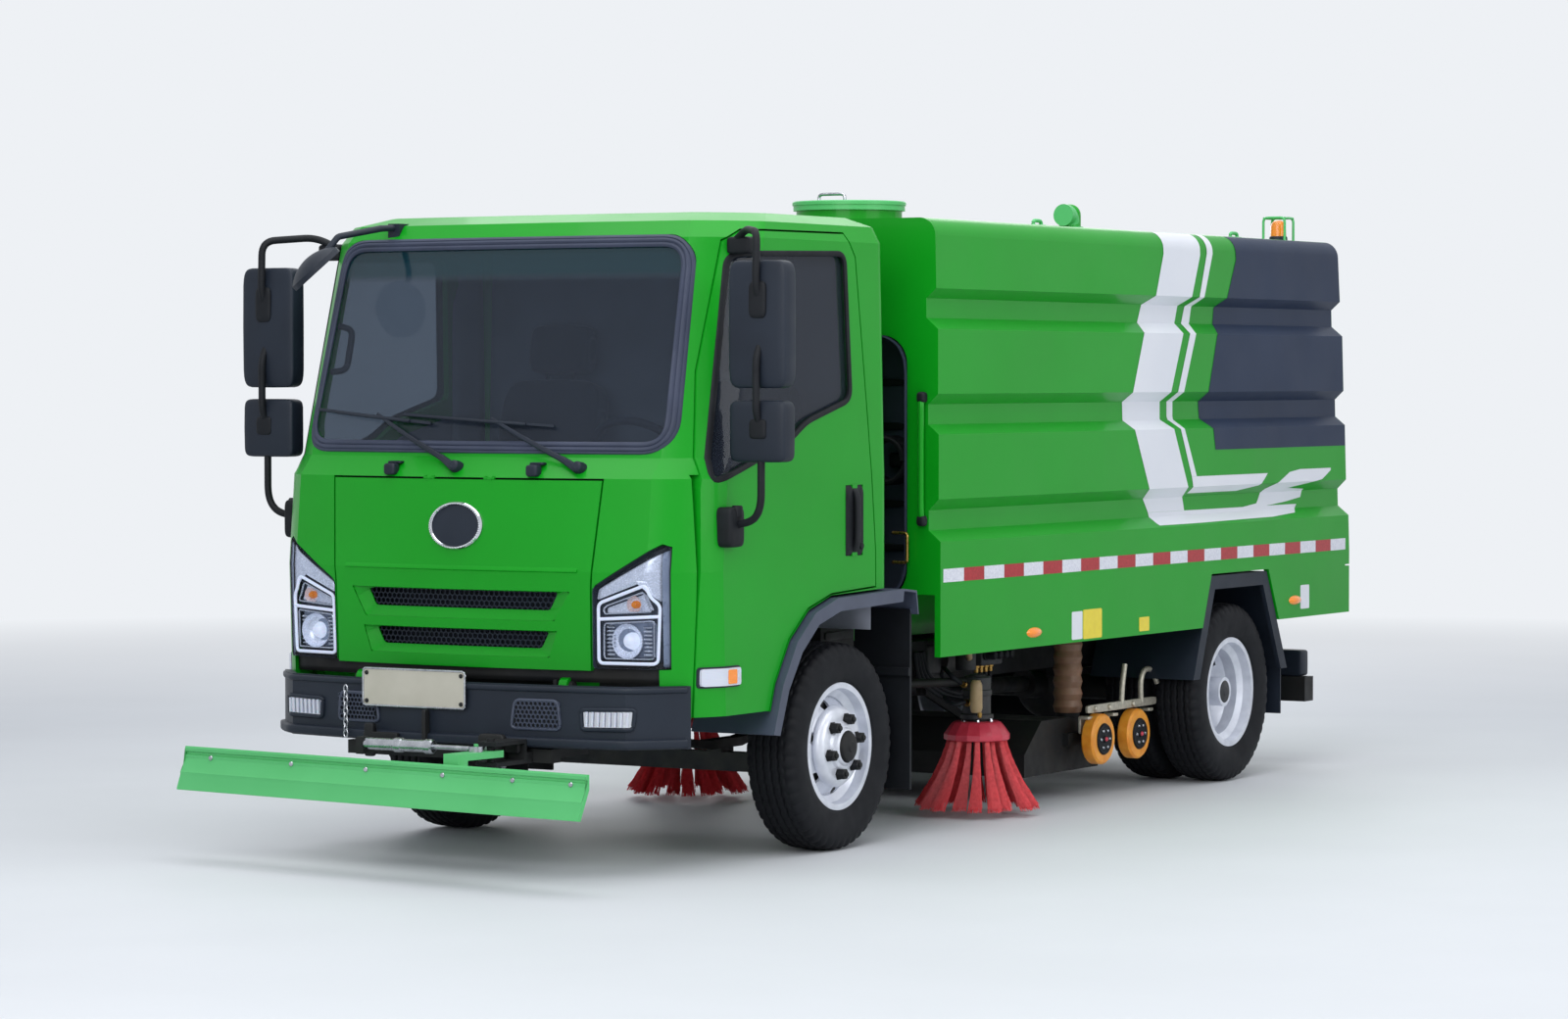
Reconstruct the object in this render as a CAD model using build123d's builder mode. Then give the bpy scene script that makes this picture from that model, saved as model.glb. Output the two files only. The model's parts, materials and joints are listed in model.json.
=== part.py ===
from build123d import *
import math
import os

os.makedirs("parts", exist_ok=True)

# Compact battery-electric street sweeper on a two-axle cab-over chassis.
# Frame: front is -Y, +X is the vehicle's left, +Z is up, ground at z = 0, millimetres.

# ---------------------------------------------------------------- running gear sizes
WHEELBASE = 3300
FRONT_AXLE_Y = -1354
REAR_AXLE_Y = FRONT_AXLE_Y + WHEELBASE
TYRE_RADIUS = 383.5
TYRE_WIDTH = 211
RIM_FLANGE_RADIUS = 235
RIM_WIDTH = 172
RIM_WALL = 9
DISC_WALL = 12
FIT = 0.3                       # gap between pieces that seat on each other
PIN_FIT = 0.08                  # radial clearance of a turning pin
PANEL_GAP = 7                   # gap round doors, lids and flaps
TRACK = 1605                    # between the centres of the front tyres
DUAL_SPACING = 236              # between the two tyres of a rear twin
REAR_OUTER_X = 826              # centre of a rear outer tyre
HUB_BORE = 30
LUG_CIRCLE = 102.5              # radius of the wheel nut circle
LUG_COUNT = 6
HAND_HOLE_CIRCLE = 160
HAND_HOLE_RADIUS = 24
HUB_RADIUS = 62
KINGPIN_X = 640
KINGPIN_RADIUS = 16

# ---------------------------------------------------------------- frame sizes
RAIL_OUTER_X = 400
RAIL_FLANGE = 60
RAIL_HEIGHT = 170
RAIL_TOP = 680
RAIL_WEB = 7
RAIL_FRONT_Y = FRONT_AXLE_Y - 980
RAIL_REAR_Y = FRONT_AXLE_Y + 4290
RAIL_BOTTOM = RAIL_TOP - RAIL_HEIGHT
RAIL_INNER_X = RAIL_OUTER_X - RAIL_FLANGE
SPRING_X = (RAIL_OUTER_X + RAIL_INNER_X) / 2

# ---------------------------------------------------------------- cab sizes
CAB_WALL = 40
CAB_HALF_WIDTH = 930
CAB_REAR_Y = FRONT_AXLE_Y + 300
CAB_FRONT_Y = FRONT_AXLE_Y - 1200
CAB_SILL_Z = 550
CAB_NOSE_Z = 715                # lower edge of the front panel
CAB_FLOOR_Z = 722               # underside of the cab floor above the rails
SEAT_DECK_Z = 1012              # top of the deck above the wheels
FRONT_BOW = 82                  # how far the front surface curves back where its corners begin
CAB_PIVOT_Y = FRONT_AXLE_Y - 1130
CAB_PIVOT_Z = RAIL_TOP - 22

# ---------------------------------------------------------------- hopper sizes
HOPPER_FRONT_Y = FRONT_AXLE_Y + 625
HOPPER_REAR_Y = FRONT_AXLE_Y + 4440
HOPPER_TOP_Z = 2345
HOPPER_HALF_WIDTH = 954
HOPPER_SKIRT_X = 965
HOPPER_SKIRT_Z = 679
HOPPER_FLOOR_Z = 915
HOPPER_INSIDE_X = 880
HOPPER_WALL = 30
HOPPER_REAR_LEAN = 88           # the rear face leans this far forward at its top
RIB_DEPTH = 43
REAR_DOOR_THICK = 45
HOPPER_HINGE_Y = FRONT_AXLE_Y + 4250
HOPPER_HINGE_Z = 800


# ---------------------------------------------------------------- shared shapes
def block(low, high, mode=Mode.ADD):
    """A straight block between its low and high corners."""
    size = [top - bottom for bottom, top in zip(low, high)]
    middle = tuple((top + bottom) / 2 for bottom, top in zip(low, high))
    with Locations(middle):
        Box(*size, mode=mode)


def rod(start, end, radius, mode=Mode.ADD):
    """A round bar from start to end."""
    run = Vector(*end) - Vector(*start)
    with Locations(Plane(origin=start, z_dir=run)):
        Cylinder(radius, run.length, align=(Align.CENTER, Align.CENTER, Align.MIN), mode=mode)


def prism(plane, outline, depth, mode=Mode.ADD, grow=0, round_by=0):
    """A straight prism on an outline, grown or rounded first where asked."""
    with BuildSketch(plane) as face:
        with BuildLine():
            Polyline(*outline, close=True)
        make_face()
        if round_by:
            fillet(face.vertices(), round_by)
        if grow:
            offset(amount=grow, kind=Kind.INTERSECTION)
    extrude(face.sketch, amount=depth, mode=mode)


def tube(points, radius, bend):
    """A round tube through the points, with its corners bent to one radius."""
    with BuildLine() as path:
        FilletPolyline(*points, radius=bend)
    start = Plane(origin=path.line @ 0, z_dir=path.line % 0)
    with BuildSketch(start) as section:
        Circle(radius)
    sweep(section.sketch, path=path.line)


def finish(piece, name):
    """Label a finished piece and write it as its own STEP file."""
    piece.part.label = name
    export_step(piece.part, f"parts/{name}.step")


# ---------------------------------------------------------------- cab form
# Levels of the cab's outer surface, from its sill to the crown of its roof.
CAB_LEVELS = (
    # z, front y from the front axle, half width, bow of the front, rear set-in
    (CAB_SILL_Z, -1176, CAB_HALF_WIDTH, FRONT_BOW, 0),
    (1060, -1194, CAB_HALF_WIDTH, FRONT_BOW, 0),
    (1386, -1162, CAB_HALF_WIDTH, FRONT_BOW, 0),
    (1458, -1094, CAB_HALF_WIDTH - 2, FRONT_BOW - 4, 0),
    (2236, -850, CAB_HALF_WIDTH - 18, FRONT_BOW - 36, 0),
    (2296, -800, CAB_HALF_WIDTH - 40, FRONT_BOW - 36, 22),
    (2330, -660, CAB_HALF_WIDTH - 115, FRONT_BOW - 46, 95),
)
CORNER_X = 170                  # the front corner begins this far in from the side
CORNER_Y = 230                  # and runs this far back
REAR_CORNER = 60


def cab_level(z, front, half, bow, rear_in, inset):
    """One plan outline of the cab: bowed front, rounded corners, straight sides."""
    half = half - inset
    front_y = FRONT_AXLE_Y + front + inset
    rear_y = CAB_REAR_Y - rear_in - inset
    corner_x = half - CORNER_X
    corner_y = front_y + bow * (corner_x / (CAB_HALF_WIDTH - CORNER_X)) ** 2
    side_y = corner_y + CORNER_Y
    bulge = 0.405
    with BuildSketch(Plane.XY.offset(z)) as level:
        with BuildLine():
            ThreePointArc((-corner_x, corner_y), (0, front_y), (corner_x, corner_y))
            ThreePointArc(
                (corner_x, corner_y),
                (half - CORNER_X * bulge, corner_y + CORNER_Y * bulge),
                (half, side_y),
            )
            Line((half, side_y), (half, rear_y - REAR_CORNER))
            RadiusArc((half, rear_y - REAR_CORNER), (half - REAR_CORNER, rear_y), -REAR_CORNER)
            Line((half - REAR_CORNER, rear_y), (-half + REAR_CORNER, rear_y))
            RadiusArc((-half + REAR_CORNER, rear_y), (-half, rear_y - REAR_CORNER), -REAR_CORNER)
            Line((-half, rear_y - REAR_CORNER), (-half, side_y))
            ThreePointArc(
                (-half, side_y),
                (-half + CORNER_X * bulge, corner_y + CORNER_Y * bulge),
                (-corner_x, corner_y),
            )
        make_face()
    return level.sketch


def cab_form(inset, mode=Mode.ADD):
    """The cab's outer surface as a solid, set in by a wall thickness."""
    levels = []
    for z, front, half, bow, rear_in in CAB_LEVELS:
        if z == CAB_LEVELS[-1][0]:
            z = z - inset
        levels.append(cab_level(z, front, half, bow, rear_in, inset))
    loft(levels, ruled=True, mode=mode)


def from_axle(points):
    """Side outlines are given as (y from the front axle, z); this places them."""
    return [(FRONT_AXLE_Y + y, z) for y, z in points]


def mirrored(piece):
    """The same piece on the vehicle's other side."""
    with BuildPart() as other:
        mirror(piece.part, about=Plane.YZ)
    return other


# ---------------------------------------------------------------- ladder frame
with BuildPart() as chassis_rails:
    for side in (1, -1):
        web = sorted((side * RAIL_OUTER_X, side * (RAIL_OUTER_X - RAIL_WEB)))
        flange = sorted((side * RAIL_OUTER_X, side * RAIL_INNER_X))
        block((web[0], RAIL_FRONT_Y, RAIL_BOTTOM), (web[1], RAIL_REAR_Y, RAIL_TOP))
        for z in (RAIL_BOTTOM, RAIL_TOP - RAIL_WEB):
            block((flange[0], RAIL_FRONT_Y, z), (flange[1], RAIL_REAR_Y, z + RAIL_WEB))
finish(chassis_rails, "chassis_rails")

MEMBER_DEPTH = 90
MEMBER_WIDTH = 70
MEMBER_X = RAIL_OUTER_X - RAIL_WEB - FIT
MEMBER_TOP = RAIL_TOP - RAIL_WEB - FIT
MEMBERS = (-940, 560, 1760, 3082, 3760, 4240)       # y from the front axle
with BuildPart() as cross_members:
    for y in MEMBERS:
        y = FRONT_AXLE_Y + y
        block(
            (-MEMBER_X, y - MEMBER_WIDTH / 2, MEMBER_TOP - MEMBER_DEPTH),
            (MEMBER_X, y + MEMBER_WIDTH / 2, MEMBER_TOP),
        )
finish(cross_members, "cross_members")

# ---------------------------------------------------------------- axles and springs
AXLE_Z = TYRE_RADIUS
BEAM_TOP = AXLE_Z - 40
BEAM_HALF = 45
SPRING_PACK = 34
KNUCKLE_GAP = 6
with BuildPart() as front_axle:
    prism(
        Plane.XZ.offset(-(FRONT_AXLE_Y + 30)),
        [
            (-KINGPIN_X + 28, AXLE_Z + BEAM_HALF), (-KINGPIN_X + 28, AXLE_Z - BEAM_HALF),
            (-520, BEAM_TOP - 70), (520, BEAM_TOP - 70),
            (KINGPIN_X - 28, AXLE_Z - BEAM_HALF), (KINGPIN_X - 28, AXLE_Z + BEAM_HALF),
            (520, BEAM_TOP), (-520, BEAM_TOP),
        ],
        60,
    )
    for side in (1, -1):
        x = side * KINGPIN_X
        rod((x, FRONT_AXLE_Y, AXLE_Z - BEAM_HALF), (x, FRONT_AXLE_Y, AXLE_Z + BEAM_HALF), 32)
        rod((x, FRONT_AXLE_Y, AXLE_Z - 86), (x, FRONT_AXLE_Y, AXLE_Z + 86), KINGPIN_RADIUS)
        block(
            (side * SPRING_X - 32, FRONT_AXLE_Y - 45, BEAM_TOP - 1),
            (side * SPRING_X + 32, FRONT_AXLE_Y + 45, BEAM_TOP + 14),
        )
finish(front_axle, "front_axle")

AXLE_TUBE = 55
DIFF_RADIUS = 150
REAR_HUB_X = 650
with BuildPart() as rear_axle:
    rod((-REAR_HUB_X, REAR_AXLE_Y, AXLE_Z), (REAR_HUB_X, REAR_AXLE_Y, AXLE_Z), AXLE_TUBE)
    with Locations((40, REAR_AXLE_Y, AXLE_Z)):
        Sphere(DIFF_RADIUS)
    rod((40, REAR_AXLE_Y - 260, AXLE_Z + 20), (40, REAR_AXLE_Y, AXLE_Z), 62)
    for side in (1, -1):
        rod(
            (side * REAR_HUB_X, REAR_AXLE_Y, AXLE_Z),
            (side * (REAR_OUTER_X + 40), REAR_AXLE_Y, AXLE_Z), HUB_BORE,
        )
        block(
            (side * SPRING_X - 34, REAR_AXLE_Y - 50, AXLE_Z),
            (side * SPRING_X + 34, REAR_AXLE_Y + 50, AXLE_Z + AXLE_TUBE + 14),
        )
finish(rear_axle, "rear_axle")

# Leaf packs: half length, height of the pack on the axle, height of the eyes.
SPRINGS = (
    # axle y, half length, seat z, eye z
    (FRONT_AXLE_Y, 520, BEAM_TOP + 14 + FIT, 440),
    (REAR_AXLE_Y, 600, AXLE_Z + AXLE_TUBE + 14 + FIT, 484),
)
with BuildPart() as leaf_springs:
    for axle_y, half, seat, eye in SPRINGS:
        for side in (1, -1):
            x = side * SPRING_X
            prism(
                Plane.YZ.offset(x - 30),
                [
                    (axle_y - half, eye - 9), (axle_y - 110, seat), (axle_y + 110, seat),
                    (axle_y + half, eye - 9), (axle_y + half, eye + 1),
                    (axle_y + 120, seat + SPRING_PACK), (axle_y - 120, seat + SPRING_PACK),
                    (axle_y - half, eye + 1),
                ],
                60,
            )
            for end in (-1, 1):
                y = axle_y + end * half
                rod((x - 30, y, eye), (x + 30, y, eye), 20)
                block((x - 28, y - 22, eye), (x + 28, y + 22, RAIL_BOTTOM - FIT))
finish(leaf_springs, "leaf_springs")

# ---------------------------------------------------------------- drive and battery
with BuildPart() as drive_motor:
    block((-130, FRONT_AXLE_Y + 700, 400), (210, FRONT_AXLE_Y + 1180, 655))
    rod((40, FRONT_AXLE_Y + 1180, 480), (40, REAR_AXLE_Y - 262, AXLE_Z + 20), 34)
finish(drive_motor, "drive_motor")

BATTERY_Y = (FRONT_AXLE_Y + 352, FRONT_AXLE_Y + 600)
BATTERY_TOP = 1190
BATTERY_HALF = 600
with BuildPart() as battery_pack:
    block(
        (-BATTERY_HALF, BATTERY_Y[0], RAIL_TOP + FIT), (BATTERY_HALF, BATTERY_Y[1], BATTERY_TOP)
    )
finish(battery_pack, "battery_pack")

# ---------------------------------------------------------------- steering
STEER_ARM = 170
FORK_TOP = BEAM_HALF + KNUCKLE_GAP
TIE_Z = AXLE_Z - 75
with BuildPart() as knuckle_left:
    block(
        (KINGPIN_X + 34, FRONT_AXLE_Y - 38, AXLE_Z - 84),
        (KINGPIN_X + 58, FRONT_AXLE_Y + 38, AXLE_Z + 84),
    )
    for z in (AXLE_Z - 84, AXLE_Z + FORK_TOP):
        rod((KINGPIN_X, FRONT_AXLE_Y, z), (KINGPIN_X, FRONT_AXLE_Y, z + 84 - FORK_TOP), 32)
        block(
            (KINGPIN_X, FRONT_AXLE_Y - 32, z),
            (KINGPIN_X + 40, FRONT_AXLE_Y + 32, z + 84 - FORK_TOP),
        )
    rod(
        (KINGPIN_X + 50, FRONT_AXLE_Y, AXLE_Z),
        (TRACK / 2 + 80, FRONT_AXLE_Y, AXLE_Z), HUB_BORE,
    )
    block(
        (KINGPIN_X - 20, FRONT_AXLE_Y + 10, AXLE_Z - 84),
        (KINGPIN_X + 12, FRONT_AXLE_Y + STEER_ARM + 20, AXLE_Z - 66),
    )
    rod(
        (KINGPIN_X, FRONT_AXLE_Y, AXLE_Z - 90), (KINGPIN_X, FRONT_AXLE_Y, AXLE_Z + 90),
        KINGPIN_RADIUS + PIN_FIT, mode=Mode.SUBTRACT,
    )
finish(knuckle_left, "knuckle_left")
knuckle_right = mirrored(knuckle_left)
finish(knuckle_right, "knuckle_right")

with BuildPart() as tie_rod:
    y = FRONT_AXLE_Y + STEER_ARM
    z = AXLE_Z - 100
    rod((-KINGPIN_X - 5, y, z), (KINGPIN_X + 5, y, z), 14)
    for side in (1, -1):
        rod((side * (KINGPIN_X - 4), y, z - 18), (side * (KINGPIN_X - 4), y, AXLE_Z - 84 - FIT), 15)
finish(tie_rod, "tie_rod")

# ---------------------------------------------------------------- wheels
# Tyre section from its bead to the tread: offset from the tyre's centre, radius.
TYRE_SECTION = (
    (RIM_WIDTH / 2 - RIM_WALL - FIT, RIM_FLANGE_RADIUS - 12),
    (RIM_WIDTH / 2 - RIM_WALL - FIT, RIM_FLANGE_RADIUS + FIT),
    (RIM_WIDTH / 2 + 2, RIM_FLANGE_RADIUS + FIT),
    (TYRE_WIDTH / 2, 305),
    (TYRE_WIDTH / 2 - 9, 360),
    (TYRE_WIDTH / 2 - 24, TYRE_RADIUS - 3),
    (TYRE_WIDTH / 2 - 46, TYRE_RADIUS),
)


def tyre(x, y):
    """One tyre, turned from its section about the axle."""
    outline = [(x + across, AXLE_Z + up) for across, up in TYRE_SECTION]
    outline += [(x - across, AXLE_Z + up) for across, up in reversed(TYRE_SECTION)]
    with BuildSketch(Plane.XZ.offset(-y)) as section:
        with BuildLine():
            Polyline(*outline, close=True)
        make_face()
    axle = Axis((x, y, AXLE_Z), (1, 0, 0))
    revolve(section.sketch, axis=axle)


def on_circle(y, turn, radius):
    """The y and z of one of the places round a wheel."""
    angle = math.radians(turn * 360 / LUG_COUNT + 15)
    return y + radius * math.cos(angle), AXLE_Z + radius * math.sin(angle)


def rim(x, y, disc_in, disc_out, side):
    """A steel rim: barrel with its flanges and a disc with hand holes."""
    half = RIM_WIDTH / 2
    seat = RIM_FLANGE_RADIUS - 12 - FIT
    barrel = [
        (-half, RIM_FLANGE_RADIUS), (-half + RIM_WALL, RIM_FLANGE_RADIUS),
        (-half + RIM_WALL, seat), (-half + 40, seat - 4), (-half + 60, seat - 30),
        (half - 60, seat - 30), (half - 40, seat - 4), (half - RIM_WALL, seat),
        (half - RIM_WALL, RIM_FLANGE_RADIUS), (half, RIM_FLANGE_RADIUS),
        (half, seat - RIM_WALL), (half - 38, seat - 4 - RIM_WALL),
        (half - 56, seat - 30 - RIM_WALL), (-half + 56, seat - 30 - RIM_WALL),
        (-half + 38, seat - 4 - RIM_WALL), (-half, seat - RIM_WALL),
    ]
    disc = [
        (disc_in, seat - 31 - RIM_WALL / 2), (disc_out, 138), (disc_out, HUB_BORE + 10),
        (disc_out - DISC_WALL, HUB_BORE + 10), (disc_out - DISC_WALL, 138),
        (disc_in - DISC_WALL, seat - 31 - RIM_WALL / 2),
    ]
    axle = Axis((x, y, AXLE_Z), (1, 0, 0))
    for outline in (barrel, disc):
        points = [(x + side * across, AXLE_Z + up) for across, up in outline]
        with BuildSketch(Plane.XZ.offset(-y)) as section:
            with BuildLine():
                Polyline(*points, close=True)
            make_face()
        revolve(section.sketch, axis=axle)
    for turn in range(LUG_COUNT):
        at_y, at_z = on_circle(y, turn + 0.5, HAND_HOLE_CIRCLE)
        rod(
            (x + side * (disc_in - 60), at_y, at_z), (x + side * (disc_out + 60), at_y, at_z),
            HAND_HOLE_RADIUS, mode=Mode.SUBTRACT,
        )


def hub(x_from, x_face, x_to, y, side):
    """The hub through a wheel, its ring of nuts, and the bore for its axle."""
    rod((side * x_from, y, AXLE_Z), (side * x_to, y, AXLE_Z), HUB_RADIUS)
    for turn in range(LUG_COUNT):
        at_y, at_z = on_circle(y, turn, LUG_CIRCLE)
        rod((side * (x_face - 4), at_y, at_z), (side * (x_face + 26), at_y, at_z), 15)
    rod(
        (side * (x_from - 1), y, AXLE_Z), (side * (x_to - 14), y, AXLE_Z),
        HUB_BORE + PIN_FIT, mode=Mode.SUBTRACT,
    )


FRONT_TYRE_X = TRACK / 2
REAR_DISC_X = REAR_OUTER_X - DUAL_SPACING / 2
for side, name in ((1, "left"), (-1, "right")):
    with BuildPart() as front_tyre:
        tyre(side * FRONT_TYRE_X, FRONT_AXLE_Y)
    finish(front_tyre, f"front_tyre_{name}")
    with BuildPart() as front_rim:
        rim(side * FRONT_TYRE_X, FRONT_AXLE_Y, 20, 62, side)
        hub(FRONT_TYRE_X - 60, FRONT_TYRE_X + 62, FRONT_TYRE_X + 98, FRONT_AXLE_Y, side)
    finish(front_rim, f"front_rim_{name}")
    with BuildPart() as rear_tyres:
        tyre(side * REAR_OUTER_X, REAR_AXLE_Y)
        tyre(side * (REAR_OUTER_X - DUAL_SPACING), REAR_AXLE_Y)
    finish(rear_tyres, f"rear_tyres_{name}")
    with BuildPart() as rear_rims:
        rim(side * REAR_OUTER_X, REAR_AXLE_Y, -14, DISC_WALL - DUAL_SPACING / 2, side)
        rim(side * (REAR_OUTER_X - DUAL_SPACING), REAR_AXLE_Y, 26, DUAL_SPACING / 2, side)
        hub(REAR_HUB_X + 8, REAR_DISC_X + DISC_WALL, REAR_OUTER_X + 60, REAR_AXLE_Y, side)
    finish(rear_rims, f"rear_rims_{name}")

# ---------------------------------------------------------------- cab openings
# The arch over the front wheel, from the front axle: the fender's outer line.
ARCH_LINE = (
    (-584, 468), (-520, 640), (-420, 790), (-290, 890), (-130, 936), (360, 950),
)
ARCH_CUT = from_axle(
    [(-700, 300), (-592, 460), (-530, 646), (-428, 798), (-294, 900), (-132, 946), (420, 960), (420, 300)]
)

DOOR_LINE = from_axle(
    [
        (-985, 553), (-978, 900), (-957, 1350), (-878, 1758), (-728, 2222), (-650, 2260),
        (0, 2264), (66, 2180), (138, 1577), (188, 1105), (190, 968), (-132, 954), (-300, 908), (-436, 804),
        (-538, 650), (-572, 553),
    ]
)
DOOR_WALL = 45
DOOR_HINGE_X = CAB_HALF_WIDTH - 30
DOOR_HINGE_Y = FRONT_AXLE_Y - 950
DOOR_X = 650                    # the door's prism starts this far out
WINDOW_LINE = from_axle(
    [(-925, 1368), (-735, 1419), (-420, 1510), (-295, 1578), (22, 1656), (-4, 2196), (-725, 2180)]
)
GLASS_THICK = 6
SCREEN_HALF = CAB_HALF_WIDTH - 126
SCREEN_LINE = [
    (-SCREEN_HALF, 1470), (SCREEN_HALF, 1470), (SCREEN_HALF - 34, 2246), (-SCREEN_HALF + 34, 2246)
]
SCREEN_CORNER = 110
SEAL_WIDTH = 44
HOOD_LINE = [(-545, CAB_NOSE_Z), (545, CAB_NOSE_Z), (548, 1010), (577, 1379), (-577, 1379), (-548, 1010)]
LAMP_OUT_X = CAB_HALF_WIDTH - 104
LAMP_LINE = [
    (553, 722), (LAMP_OUT_X - 4, 722), (LAMP_OUT_X, 1150), (LAMP_OUT_X - 26, 1160), (570, 1016),
    (557, 1000),
]
LAMP_DEPTH = 60
CAB_PIN_RADIUS = 18
TUNNEL_HALF = CAB_HALF_WIDTH - 140
CAB_LUG_X = RAIL_OUTER_X + 22
CAB_LUG_WIDTH = 34
HOOD_HINGE_Y = FRONT_AXLE_Y - 1160
HOOD_HINGE_Z = 1382.6
HOOD_HINGES = (-130, 130)
KNUCKLE_RADIUS = 3.2
HOOD_PIN_RADIUS = 2
FRONT_CUT_Y = FRONT_AXLE_Y - 1010       # the front openings are cut back to here

with BuildPart() as outer_form:
    cab_form(0)
with BuildPart() as inner_form:
    cab_form(CAB_WALL)

with BuildPart() as cab_space:
    add(inner_form.part)
    block(
        (-CAB_HALF_WIDTH, CAB_FRONT_Y - 80, 500),
        (CAB_HALF_WIDTH, CAB_REAR_Y + 10, CAB_FLOOR_Z + CAB_WALL), mode=Mode.SUBTRACT,
    )
    block(
        (-CAB_HALF_WIDTH, FRONT_AXLE_Y - 640, 500),
        (CAB_HALF_WIDTH, CAB_REAR_Y + 10, SEAT_DECK_Z), mode=Mode.SUBTRACT,
    )

with BuildPart() as door_pocket:
    prism(Plane.YZ.offset(DOOR_X), DOOR_LINE, 400, grow=PANEL_GAP)
    cab_form(DOOR_WALL + PANEL_GAP, mode=Mode.SUBTRACT)
    with BuildPart(mode=Mode.PRIVATE) as hinge_room:
        rod((DOOR_HINGE_X, DOOR_HINGE_Y, CAB_SILL_Z - 5), (DOOR_HINGE_X, DOOR_HINGE_Y, 1400), 68)
        rod(
            (DOOR_HINGE_X, DOOR_HINGE_Y, CAB_SILL_Z - 5),
            (DOOR_HINGE_X, DOOR_HINGE_Y, CAB_FLOOR_Z + CAB_WALL + 5), 120,
        )
        block((0, CAB_FRONT_Y - 80, 500), (1000, FRONT_AXLE_Y - 984, 1500), mode=Mode.SUBTRACT)
    add(hinge_room.part)

with BuildPart() as cab_shell:
    add(outer_form.part)
    add(cab_space.part, mode=Mode.SUBTRACT)
    # the tunnel over the frame, the wheel arches and the space behind the bumper
    block(
        (-TUNNEL_HALF, CAB_FRONT_Y - 80, 500), (TUNNEL_HALF, CAB_REAR_Y + 10, CAB_FLOOR_Z),
        mode=Mode.SUBTRACT,
    )
    block(
        (-1000, CAB_FRONT_Y - 80, 500), (1000, FRONT_AXLE_Y - 1083, CAB_NOSE_Z), mode=Mode.SUBTRACT
    )
    prism(Plane.YZ.offset(-1000), ARCH_CUT, 2000, mode=Mode.SUBTRACT)
    # doors, with room for their leading edges to swing in
    for side in (0, 1):
        pocket = door_pocket.part if side else door_pocket.part.mirror(Plane.YZ)
        add(pocket, mode=Mode.SUBTRACT)
    # windscreen, front flap and lamps
    front = Plane.XZ.offset(-FRONT_CUT_Y)
    prism(
        Plane.XZ.offset(-(FRONT_AXLE_Y - 700)), SCREEN_LINE, 600, mode=Mode.SUBTRACT,
        round_by=SCREEN_CORNER,
    )
    prism(front, HOOD_LINE, 400, mode=Mode.SUBTRACT, grow=PANEL_GAP)
    for side in (1, -1):
        lamp = [(side * x, z) for x, z in LAMP_LINE]
        prism(front, lamp, 400, mode=Mode.SUBTRACT, grow=FIT)
    # lugs of the tilt pivots under the floor
    for side in (1, -1):
        lug = sorted((side * CAB_LUG_X, side * (CAB_LUG_X + CAB_LUG_WIDTH)))
        block(
            (lug[0], CAB_PIVOT_Y, CAB_PIVOT_Z - 30), (lug[1], FRONT_CUT_Y + 60, CAB_PIVOT_Z + 26)
        )
        block((lug[0], FRONT_CUT_Y - 8, CAB_PIVOT_Z), (lug[1], FRONT_CUT_Y + 60, CAB_FLOOR_Z + 5))
        rod((lug[0], CAB_PIVOT_Y, CAB_PIVOT_Z), (lug[1], CAB_PIVOT_Y, CAB_PIVOT_Z), 30)
        rod(
            (lug[0] - 1, CAB_PIVOT_Y, CAB_PIVOT_Z), (lug[1] + 1, CAB_PIVOT_Y, CAB_PIVOT_Z),
            CAB_PIN_RADIUS + PIN_FIT, mode=Mode.SUBTRACT,
        )
    # fixed knuckles and pins of the front flap's hinges, in the seam above the flap
    for middle in HOOD_HINGES:
        for x in (middle - 17, middle + 17):
            rod((x - 6, HOOD_HINGE_Y, HOOD_HINGE_Z), (x + 6, HOOD_HINGE_Y, HOOD_HINGE_Z), KNUCKLE_RADIUS)
            block(
                (x - 6, HOOD_HINGE_Y, HOOD_HINGE_Z), (x + 6, HOOD_HINGE_Y + 8, HOOD_HINGE_Z + 9)
            )
        rod(
            (middle - 20, HOOD_HINGE_Y, HOOD_HINGE_Z), (middle + 20, HOOD_HINGE_Y, HOOD_HINGE_Z),
            HOOD_PIN_RADIUS,
        )
finish(cab_shell, "cab_shell")

with BuildPart() as lamp_form:
    cab_form(-4)
    cab_form(LAMP_DEPTH, mode=Mode.SUBTRACT)
with BuildPart() as headlamps:
    for side in (1, -1):
        lamp = [(side * x, z) for x, z in LAMP_LINE]
        prism(front, lamp, 400)
    add(lamp_form.part, mode=Mode.INTERSECT)
finish(headlamps, "headlamps")

with BuildPart() as seal_form:
    cab_form(-6)
    cab_form(24, mode=Mode.SUBTRACT)
screen_plane = Plane.XZ.offset(-(FRONT_AXLE_Y - 700))
with BuildPart() as windscreen_seal:
    prism(screen_plane, SCREEN_LINE, 600, round_by=SCREEN_CORNER, grow=-FIT)
    prism(
        screen_plane, SCREEN_LINE, 600, mode=Mode.SUBTRACT, round_by=SCREEN_CORNER,
        grow=-SEAL_WIDTH,
    )
    add(seal_form.part, mode=Mode.INTERSECT)
finish(windscreen_seal, "windscreen_seal")

with BuildPart() as screen_form:
    cab_form(4)
    cab_form(4 + GLASS_THICK, mode=Mode.SUBTRACT)
with BuildPart() as windscreen:
    prism(
        screen_plane, SCREEN_LINE, 600, round_by=SCREEN_CORNER, grow=-SEAL_WIDTH - FIT,
    )
    add(screen_form.part, mode=Mode.INTERSECT)
finish(windscreen, "windscreen")

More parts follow.
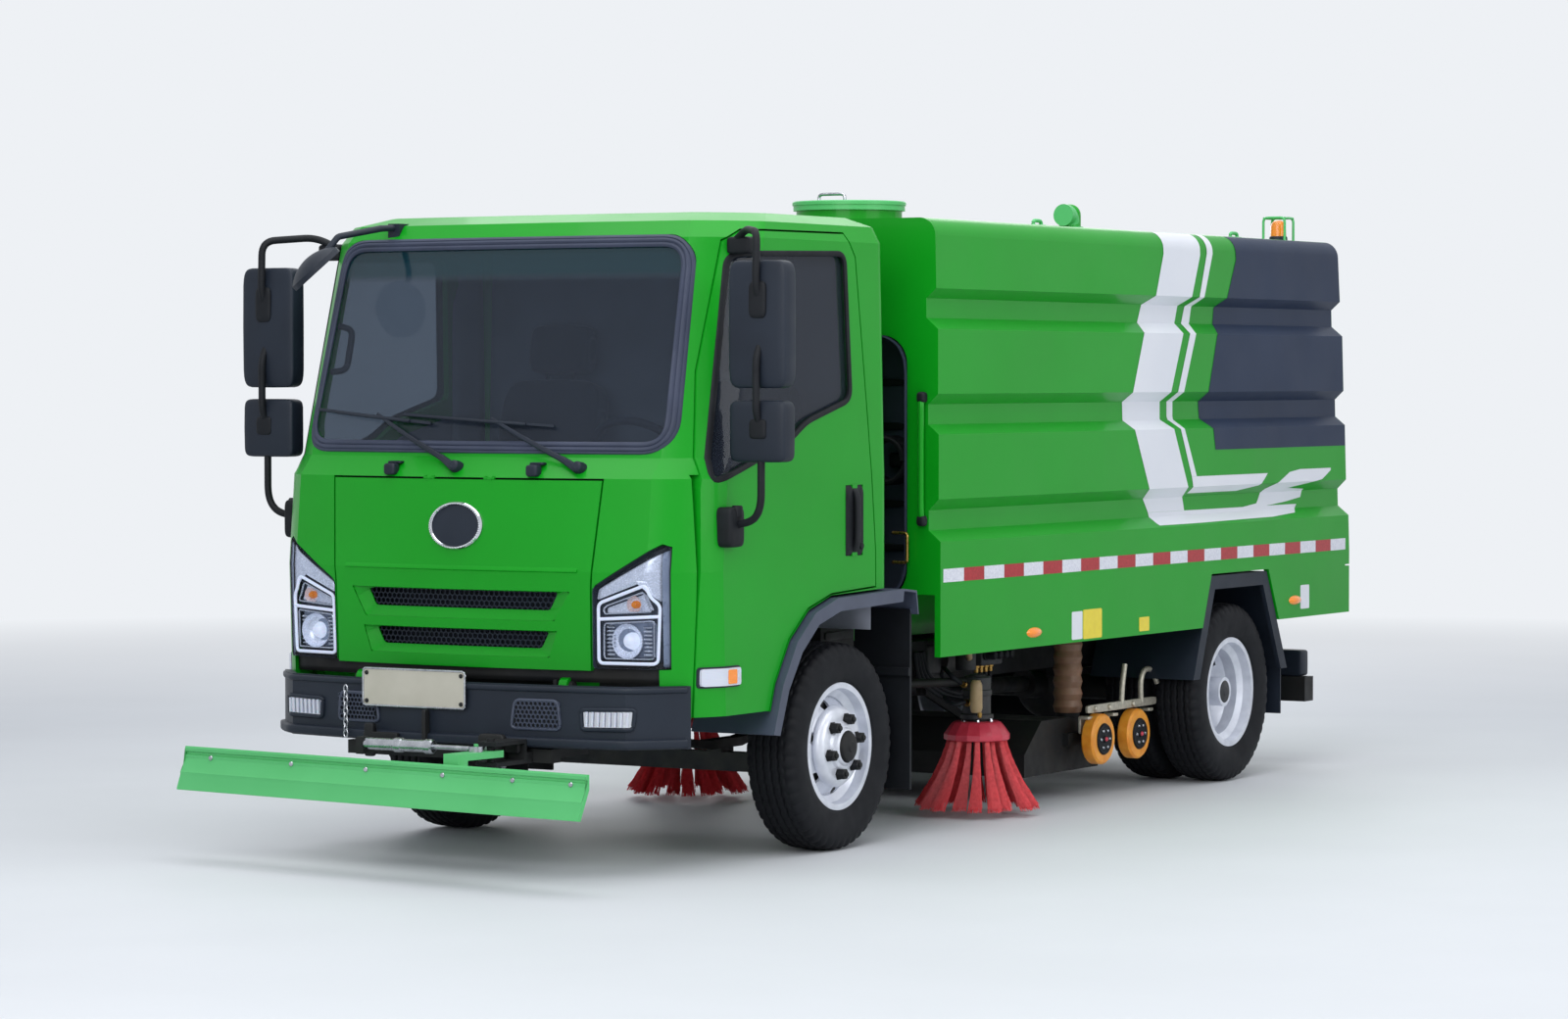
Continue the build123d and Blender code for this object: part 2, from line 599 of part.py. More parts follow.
# ---------------------------------------------------------------- front flap
HOOD_WALL = 30
GRILLE_SLOTS = (
    # low z, high z, half width at the bottom, half width at the top
    (757, 851, 385, 418),
    (886, 990, 408, 470),
)
with BuildPart() as hood_form:
    add(outer_form.part)
    cab_form(HOOD_WALL, mode=Mode.SUBTRACT)
with BuildPart() as front_hood:
    prism(front, HOOD_LINE, 400)
    add(hood_form.part, mode=Mode.INTERSECT)
    for low, high, half_low, half_high in GRILLE_SLOTS:
        slot = [(-half_low, low), (half_low, low), (half_high, high), (-half_high, high)]
        prism(front, slot, 400, mode=Mode.SUBTRACT)
    for middle in HOOD_HINGES:
        rod(
            (middle - 10, HOOD_HINGE_Y, HOOD_HINGE_Z), (middle + 10, HOOD_HINGE_Y, HOOD_HINGE_Z),
            KNUCKLE_RADIUS,
        )
        block(
            (middle - 10, HOOD_HINGE_Y - 1, HOOD_HINGE_Z - 16),
            (middle + 10, HOOD_HINGE_Y + KNUCKLE_RADIUS, HOOD_HINGE_Z),
        )
        rod(
            (middle - 11, HOOD_HINGE_Y, HOOD_HINGE_Z), (middle + 11, HOOD_HINGE_Y, HOOD_HINGE_Z),
            HOOD_PIN_RADIUS + PIN_FIT, mode=Mode.SUBTRACT,
        )
finish(front_hood, "front_hood")

GRILLE_PLATE = 12
MESH_PITCH = 34
with BuildPart() as grille_form:
    cab_form(HOOD_WALL + FIT)
    cab_form(HOOD_WALL + FIT + GRILLE_PLATE, mode=Mode.SUBTRACT)
with BuildPart() as grille:
    prism(front, [(-430, 745), (430, 745), (495, 1015), (-495, 1015)], 400)
    add(grille_form.part, mode=Mode.INTERSECT)
    for low, high, half_low, half_high in GRILLE_SLOTS:
        rows = 2
        columns = int(2 * half_low / MESH_PITCH)
        with BuildSketch(front) as holes:
            with Locations((0, (low + high) / 2)):
                with GridLocations(MESH_PITCH, (high - low) / rows, columns, rows):
                    Rectangle(MESH_PITCH - 8, (high - low) / rows - 8)
        extrude(holes.sketch, amount=400, mode=Mode.SUBTRACT)
finish(grille, "grille")

# ---------------------------------------------------------------- doors
with BuildPart() as door_form:
    add(outer_form.part)
    cab_form(DOOR_WALL, mode=Mode.SUBTRACT)
with BuildPart() as door_left:
    prism(Plane.YZ.offset(DOOR_X), DOOR_LINE, 400)
    add(door_form.part, mode=Mode.INTERSECT)
    prism(Plane.YZ.offset(DOOR_X), WINDOW_LINE, 400, mode=Mode.SUBTRACT, round_by=38)
    prism(
        screen_plane, SCREEN_LINE, 600, mode=Mode.SUBTRACT, round_by=SCREEN_CORNER, grow=PANEL_GAP
    )
    # recess and bar of the pull handle
    block(
        (CAB_HALF_WIDTH - 28, FRONT_AXLE_Y - 30, 1085), (CAB_HALF_WIDTH + 5, FRONT_AXLE_Y + 96, 1345),
        mode=Mode.SUBTRACT,
    )
    block((CAB_HALF_WIDTH - 12, FRONT_AXLE_Y + 10, 1084), (CAB_HALF_WIDTH + 6, FRONT_AXLE_Y + 46, 1346))
finish(door_left, "door_left")
door_right = mirrored(door_left)
finish(door_right, "door_right")

with BuildPart() as pane_form:
    cab_form(16)
    cab_form(16 + GLASS_THICK, mode=Mode.SUBTRACT)
with BuildPart() as door_glass_left:
    prism(Plane.YZ.offset(DOOR_X), WINDOW_LINE, 400, round_by=38, grow=-FIT)
    add(pane_form.part, mode=Mode.INTERSECT)
finish(door_glass_left, "door_glass_left")
door_glass_right = mirrored(door_glass_left)
finish(door_glass_right, "door_glass_right")

# ---------------------------------------------------------------- mirrors
MIRROR_X = CAB_HALF_WIDTH + 132
MIRROR_Y = FRONT_AXLE_Y - 862
MIRROR_TUBE = 13
with BuildPart() as mirror_left:
    for low, high, wide in ((1700, 2150, 108), (1420, 1640, 104)):
        with BuildSketch(Plane.XY.offset(low)) as head:
            with Locations((MIRROR_X, MIRROR_Y)):
                RectangleRounded(2 * wide, 92, 34)
        extrude(head.sketch, amount=high - low)
    tube(
        (
            (CAB_HALF_WIDTH - 90, FRONT_AXLE_Y - 700, 2205), (MIRROR_X - 70, FRONT_AXLE_Y - 790, 2262),
            (MIRROR_X + 10, MIRROR_Y, 2252), (MIRROR_X + 10, MIRROR_Y, 1240),
            (CAB_HALF_WIDTH + 30, FRONT_AXLE_Y - 850, 1215),
        ),
        MIRROR_TUBE, 24,
    )
    block(
        (CAB_HALF_WIDTH - 90, FRONT_AXLE_Y - 730, 2170),
        (CAB_HALF_WIDTH + 18, FRONT_AXLE_Y - 670, 2235),
    )
    block(
        (CAB_HALF_WIDTH - 40, FRONT_AXLE_Y - 900, 1160),
        (CAB_HALF_WIDTH + 50, FRONT_AXLE_Y - 810, 1300),
    )
    cab_form(-FIT, mode=Mode.SUBTRACT)
finish(mirror_left, "mirror_left")
mirror_right = mirrored(mirror_left)
finish(mirror_right, "mirror_right")

# ---------------------------------------------------------------- cab interior
with BuildPart() as seats:
    for x in (430, -430):
        prism(
            Plane.YZ.offset(x - 235),
            from_axle(
                [
                    (-420, SEAT_DECK_Z + FIT), (40, SEAT_DECK_Z + FIT), (60, 1180), (200, 1700),
                    (205, 1950), (120, 1950), (90, 1720), (-60, 1200), (-430, 1180),
                ]
            ),
            470,
        )
finish(seats, "seats")

with BuildPart() as dash_room:
    cab_form(LAMP_DEPTH + 12)

with BuildPart() as dashboard:
    prism(
        Plane.YZ.offset(-CAB_HALF_WIDTH + 90),
        from_axle([(-1090, 1100), (-760, 1130), (-720, 1300), (-800, 1425), (-1010, 1425), (-1085, 1370)]),
        2 * CAB_HALF_WIDTH - 180,
    )
    block((-700, FRONT_AXLE_Y - 1045, CAB_FLOOR_Z + CAB_WALL + FIT), (700, FRONT_AXLE_Y - 985, 1135))
    add(dash_room.part, mode=Mode.INTERSECT)
    rod((430, FRONT_AXLE_Y - 760, 1300), (430, FRONT_AXLE_Y - 612, 1424), 26)
    # a three-spoke steering wheel on its column
    tilt = Plane(origin=(430, FRONT_AXLE_Y - 606, 1428), x_dir=(1, 0, 0), z_dir=(0, 0.77, 0.64))
    with Locations(tilt):
        Torus(205, 15)
        for angle in (90, 210, 330):
            with Locations(Rotation(0, 0, angle)):
                with Locations((103, 0, 0)):
                    Box(206, 34, 14)
        Cylinder(48, 26)
finish(dashboard, "dashboard")

# ---------------------------------------------------------------- fenders and bumper
FENDER_IN_X = 610
FENDER_OUT_X = CAB_HALF_WIDTH + 28
FENDER_BACK = ((360, 950), (455, 940), (470, 850))
FENDER_OUTER = from_axle(list(ARCH_LINE[:-1]) + list(FENDER_BACK))
FENDER_INNER = from_axle(
    [(463, 850), (448, 932), (356, 943), (-128, 929), (-286, 883), (-414, 784), (-513, 637), (-577, 466)]
)
FLAP_Y = FRONT_AXLE_Y + 456
with BuildPart() as front_fenders:
    for side in (1, -1):
        x = FENDER_IN_X if side > 0 else -FENDER_OUT_X
        prism(Plane.YZ.offset(x), FENDER_OUTER + FENDER_INNER, FENDER_OUT_X - FENDER_IN_X)
        # deep outer lip and the stay to the frame
        lip_outer = FENDER_OUTER[:6]
        lip_inner = from_axle([(352, 902), (-110, 888), (-264, 846), (-384, 752), (-478, 620), (-540, 462)])
        lip_x = FENDER_OUT_X - 10 if side > 0 else -FENDER_OUT_X
        prism(Plane.YZ.offset(lip_x), lip_outer + lip_inner, 10)
        stay = sorted((side * (RAIL_OUTER_X + FIT), side * (FENDER_OUT_X - 20)))
        block(
            (stay[0], FLAP_Y - 30, RAIL_TOP - 60), (stay[1], FLAP_Y - 5, RAIL_TOP - 30)
        )
        # mud flap hanging behind the wheel
        flap = sorted((side * 690, side * 930))
        block((flap[0], FLAP_Y - 6, 190), (flap[1], FLAP_Y + 8, 870))
finish(front_fenders, "front_fenders")

BUMPER_LOW = 446
BUMPER_HIGH = 666
BUMPER_WALL = 22
BUMPER_FRONT = -1262
BUMPER_HALF = CAB_HALF_WIDTH - 48
BUMPER_CORNER = BUMPER_HALF - 162
BUMPER_BOW = 75
BUMPER_END_Y = FRONT_AXLE_Y - 1018


def bumper_outline(inset, low, high, mode):
    """The bumper's plan: bowed front and swept ends, as one upright prism."""
    half = BUMPER_HALF - inset
    front_y = FRONT_AXLE_Y + BUMPER_FRONT + inset
    with BuildSketch(Plane.XY.offset(low)) as plan:
        with BuildLine():
            ThreePointArc(
                (-BUMPER_CORNER, front_y + BUMPER_BOW), (0, front_y),
                (BUMPER_CORNER, front_y + BUMPER_BOW),
            )
            ThreePointArc(
                (BUMPER_CORNER, front_y + BUMPER_BOW), (half - 81, front_y + BUMPER_BOW + 71),
                (half, BUMPER_END_Y),
            )
            Line((half, BUMPER_END_Y), (-half, BUMPER_END_Y))
            ThreePointArc(
                (-half, BUMPER_END_Y), (-half + 81, front_y + BUMPER_BOW + 71),
                (-BUMPER_CORNER, front_y + BUMPER_BOW),
            )
        make_face()
    extrude(plan.sketch, amount=high - low, mode=mode)


with BuildPart() as front_bumper:
    bumper_outline(0, BUMPER_LOW, BUMPER_HIGH, Mode.ADD)
    bumper_outline(BUMPER_WALL, BUMPER_LOW + BUMPER_WALL, BUMPER_HIGH + 1, Mode.SUBTRACT)
    block(
        (-BUMPER_HALF + BUMPER_WALL, FRONT_AXLE_Y - 1180, BUMPER_LOW - 1),
        (BUMPER_HALF - BUMPER_WALL, FRONT_AXLE_Y - 990, BUMPER_LOW + BUMPER_WALL + 1),
        mode=Mode.SUBTRACT,
    )
    for side in (1, -1):
        bracket = sorted((side * RAIL_INNER_X, side * (RAIL_OUTER_X - RAIL_WEB)))
        block(
            (bracket[0], FRONT_AXLE_Y - 1235, RAIL_BOTTOM + 10),
            (bracket[1], RAIL_FRONT_Y - FIT, RAIL_BOTTOM + 70),
        )
finish(front_bumper, "front_bumper")

# ---------------------------------------------------------------- deflector bar
BAR_PIVOT_X = 317
BAR_PIVOT_Y = FRONT_AXLE_Y - 1425
BAR_LENGTH = 1900
BAR_ANGLE = -7
BAR_MIDDLE_Y = FRONT_AXLE_Y - 1640
BAR_PIN_RADIUS = 14
BAR_PIVOT_Z = 455
BAR_LUG_REACH = 75              # from the pivot to the actuator's pin, square to the bar
BAR_LUG_X = BAR_PIVOT_X + BAR_LUG_REACH * math.sin(math.radians(BAR_ANGLE))
BAR_LUG_Y = BAR_PIVOT_Y - BAR_LUG_REACH * math.cos(math.radians(BAR_ANGLE))
BAR_ACTUATOR_X = (-160, 130)
BAR_ACTUATOR_Z = 457
with BuildPart() as bar_bracket:
    # beam under the bumper, held to the rail ends, with the pivot's two cheeks
    for side in (1, -1):
        x = side * (RAIL_INNER_X + RAIL_FLANGE / 2)
        block(
            (x - 20, FRONT_AXLE_Y - 1176, 400), (x + 20, RAIL_FRONT_Y + 60, RAIL_BOTTOM - FIT)
        )
    block((-440, FRONT_AXLE_Y - 1230, 392), (440, FRONT_AXLE_Y - 1170, 440))
    for low in (392, BAR_PIVOT_Z + 8):
        block(
            (BAR_PIVOT_X - 45, BAR_PIVOT_Y - 30, low),
            (BAR_PIVOT_X + 45, BUMPER_FRONT + FRONT_AXLE_Y - 6, low + 14),
        )
    block(
        (BAR_PIVOT_X - 45, BUMPER_FRONT + FRONT_AXLE_Y - 20, 392),
        (BAR_PIVOT_X + 45, BUMPER_FRONT + FRONT_AXLE_Y - 6, BAR_PIVOT_Z + 22),
    )
    block(
        (BAR_PIVOT_X - 45, BUMPER_FRONT + FRONT_AXLE_Y - 20, 392),
        (BAR_PIVOT_X + 45, FRONT_AXLE_Y - 1200, 430),
    )
    # arm that holds the actuator's fixed end
    block(
        (BAR_ACTUATOR_X[0] - 30, BAR_LUG_Y - 22, 420), (BAR_ACTUATOR_X[0], FRONT_AXLE_Y - 1180, 440)
    )
    block(
        (BAR_ACTUATOR_X[0] - 30, BAR_LUG_Y - 22, 420), (BAR_ACTUATOR_X[0], BAR_LUG_Y + 22, 480)
    )
    rod(
        (BAR_PIVOT_X, BAR_PIVOT_Y, 386), (BAR_PIVOT_X, BAR_PIVOT_Y, BAR_PIVOT_Z + 34),
        BAR_PIN_RADIUS,
    )
finish(bar_bracket, "bar_bracket")

# The bar is drawn square to the vehicle, then turned about its pivot to its rest angle.
with BuildPart() as bar_square:
    section = [
        (BAR_MIDDLE_Y, 412), (BAR_MIDDLE_Y - 6, 412), (BAR_MIDDLE_Y - 6, 366),
        (BAR_MIDDLE_Y - 52, 262), (BAR_MIDDLE_Y - 46, 258), (BAR_MIDDLE_Y, 362),
    ]
    prism(Plane.YZ.offset(-BAR_LENGTH / 2), section, BAR_LENGTH)
    block((-860, BAR_MIDDLE_Y, 372), (860, BAR_MIDDLE_Y + 40, 406))
    block(
        (BAR_PIVOT_X - 34, BAR_MIDDLE_Y + 10, 372), (BAR_PIVOT_X + 34, BAR_MIDDLE_Y + 60, 447),
    )
    block(
        (BAR_PIVOT_X - 34, BAR_MIDDLE_Y + 10, 423), (BAR_PIVOT_X + 34, BAR_PIVOT_Y + 30, 447),
    )
    rod(
        (BAR_PIVOT_X, BAR_PIVOT_Y - BAR_LUG_REACH, 440),
        (BAR_PIVOT_X, BAR_PIVOT_Y - BAR_LUG_REACH, 474), 8,
    )
    rod(
        (BAR_PIVOT_X, BAR_PIVOT_Y, 340), (BAR_PIVOT_X, BAR_PIVOT_Y, 500),
        BAR_PIN_RADIUS + PIN_FIT, mode=Mode.SUBTRACT,
    )
with BuildPart() as deflector_bar:
    add(bar_square.part.rotate(Axis((BAR_PIVOT_X, BAR_PIVOT_Y, 0), (0, 0, 1)), BAR_ANGLE))
finish(deflector_bar, "deflector_bar")

with BuildPart() as bar_actuator:
    rod(
        (BAR_ACTUATOR_X[0] + FIT, BAR_LUG_Y, BAR_ACTUATOR_Z),
        (BAR_ACTUATOR_X[1], BAR_LUG_Y, BAR_ACTUATOR_Z), 21,
    )
    rod(
        (BAR_ACTUATOR_X[0] + 60, BAR_LUG_Y, BAR_ACTUATOR_Z),
        (BAR_ACTUATOR_X[1] + 1, BAR_LUG_Y, BAR_ACTUATOR_Z), 9 + PIN_FIT, mode=Mode.SUBTRACT,
    )
finish(bar_actuator, "bar_actuator")

with BuildPart() as bar_rod:
    rod(
        (BAR_ACTUATOR_X[1] - 150, BAR_LUG_Y, BAR_ACTUATOR_Z),
        (BAR_LUG_X - 18, BAR_LUG_Y, BAR_ACTUATOR_Z), 9,
    )
    rod((BAR_LUG_X, BAR_LUG_Y, 447 + FIT), (BAR_LUG_X, BAR_LUG_Y, 447 + 19), 26)
    rod((BAR_LUG_X, BAR_LUG_Y, 440), (BAR_LUG_X, BAR_LUG_Y, 480), 15, mode=Mode.SUBTRACT)
finish(bar_rod, "bar_rod")

# ---------------------------------------------------------------- hopper
RIB_PITCH = (HOPPER_TOP_Z - HOPPER_SKIRT_Z) * 0.24
RIB_TOP = HOPPER_TOP_Z - 268
RIBS = (
    # outer top z, inner top z, inner bottom z, outer bottom z, half width above, below
    (RIB_TOP, RIB_TOP - 38, RIB_TOP - 112, RIB_TOP - 155, 946, 954),
    (RIB_TOP - RIB_PITCH, RIB_TOP - RIB_PITCH - 40, RIB_TOP - RIB_PITCH - 116,
     RIB_TOP - RIB_PITCH - 154, 954, 957),
    (RIB_TOP - 2 * RIB_PITCH, RIB_TOP - 2 * RIB_PITCH - 42, RIB_TOP - 2 * RIB_PITCH - 118,
     RIB_TOP - 2 * RIB_PITCH - 161, 957, HOPPER_SKIRT_X),
)
ROOF_EDGE = 70
REAR_GUARD = [(REAR_AXLE_Y + y, z) for y, z in ((-483, 400), (-290, 895), (270, 895), (515, 400))]
with BuildPart() as hopper_outer:
    wall = [(HOPPER_SKIRT_X, HOPPER_SKIRT_Z)]
    for outer_top, inner_top, inner_low, outer_low, above, below in reversed(RIBS):
        wall += [
            (below, outer_low), (above - RIB_DEPTH, inner_low),
            (above - RIB_DEPTH, inner_top), (above, outer_top),
        ]
    side_line = wall + [(940, HOPPER_TOP_Z)]
    outline = side_line + [(-x, z) for x, z in reversed(side_line)]
    prism(Plane.XZ.offset(-HOPPER_REAR_Y), outline, HOPPER_REAR_Y - HOPPER_FRONT_Y)
    roof_edges = (
        hopper_outer.edges().filter_by(Axis.Y).group_by(Axis.Z)[-1]
    )
    fillet(roof_edges, ROOF_EDGE)
    lean = [
        (HOPPER_REAR_Y, 500), (HOPPER_REAR_Y, HOPPER_SKIRT_Z + 280),
        (HOPPER_REAR_Y - HOPPER_REAR_LEAN, HOPPER_TOP_Z + 10), (HOPPER_REAR_Y + 100, HOPPER_TOP_Z + 10),
        (HOPPER_REAR_Y + 100, 500),
    ]
    prism(Plane.YZ.offset(-1000), lean, 2000, mode=Mode.SUBTRACT)

HOPPER_INSIDE_FRONT = HOPPER_FRONT_Y + 330
CYL_LOW = (0, FRONT_AXLE_Y + 3000, 600)
CYL_EYE = (0, FRONT_AXLE_Y + 1750, 785)
CYL_LUG_X = 44                  # inner faces of the lugs at the cylinder's upper eye
DOOR_PLANE = [
    (HOPPER_REAR_Y - REAR_DOOR_THICK, 500),
    (HOPPER_REAR_Y - REAR_DOOR_THICK, HOPPER_SKIRT_Z + 280),
    (HOPPER_REAR_Y - HOPPER_REAR_LEAN - REAR_DOOR_THICK, HOPPER_TOP_Z + 10),
    (HOPPER_REAR_Y + 200, HOPPER_TOP_Z + 10), (HOPPER_REAR_Y + 200, 500),
]
DOOR_BOTTOM_Z = HOPPER_FLOOR_Z - 20
DOOR_TOP_Z = HOPPER_TOP_Z - 70
REAR_HINGES = (-600, 600)
REAR_HINGE_Z = DOOR_TOP_Z + 3
REAR_HINGE_Y = HOPPER_REAR_Y - HOPPER_REAR_LEAN + 24
REAR_KNUCKLE_RADIUS = 12
REAR_PIN_RADIUS = 7
LID_RADIUS = 228
LID_HINGE_Z = HOPPER_TOP_Z + 80
LID_Y = FRONT_AXLE_Y + 1600
LID_HINGE_Y = LID_Y + LID_RADIUS + 14
with BuildPart() as hopper_body:
    add(hopper_outer.part)
    # the load space and the open underside between the skirts
    block(
        (-HOPPER_INSIDE_X, HOPPER_INSIDE_FRONT, HOPPER_FLOOR_Z + HOPPER_WALL),
        (HOPPER_INSIDE_X, HOPPER_REAR_Y - HOPPER_REAR_LEAN - 90, HOPPER_TOP_Z - HOPPER_WALL),
        mode=Mode.SUBTRACT,
    )
    # the rear doorway, under a header that the door seats on
    block(
        (-HOPPER_INSIDE_X, HOPPER_INSIDE_FRONT, HOPPER_FLOOR_Z + HOPPER_WALL),
        (HOPPER_INSIDE_X, HOPPER_REAR_Y + 10, DOOR_TOP_Z - 25), mode=Mode.SUBTRACT,
    )
    block(
        (-HOPPER_SKIRT_X + 25, HOPPER_FRONT_Y + 25, HOPPER_SKIRT_Z - 1),
        (HOPPER_SKIRT_X - 25, HOPPER_REAR_Y + 10, HOPPER_FLOOR_Z), mode=Mode.SUBTRACT,
    )
    block(
        (-HOPPER_SKIRT_X + 25, HOPPER_FRONT_Y - 10, HOPPER_SKIRT_Z - 1),
        (HOPPER_SKIRT_X - 25, HOPPER_FRONT_Y + 30, HOPPER_FLOOR_Z), mode=Mode.SUBTRACT,
    )
    # recess in the front wall
    with BuildSketch(Plane.XZ.offset(-HOPPER_FRONT_Y)) as recess:
        with Locations((0, 1400)):
            RectangleRounded(1640, 1000, 110)
    extrude(recess.sketch, amount=-300, mode=Mode.SUBTRACT)
    # wheel arches through the skirts
    prism(Plane.YZ.offset(-1000), REAR_GUARD, 2000, mode=Mode.SUBTRACT, grow=9)
    # the rear door's seat
    with BuildPart(mode=Mode.PRIVATE) as door_seat:
        prism(Plane.YZ.offset(-1000), DOOR_PLANE, 2000, grow=FIT)
        block((-1100, 0, 400), (1100, 4000, DOOR_BOTTOM_Z - PANEL_GAP), mode=Mode.SUBTRACT)
        block((-1100, 0, DOOR_TOP_Z + PANEL_GAP), (1100, 4000, 2600), mode=Mode.SUBTRACT)
    add(door_seat.part, mode=Mode.SUBTRACT)
    # fixed knuckles and pins of the rear door's hinges
    for middle in REAR_HINGES:
        for x in (middle - 34, middle + 34):
            rod(
                (x - 12, REAR_HINGE_Y, REAR_HINGE_Z), (x + 12, REAR_HINGE_Y, REAR_HINGE_Z),
                REAR_KNUCKLE_RADIUS,
            )
            block(
                (x - 12, REAR_HINGE_Y - 40, REAR_HINGE_Z + REAR_KNUCKLE_RADIUS - 4),
                (x + 12, REAR_HINGE_Y + REAR_KNUCKLE_RADIUS - 3, REAR_HINGE_Z + 34),
            )
            block(
                (x - 12, REAR_HINGE_Y - 3, REAR_HINGE_Z),
                (x + 12, REAR_HINGE_Y + REAR_KNUCKLE_RADIUS - 3, REAR_HINGE_Z + 34),
            )
        rod(
            (middle - 46, REAR_HINGE_Y, REAR_HINGE_Z), (middle + 46, REAR_HINGE_Y, REAR_HINGE_Z),
            REAR_PIN_RADIUS,
        )
    # raised neck of the roof hatch
    rod((0, LID_Y, HOPPER_TOP_Z - 10), (0, LID_Y, HOPPER_TOP_Z + 70), LID_RADIUS - 12)
    rod((0, LID_Y, HOPPER_TOP_Z - 50), (0, LID_Y, HOPPER_TOP_Z + 90), LID_RADIUS - 30, mode=Mode.SUBTRACT)
    for side in (1, -1):
        ear = sorted((side * 25, side * 37))
        block(
            (ear[0], LID_HINGE_Y - 10, HOPPER_TOP_Z - 5), (ear[1], LID_HINGE_Y + 10, LID_HINGE_Z)
        )
        rod((ear[0], LID_HINGE_Y, LID_HINGE_Z), (ear[1], LID_HINGE_Y, LID_HINGE_Z), 10)
    rod((-37, LID_HINGE_Y, LID_HINGE_Z), (37, LID_HINGE_Y, LID_HINGE_Z), 5)
    # two floor beams carry the hopper over the frame and end in the hinge ears
    for side in (1, -1):
        beam = sorted((side * (RAIL_INNER_X - 8), side * (RAIL_INNER_X - 68)))
        block(
            (beam[0], HOPPER_FRONT_Y + 60, RAIL_TOP + 20),
            (beam[1], HOPPER_HINGE_Y - 40, HOPPER_FLOOR_Z + 5),
        )
        block(
            (beam[0], HOPPER_HINGE_Y - 60, HOPPER_HINGE_Z - 40),
            (beam[1], HOPPER_HINGE_Y + 40, HOPPER_FLOOR_Z + 5),
        )
    rod(
        (-RAIL_INNER_X, HOPPER_HINGE_Y, HOPPER_HINGE_Z), (RAIL_INNER_X, HOPPER_HINGE_Y, HOPPER_HINGE_Z),
        22 + PIN_FIT, mode=Mode.SUBTRACT,
    )
    # two lugs take the tipping cylinder's upper pin
    for side in (1, -1):
        lug = sorted((side * (CYL_LUG_X + 18), side * CYL_LUG_X))
        block(
            (lug[0], CYL_EYE[1] - 40, CYL_EYE[2] - 40), (lug[1], CYL_EYE[1] + 40, HOPPER_FLOOR_Z + 5)
        )
    rod((-63, CYL_EYE[1], CYL_EYE[2]), (63, CYL_EYE[1], CYL_EYE[2]), 17, mode=Mode.SUBTRACT)
    # air outlet elbow on the roof
    rod((700, FRONT_AXLE_Y + 2200, HOPPER_TOP_Z - 20), (700, FRONT_AXLE_Y + 2200, HOPPER_TOP_Z + 60), 45)
    with Locations((700, FRONT_AXLE_Y + 2200, HOPPER_TOP_Z + 60)):
        Sphere(45)
finish(hopper_body, "hopper_body")

with BuildPart() as rear_door:
    add(hopper_outer.part)
    with BuildPart(mode=Mode.PRIVATE) as door_zone:
        prism(Plane.YZ.offset(-1000), DOOR_PLANE, 2000)
        block((-1100, 0, 400), (1100, 4000, DOOR_BOTTOM_Z), mode=Mode.SUBTRACT)
        block((-1100, 0, DOOR_TOP_Z), (1100, 4000, 2600), mode=Mode.SUBTRACT)
    add(door_zone.part, mode=Mode.INTERSECT)
    for middle in REAR_HINGES:
        rod(
            (middle - 21, REAR_HINGE_Y, REAR_HINGE_Z), (middle + 21, REAR_HINGE_Y, REAR_HINGE_Z),
            REAR_KNUCKLE_RADIUS,
        )
        block(
            (middle - 21, REAR_HINGE_Y - 40, REAR_HINGE_Z - 70),
            (middle + 21, REAR_HINGE_Y + REAR_KNUCKLE_RADIUS - 3, REAR_HINGE_Z - 4),
        )
        rod(
            (middle - 22, REAR_HINGE_Y, REAR_HINGE_Z), (middle + 22, REAR_HINGE_Y, REAR_HINGE_Z),
            REAR_PIN_RADIUS + PIN_FIT, mode=Mode.SUBTRACT,
        )
finish(rear_door, "rear_door")

with BuildPart() as roof_lid:
    rod((0, LID_Y, HOPPER_TOP_Z + 70 + FIT), (0, LID_Y, HOPPER_TOP_Z + 104), LID_RADIUS)
    block((-24, LID_HINGE_Y - 50, LID_HINGE_Z - 8), (24, LID_HINGE_Y, LID_HINGE_Z + 8))
    rod((-24, LID_HINGE_Y, LID_HINGE_Z), (24, LID_HINGE_Y, LID_HINGE_Z), 9.5)
    rod((-25, LID_HINGE_Y, LID_HINGE_Z), (25, LID_HINGE_Y, LID_HINGE_Z), 5 + PIN_FIT, mode=Mode.SUBTRACT)
finish(roof_lid, "roof_lid")

with BuildPart() as beacon:
    block((700, FRONT_AXLE_Y + 4100, HOPPER_TOP_Z + FIT), (790, FRONT_AXLE_Y + 4190, HOPPER_TOP_Z + 18))
    rod((745, FRONT_AXLE_Y + 4145, HOPPER_TOP_Z + 10), (745, FRONT_AXLE_Y + 4145, HOPPER_TOP_Z + 100), 38)
finish(beacon, "beacon")

# ---------------------------------------------------------------- tipping cylinder
CYL_RUN = Vector(*CYL_EYE) - Vector(*CYL_LOW)
CYL_DIR = CYL_RUN.normalized()
CYL_START = Vector(*CYL_LOW)
with BuildPart() as cylinder_barrel:
    rod(CYL_START + CYL_DIR * 50, CYL_START + CYL_DIR * (CYL_RUN.length - 90), 48)
    rod((-30, CYL_LOW[1], CYL_LOW[2]), (30, CYL_LOW[1], CYL_LOW[2]), 34)
    rod(CYL_START + CYL_DIR * 10, CYL_START + CYL_DIR * 60, 28)
    rod((-40, CYL_LOW[1], CYL_LOW[2]), (40, CYL_LOW[1], CYL_LOW[2]), 16 + PIN_FIT, mode=Mode.SUBTRACT)
    rod(
        CYL_START + CYL_DIR * 120, CYL_START + CYL_DIR * CYL_RUN.length, 30 + PIN_FIT,
        mode=Mode.SUBTRACT,
    )
finish(cylinder_barrel, "cylinder_barrel")

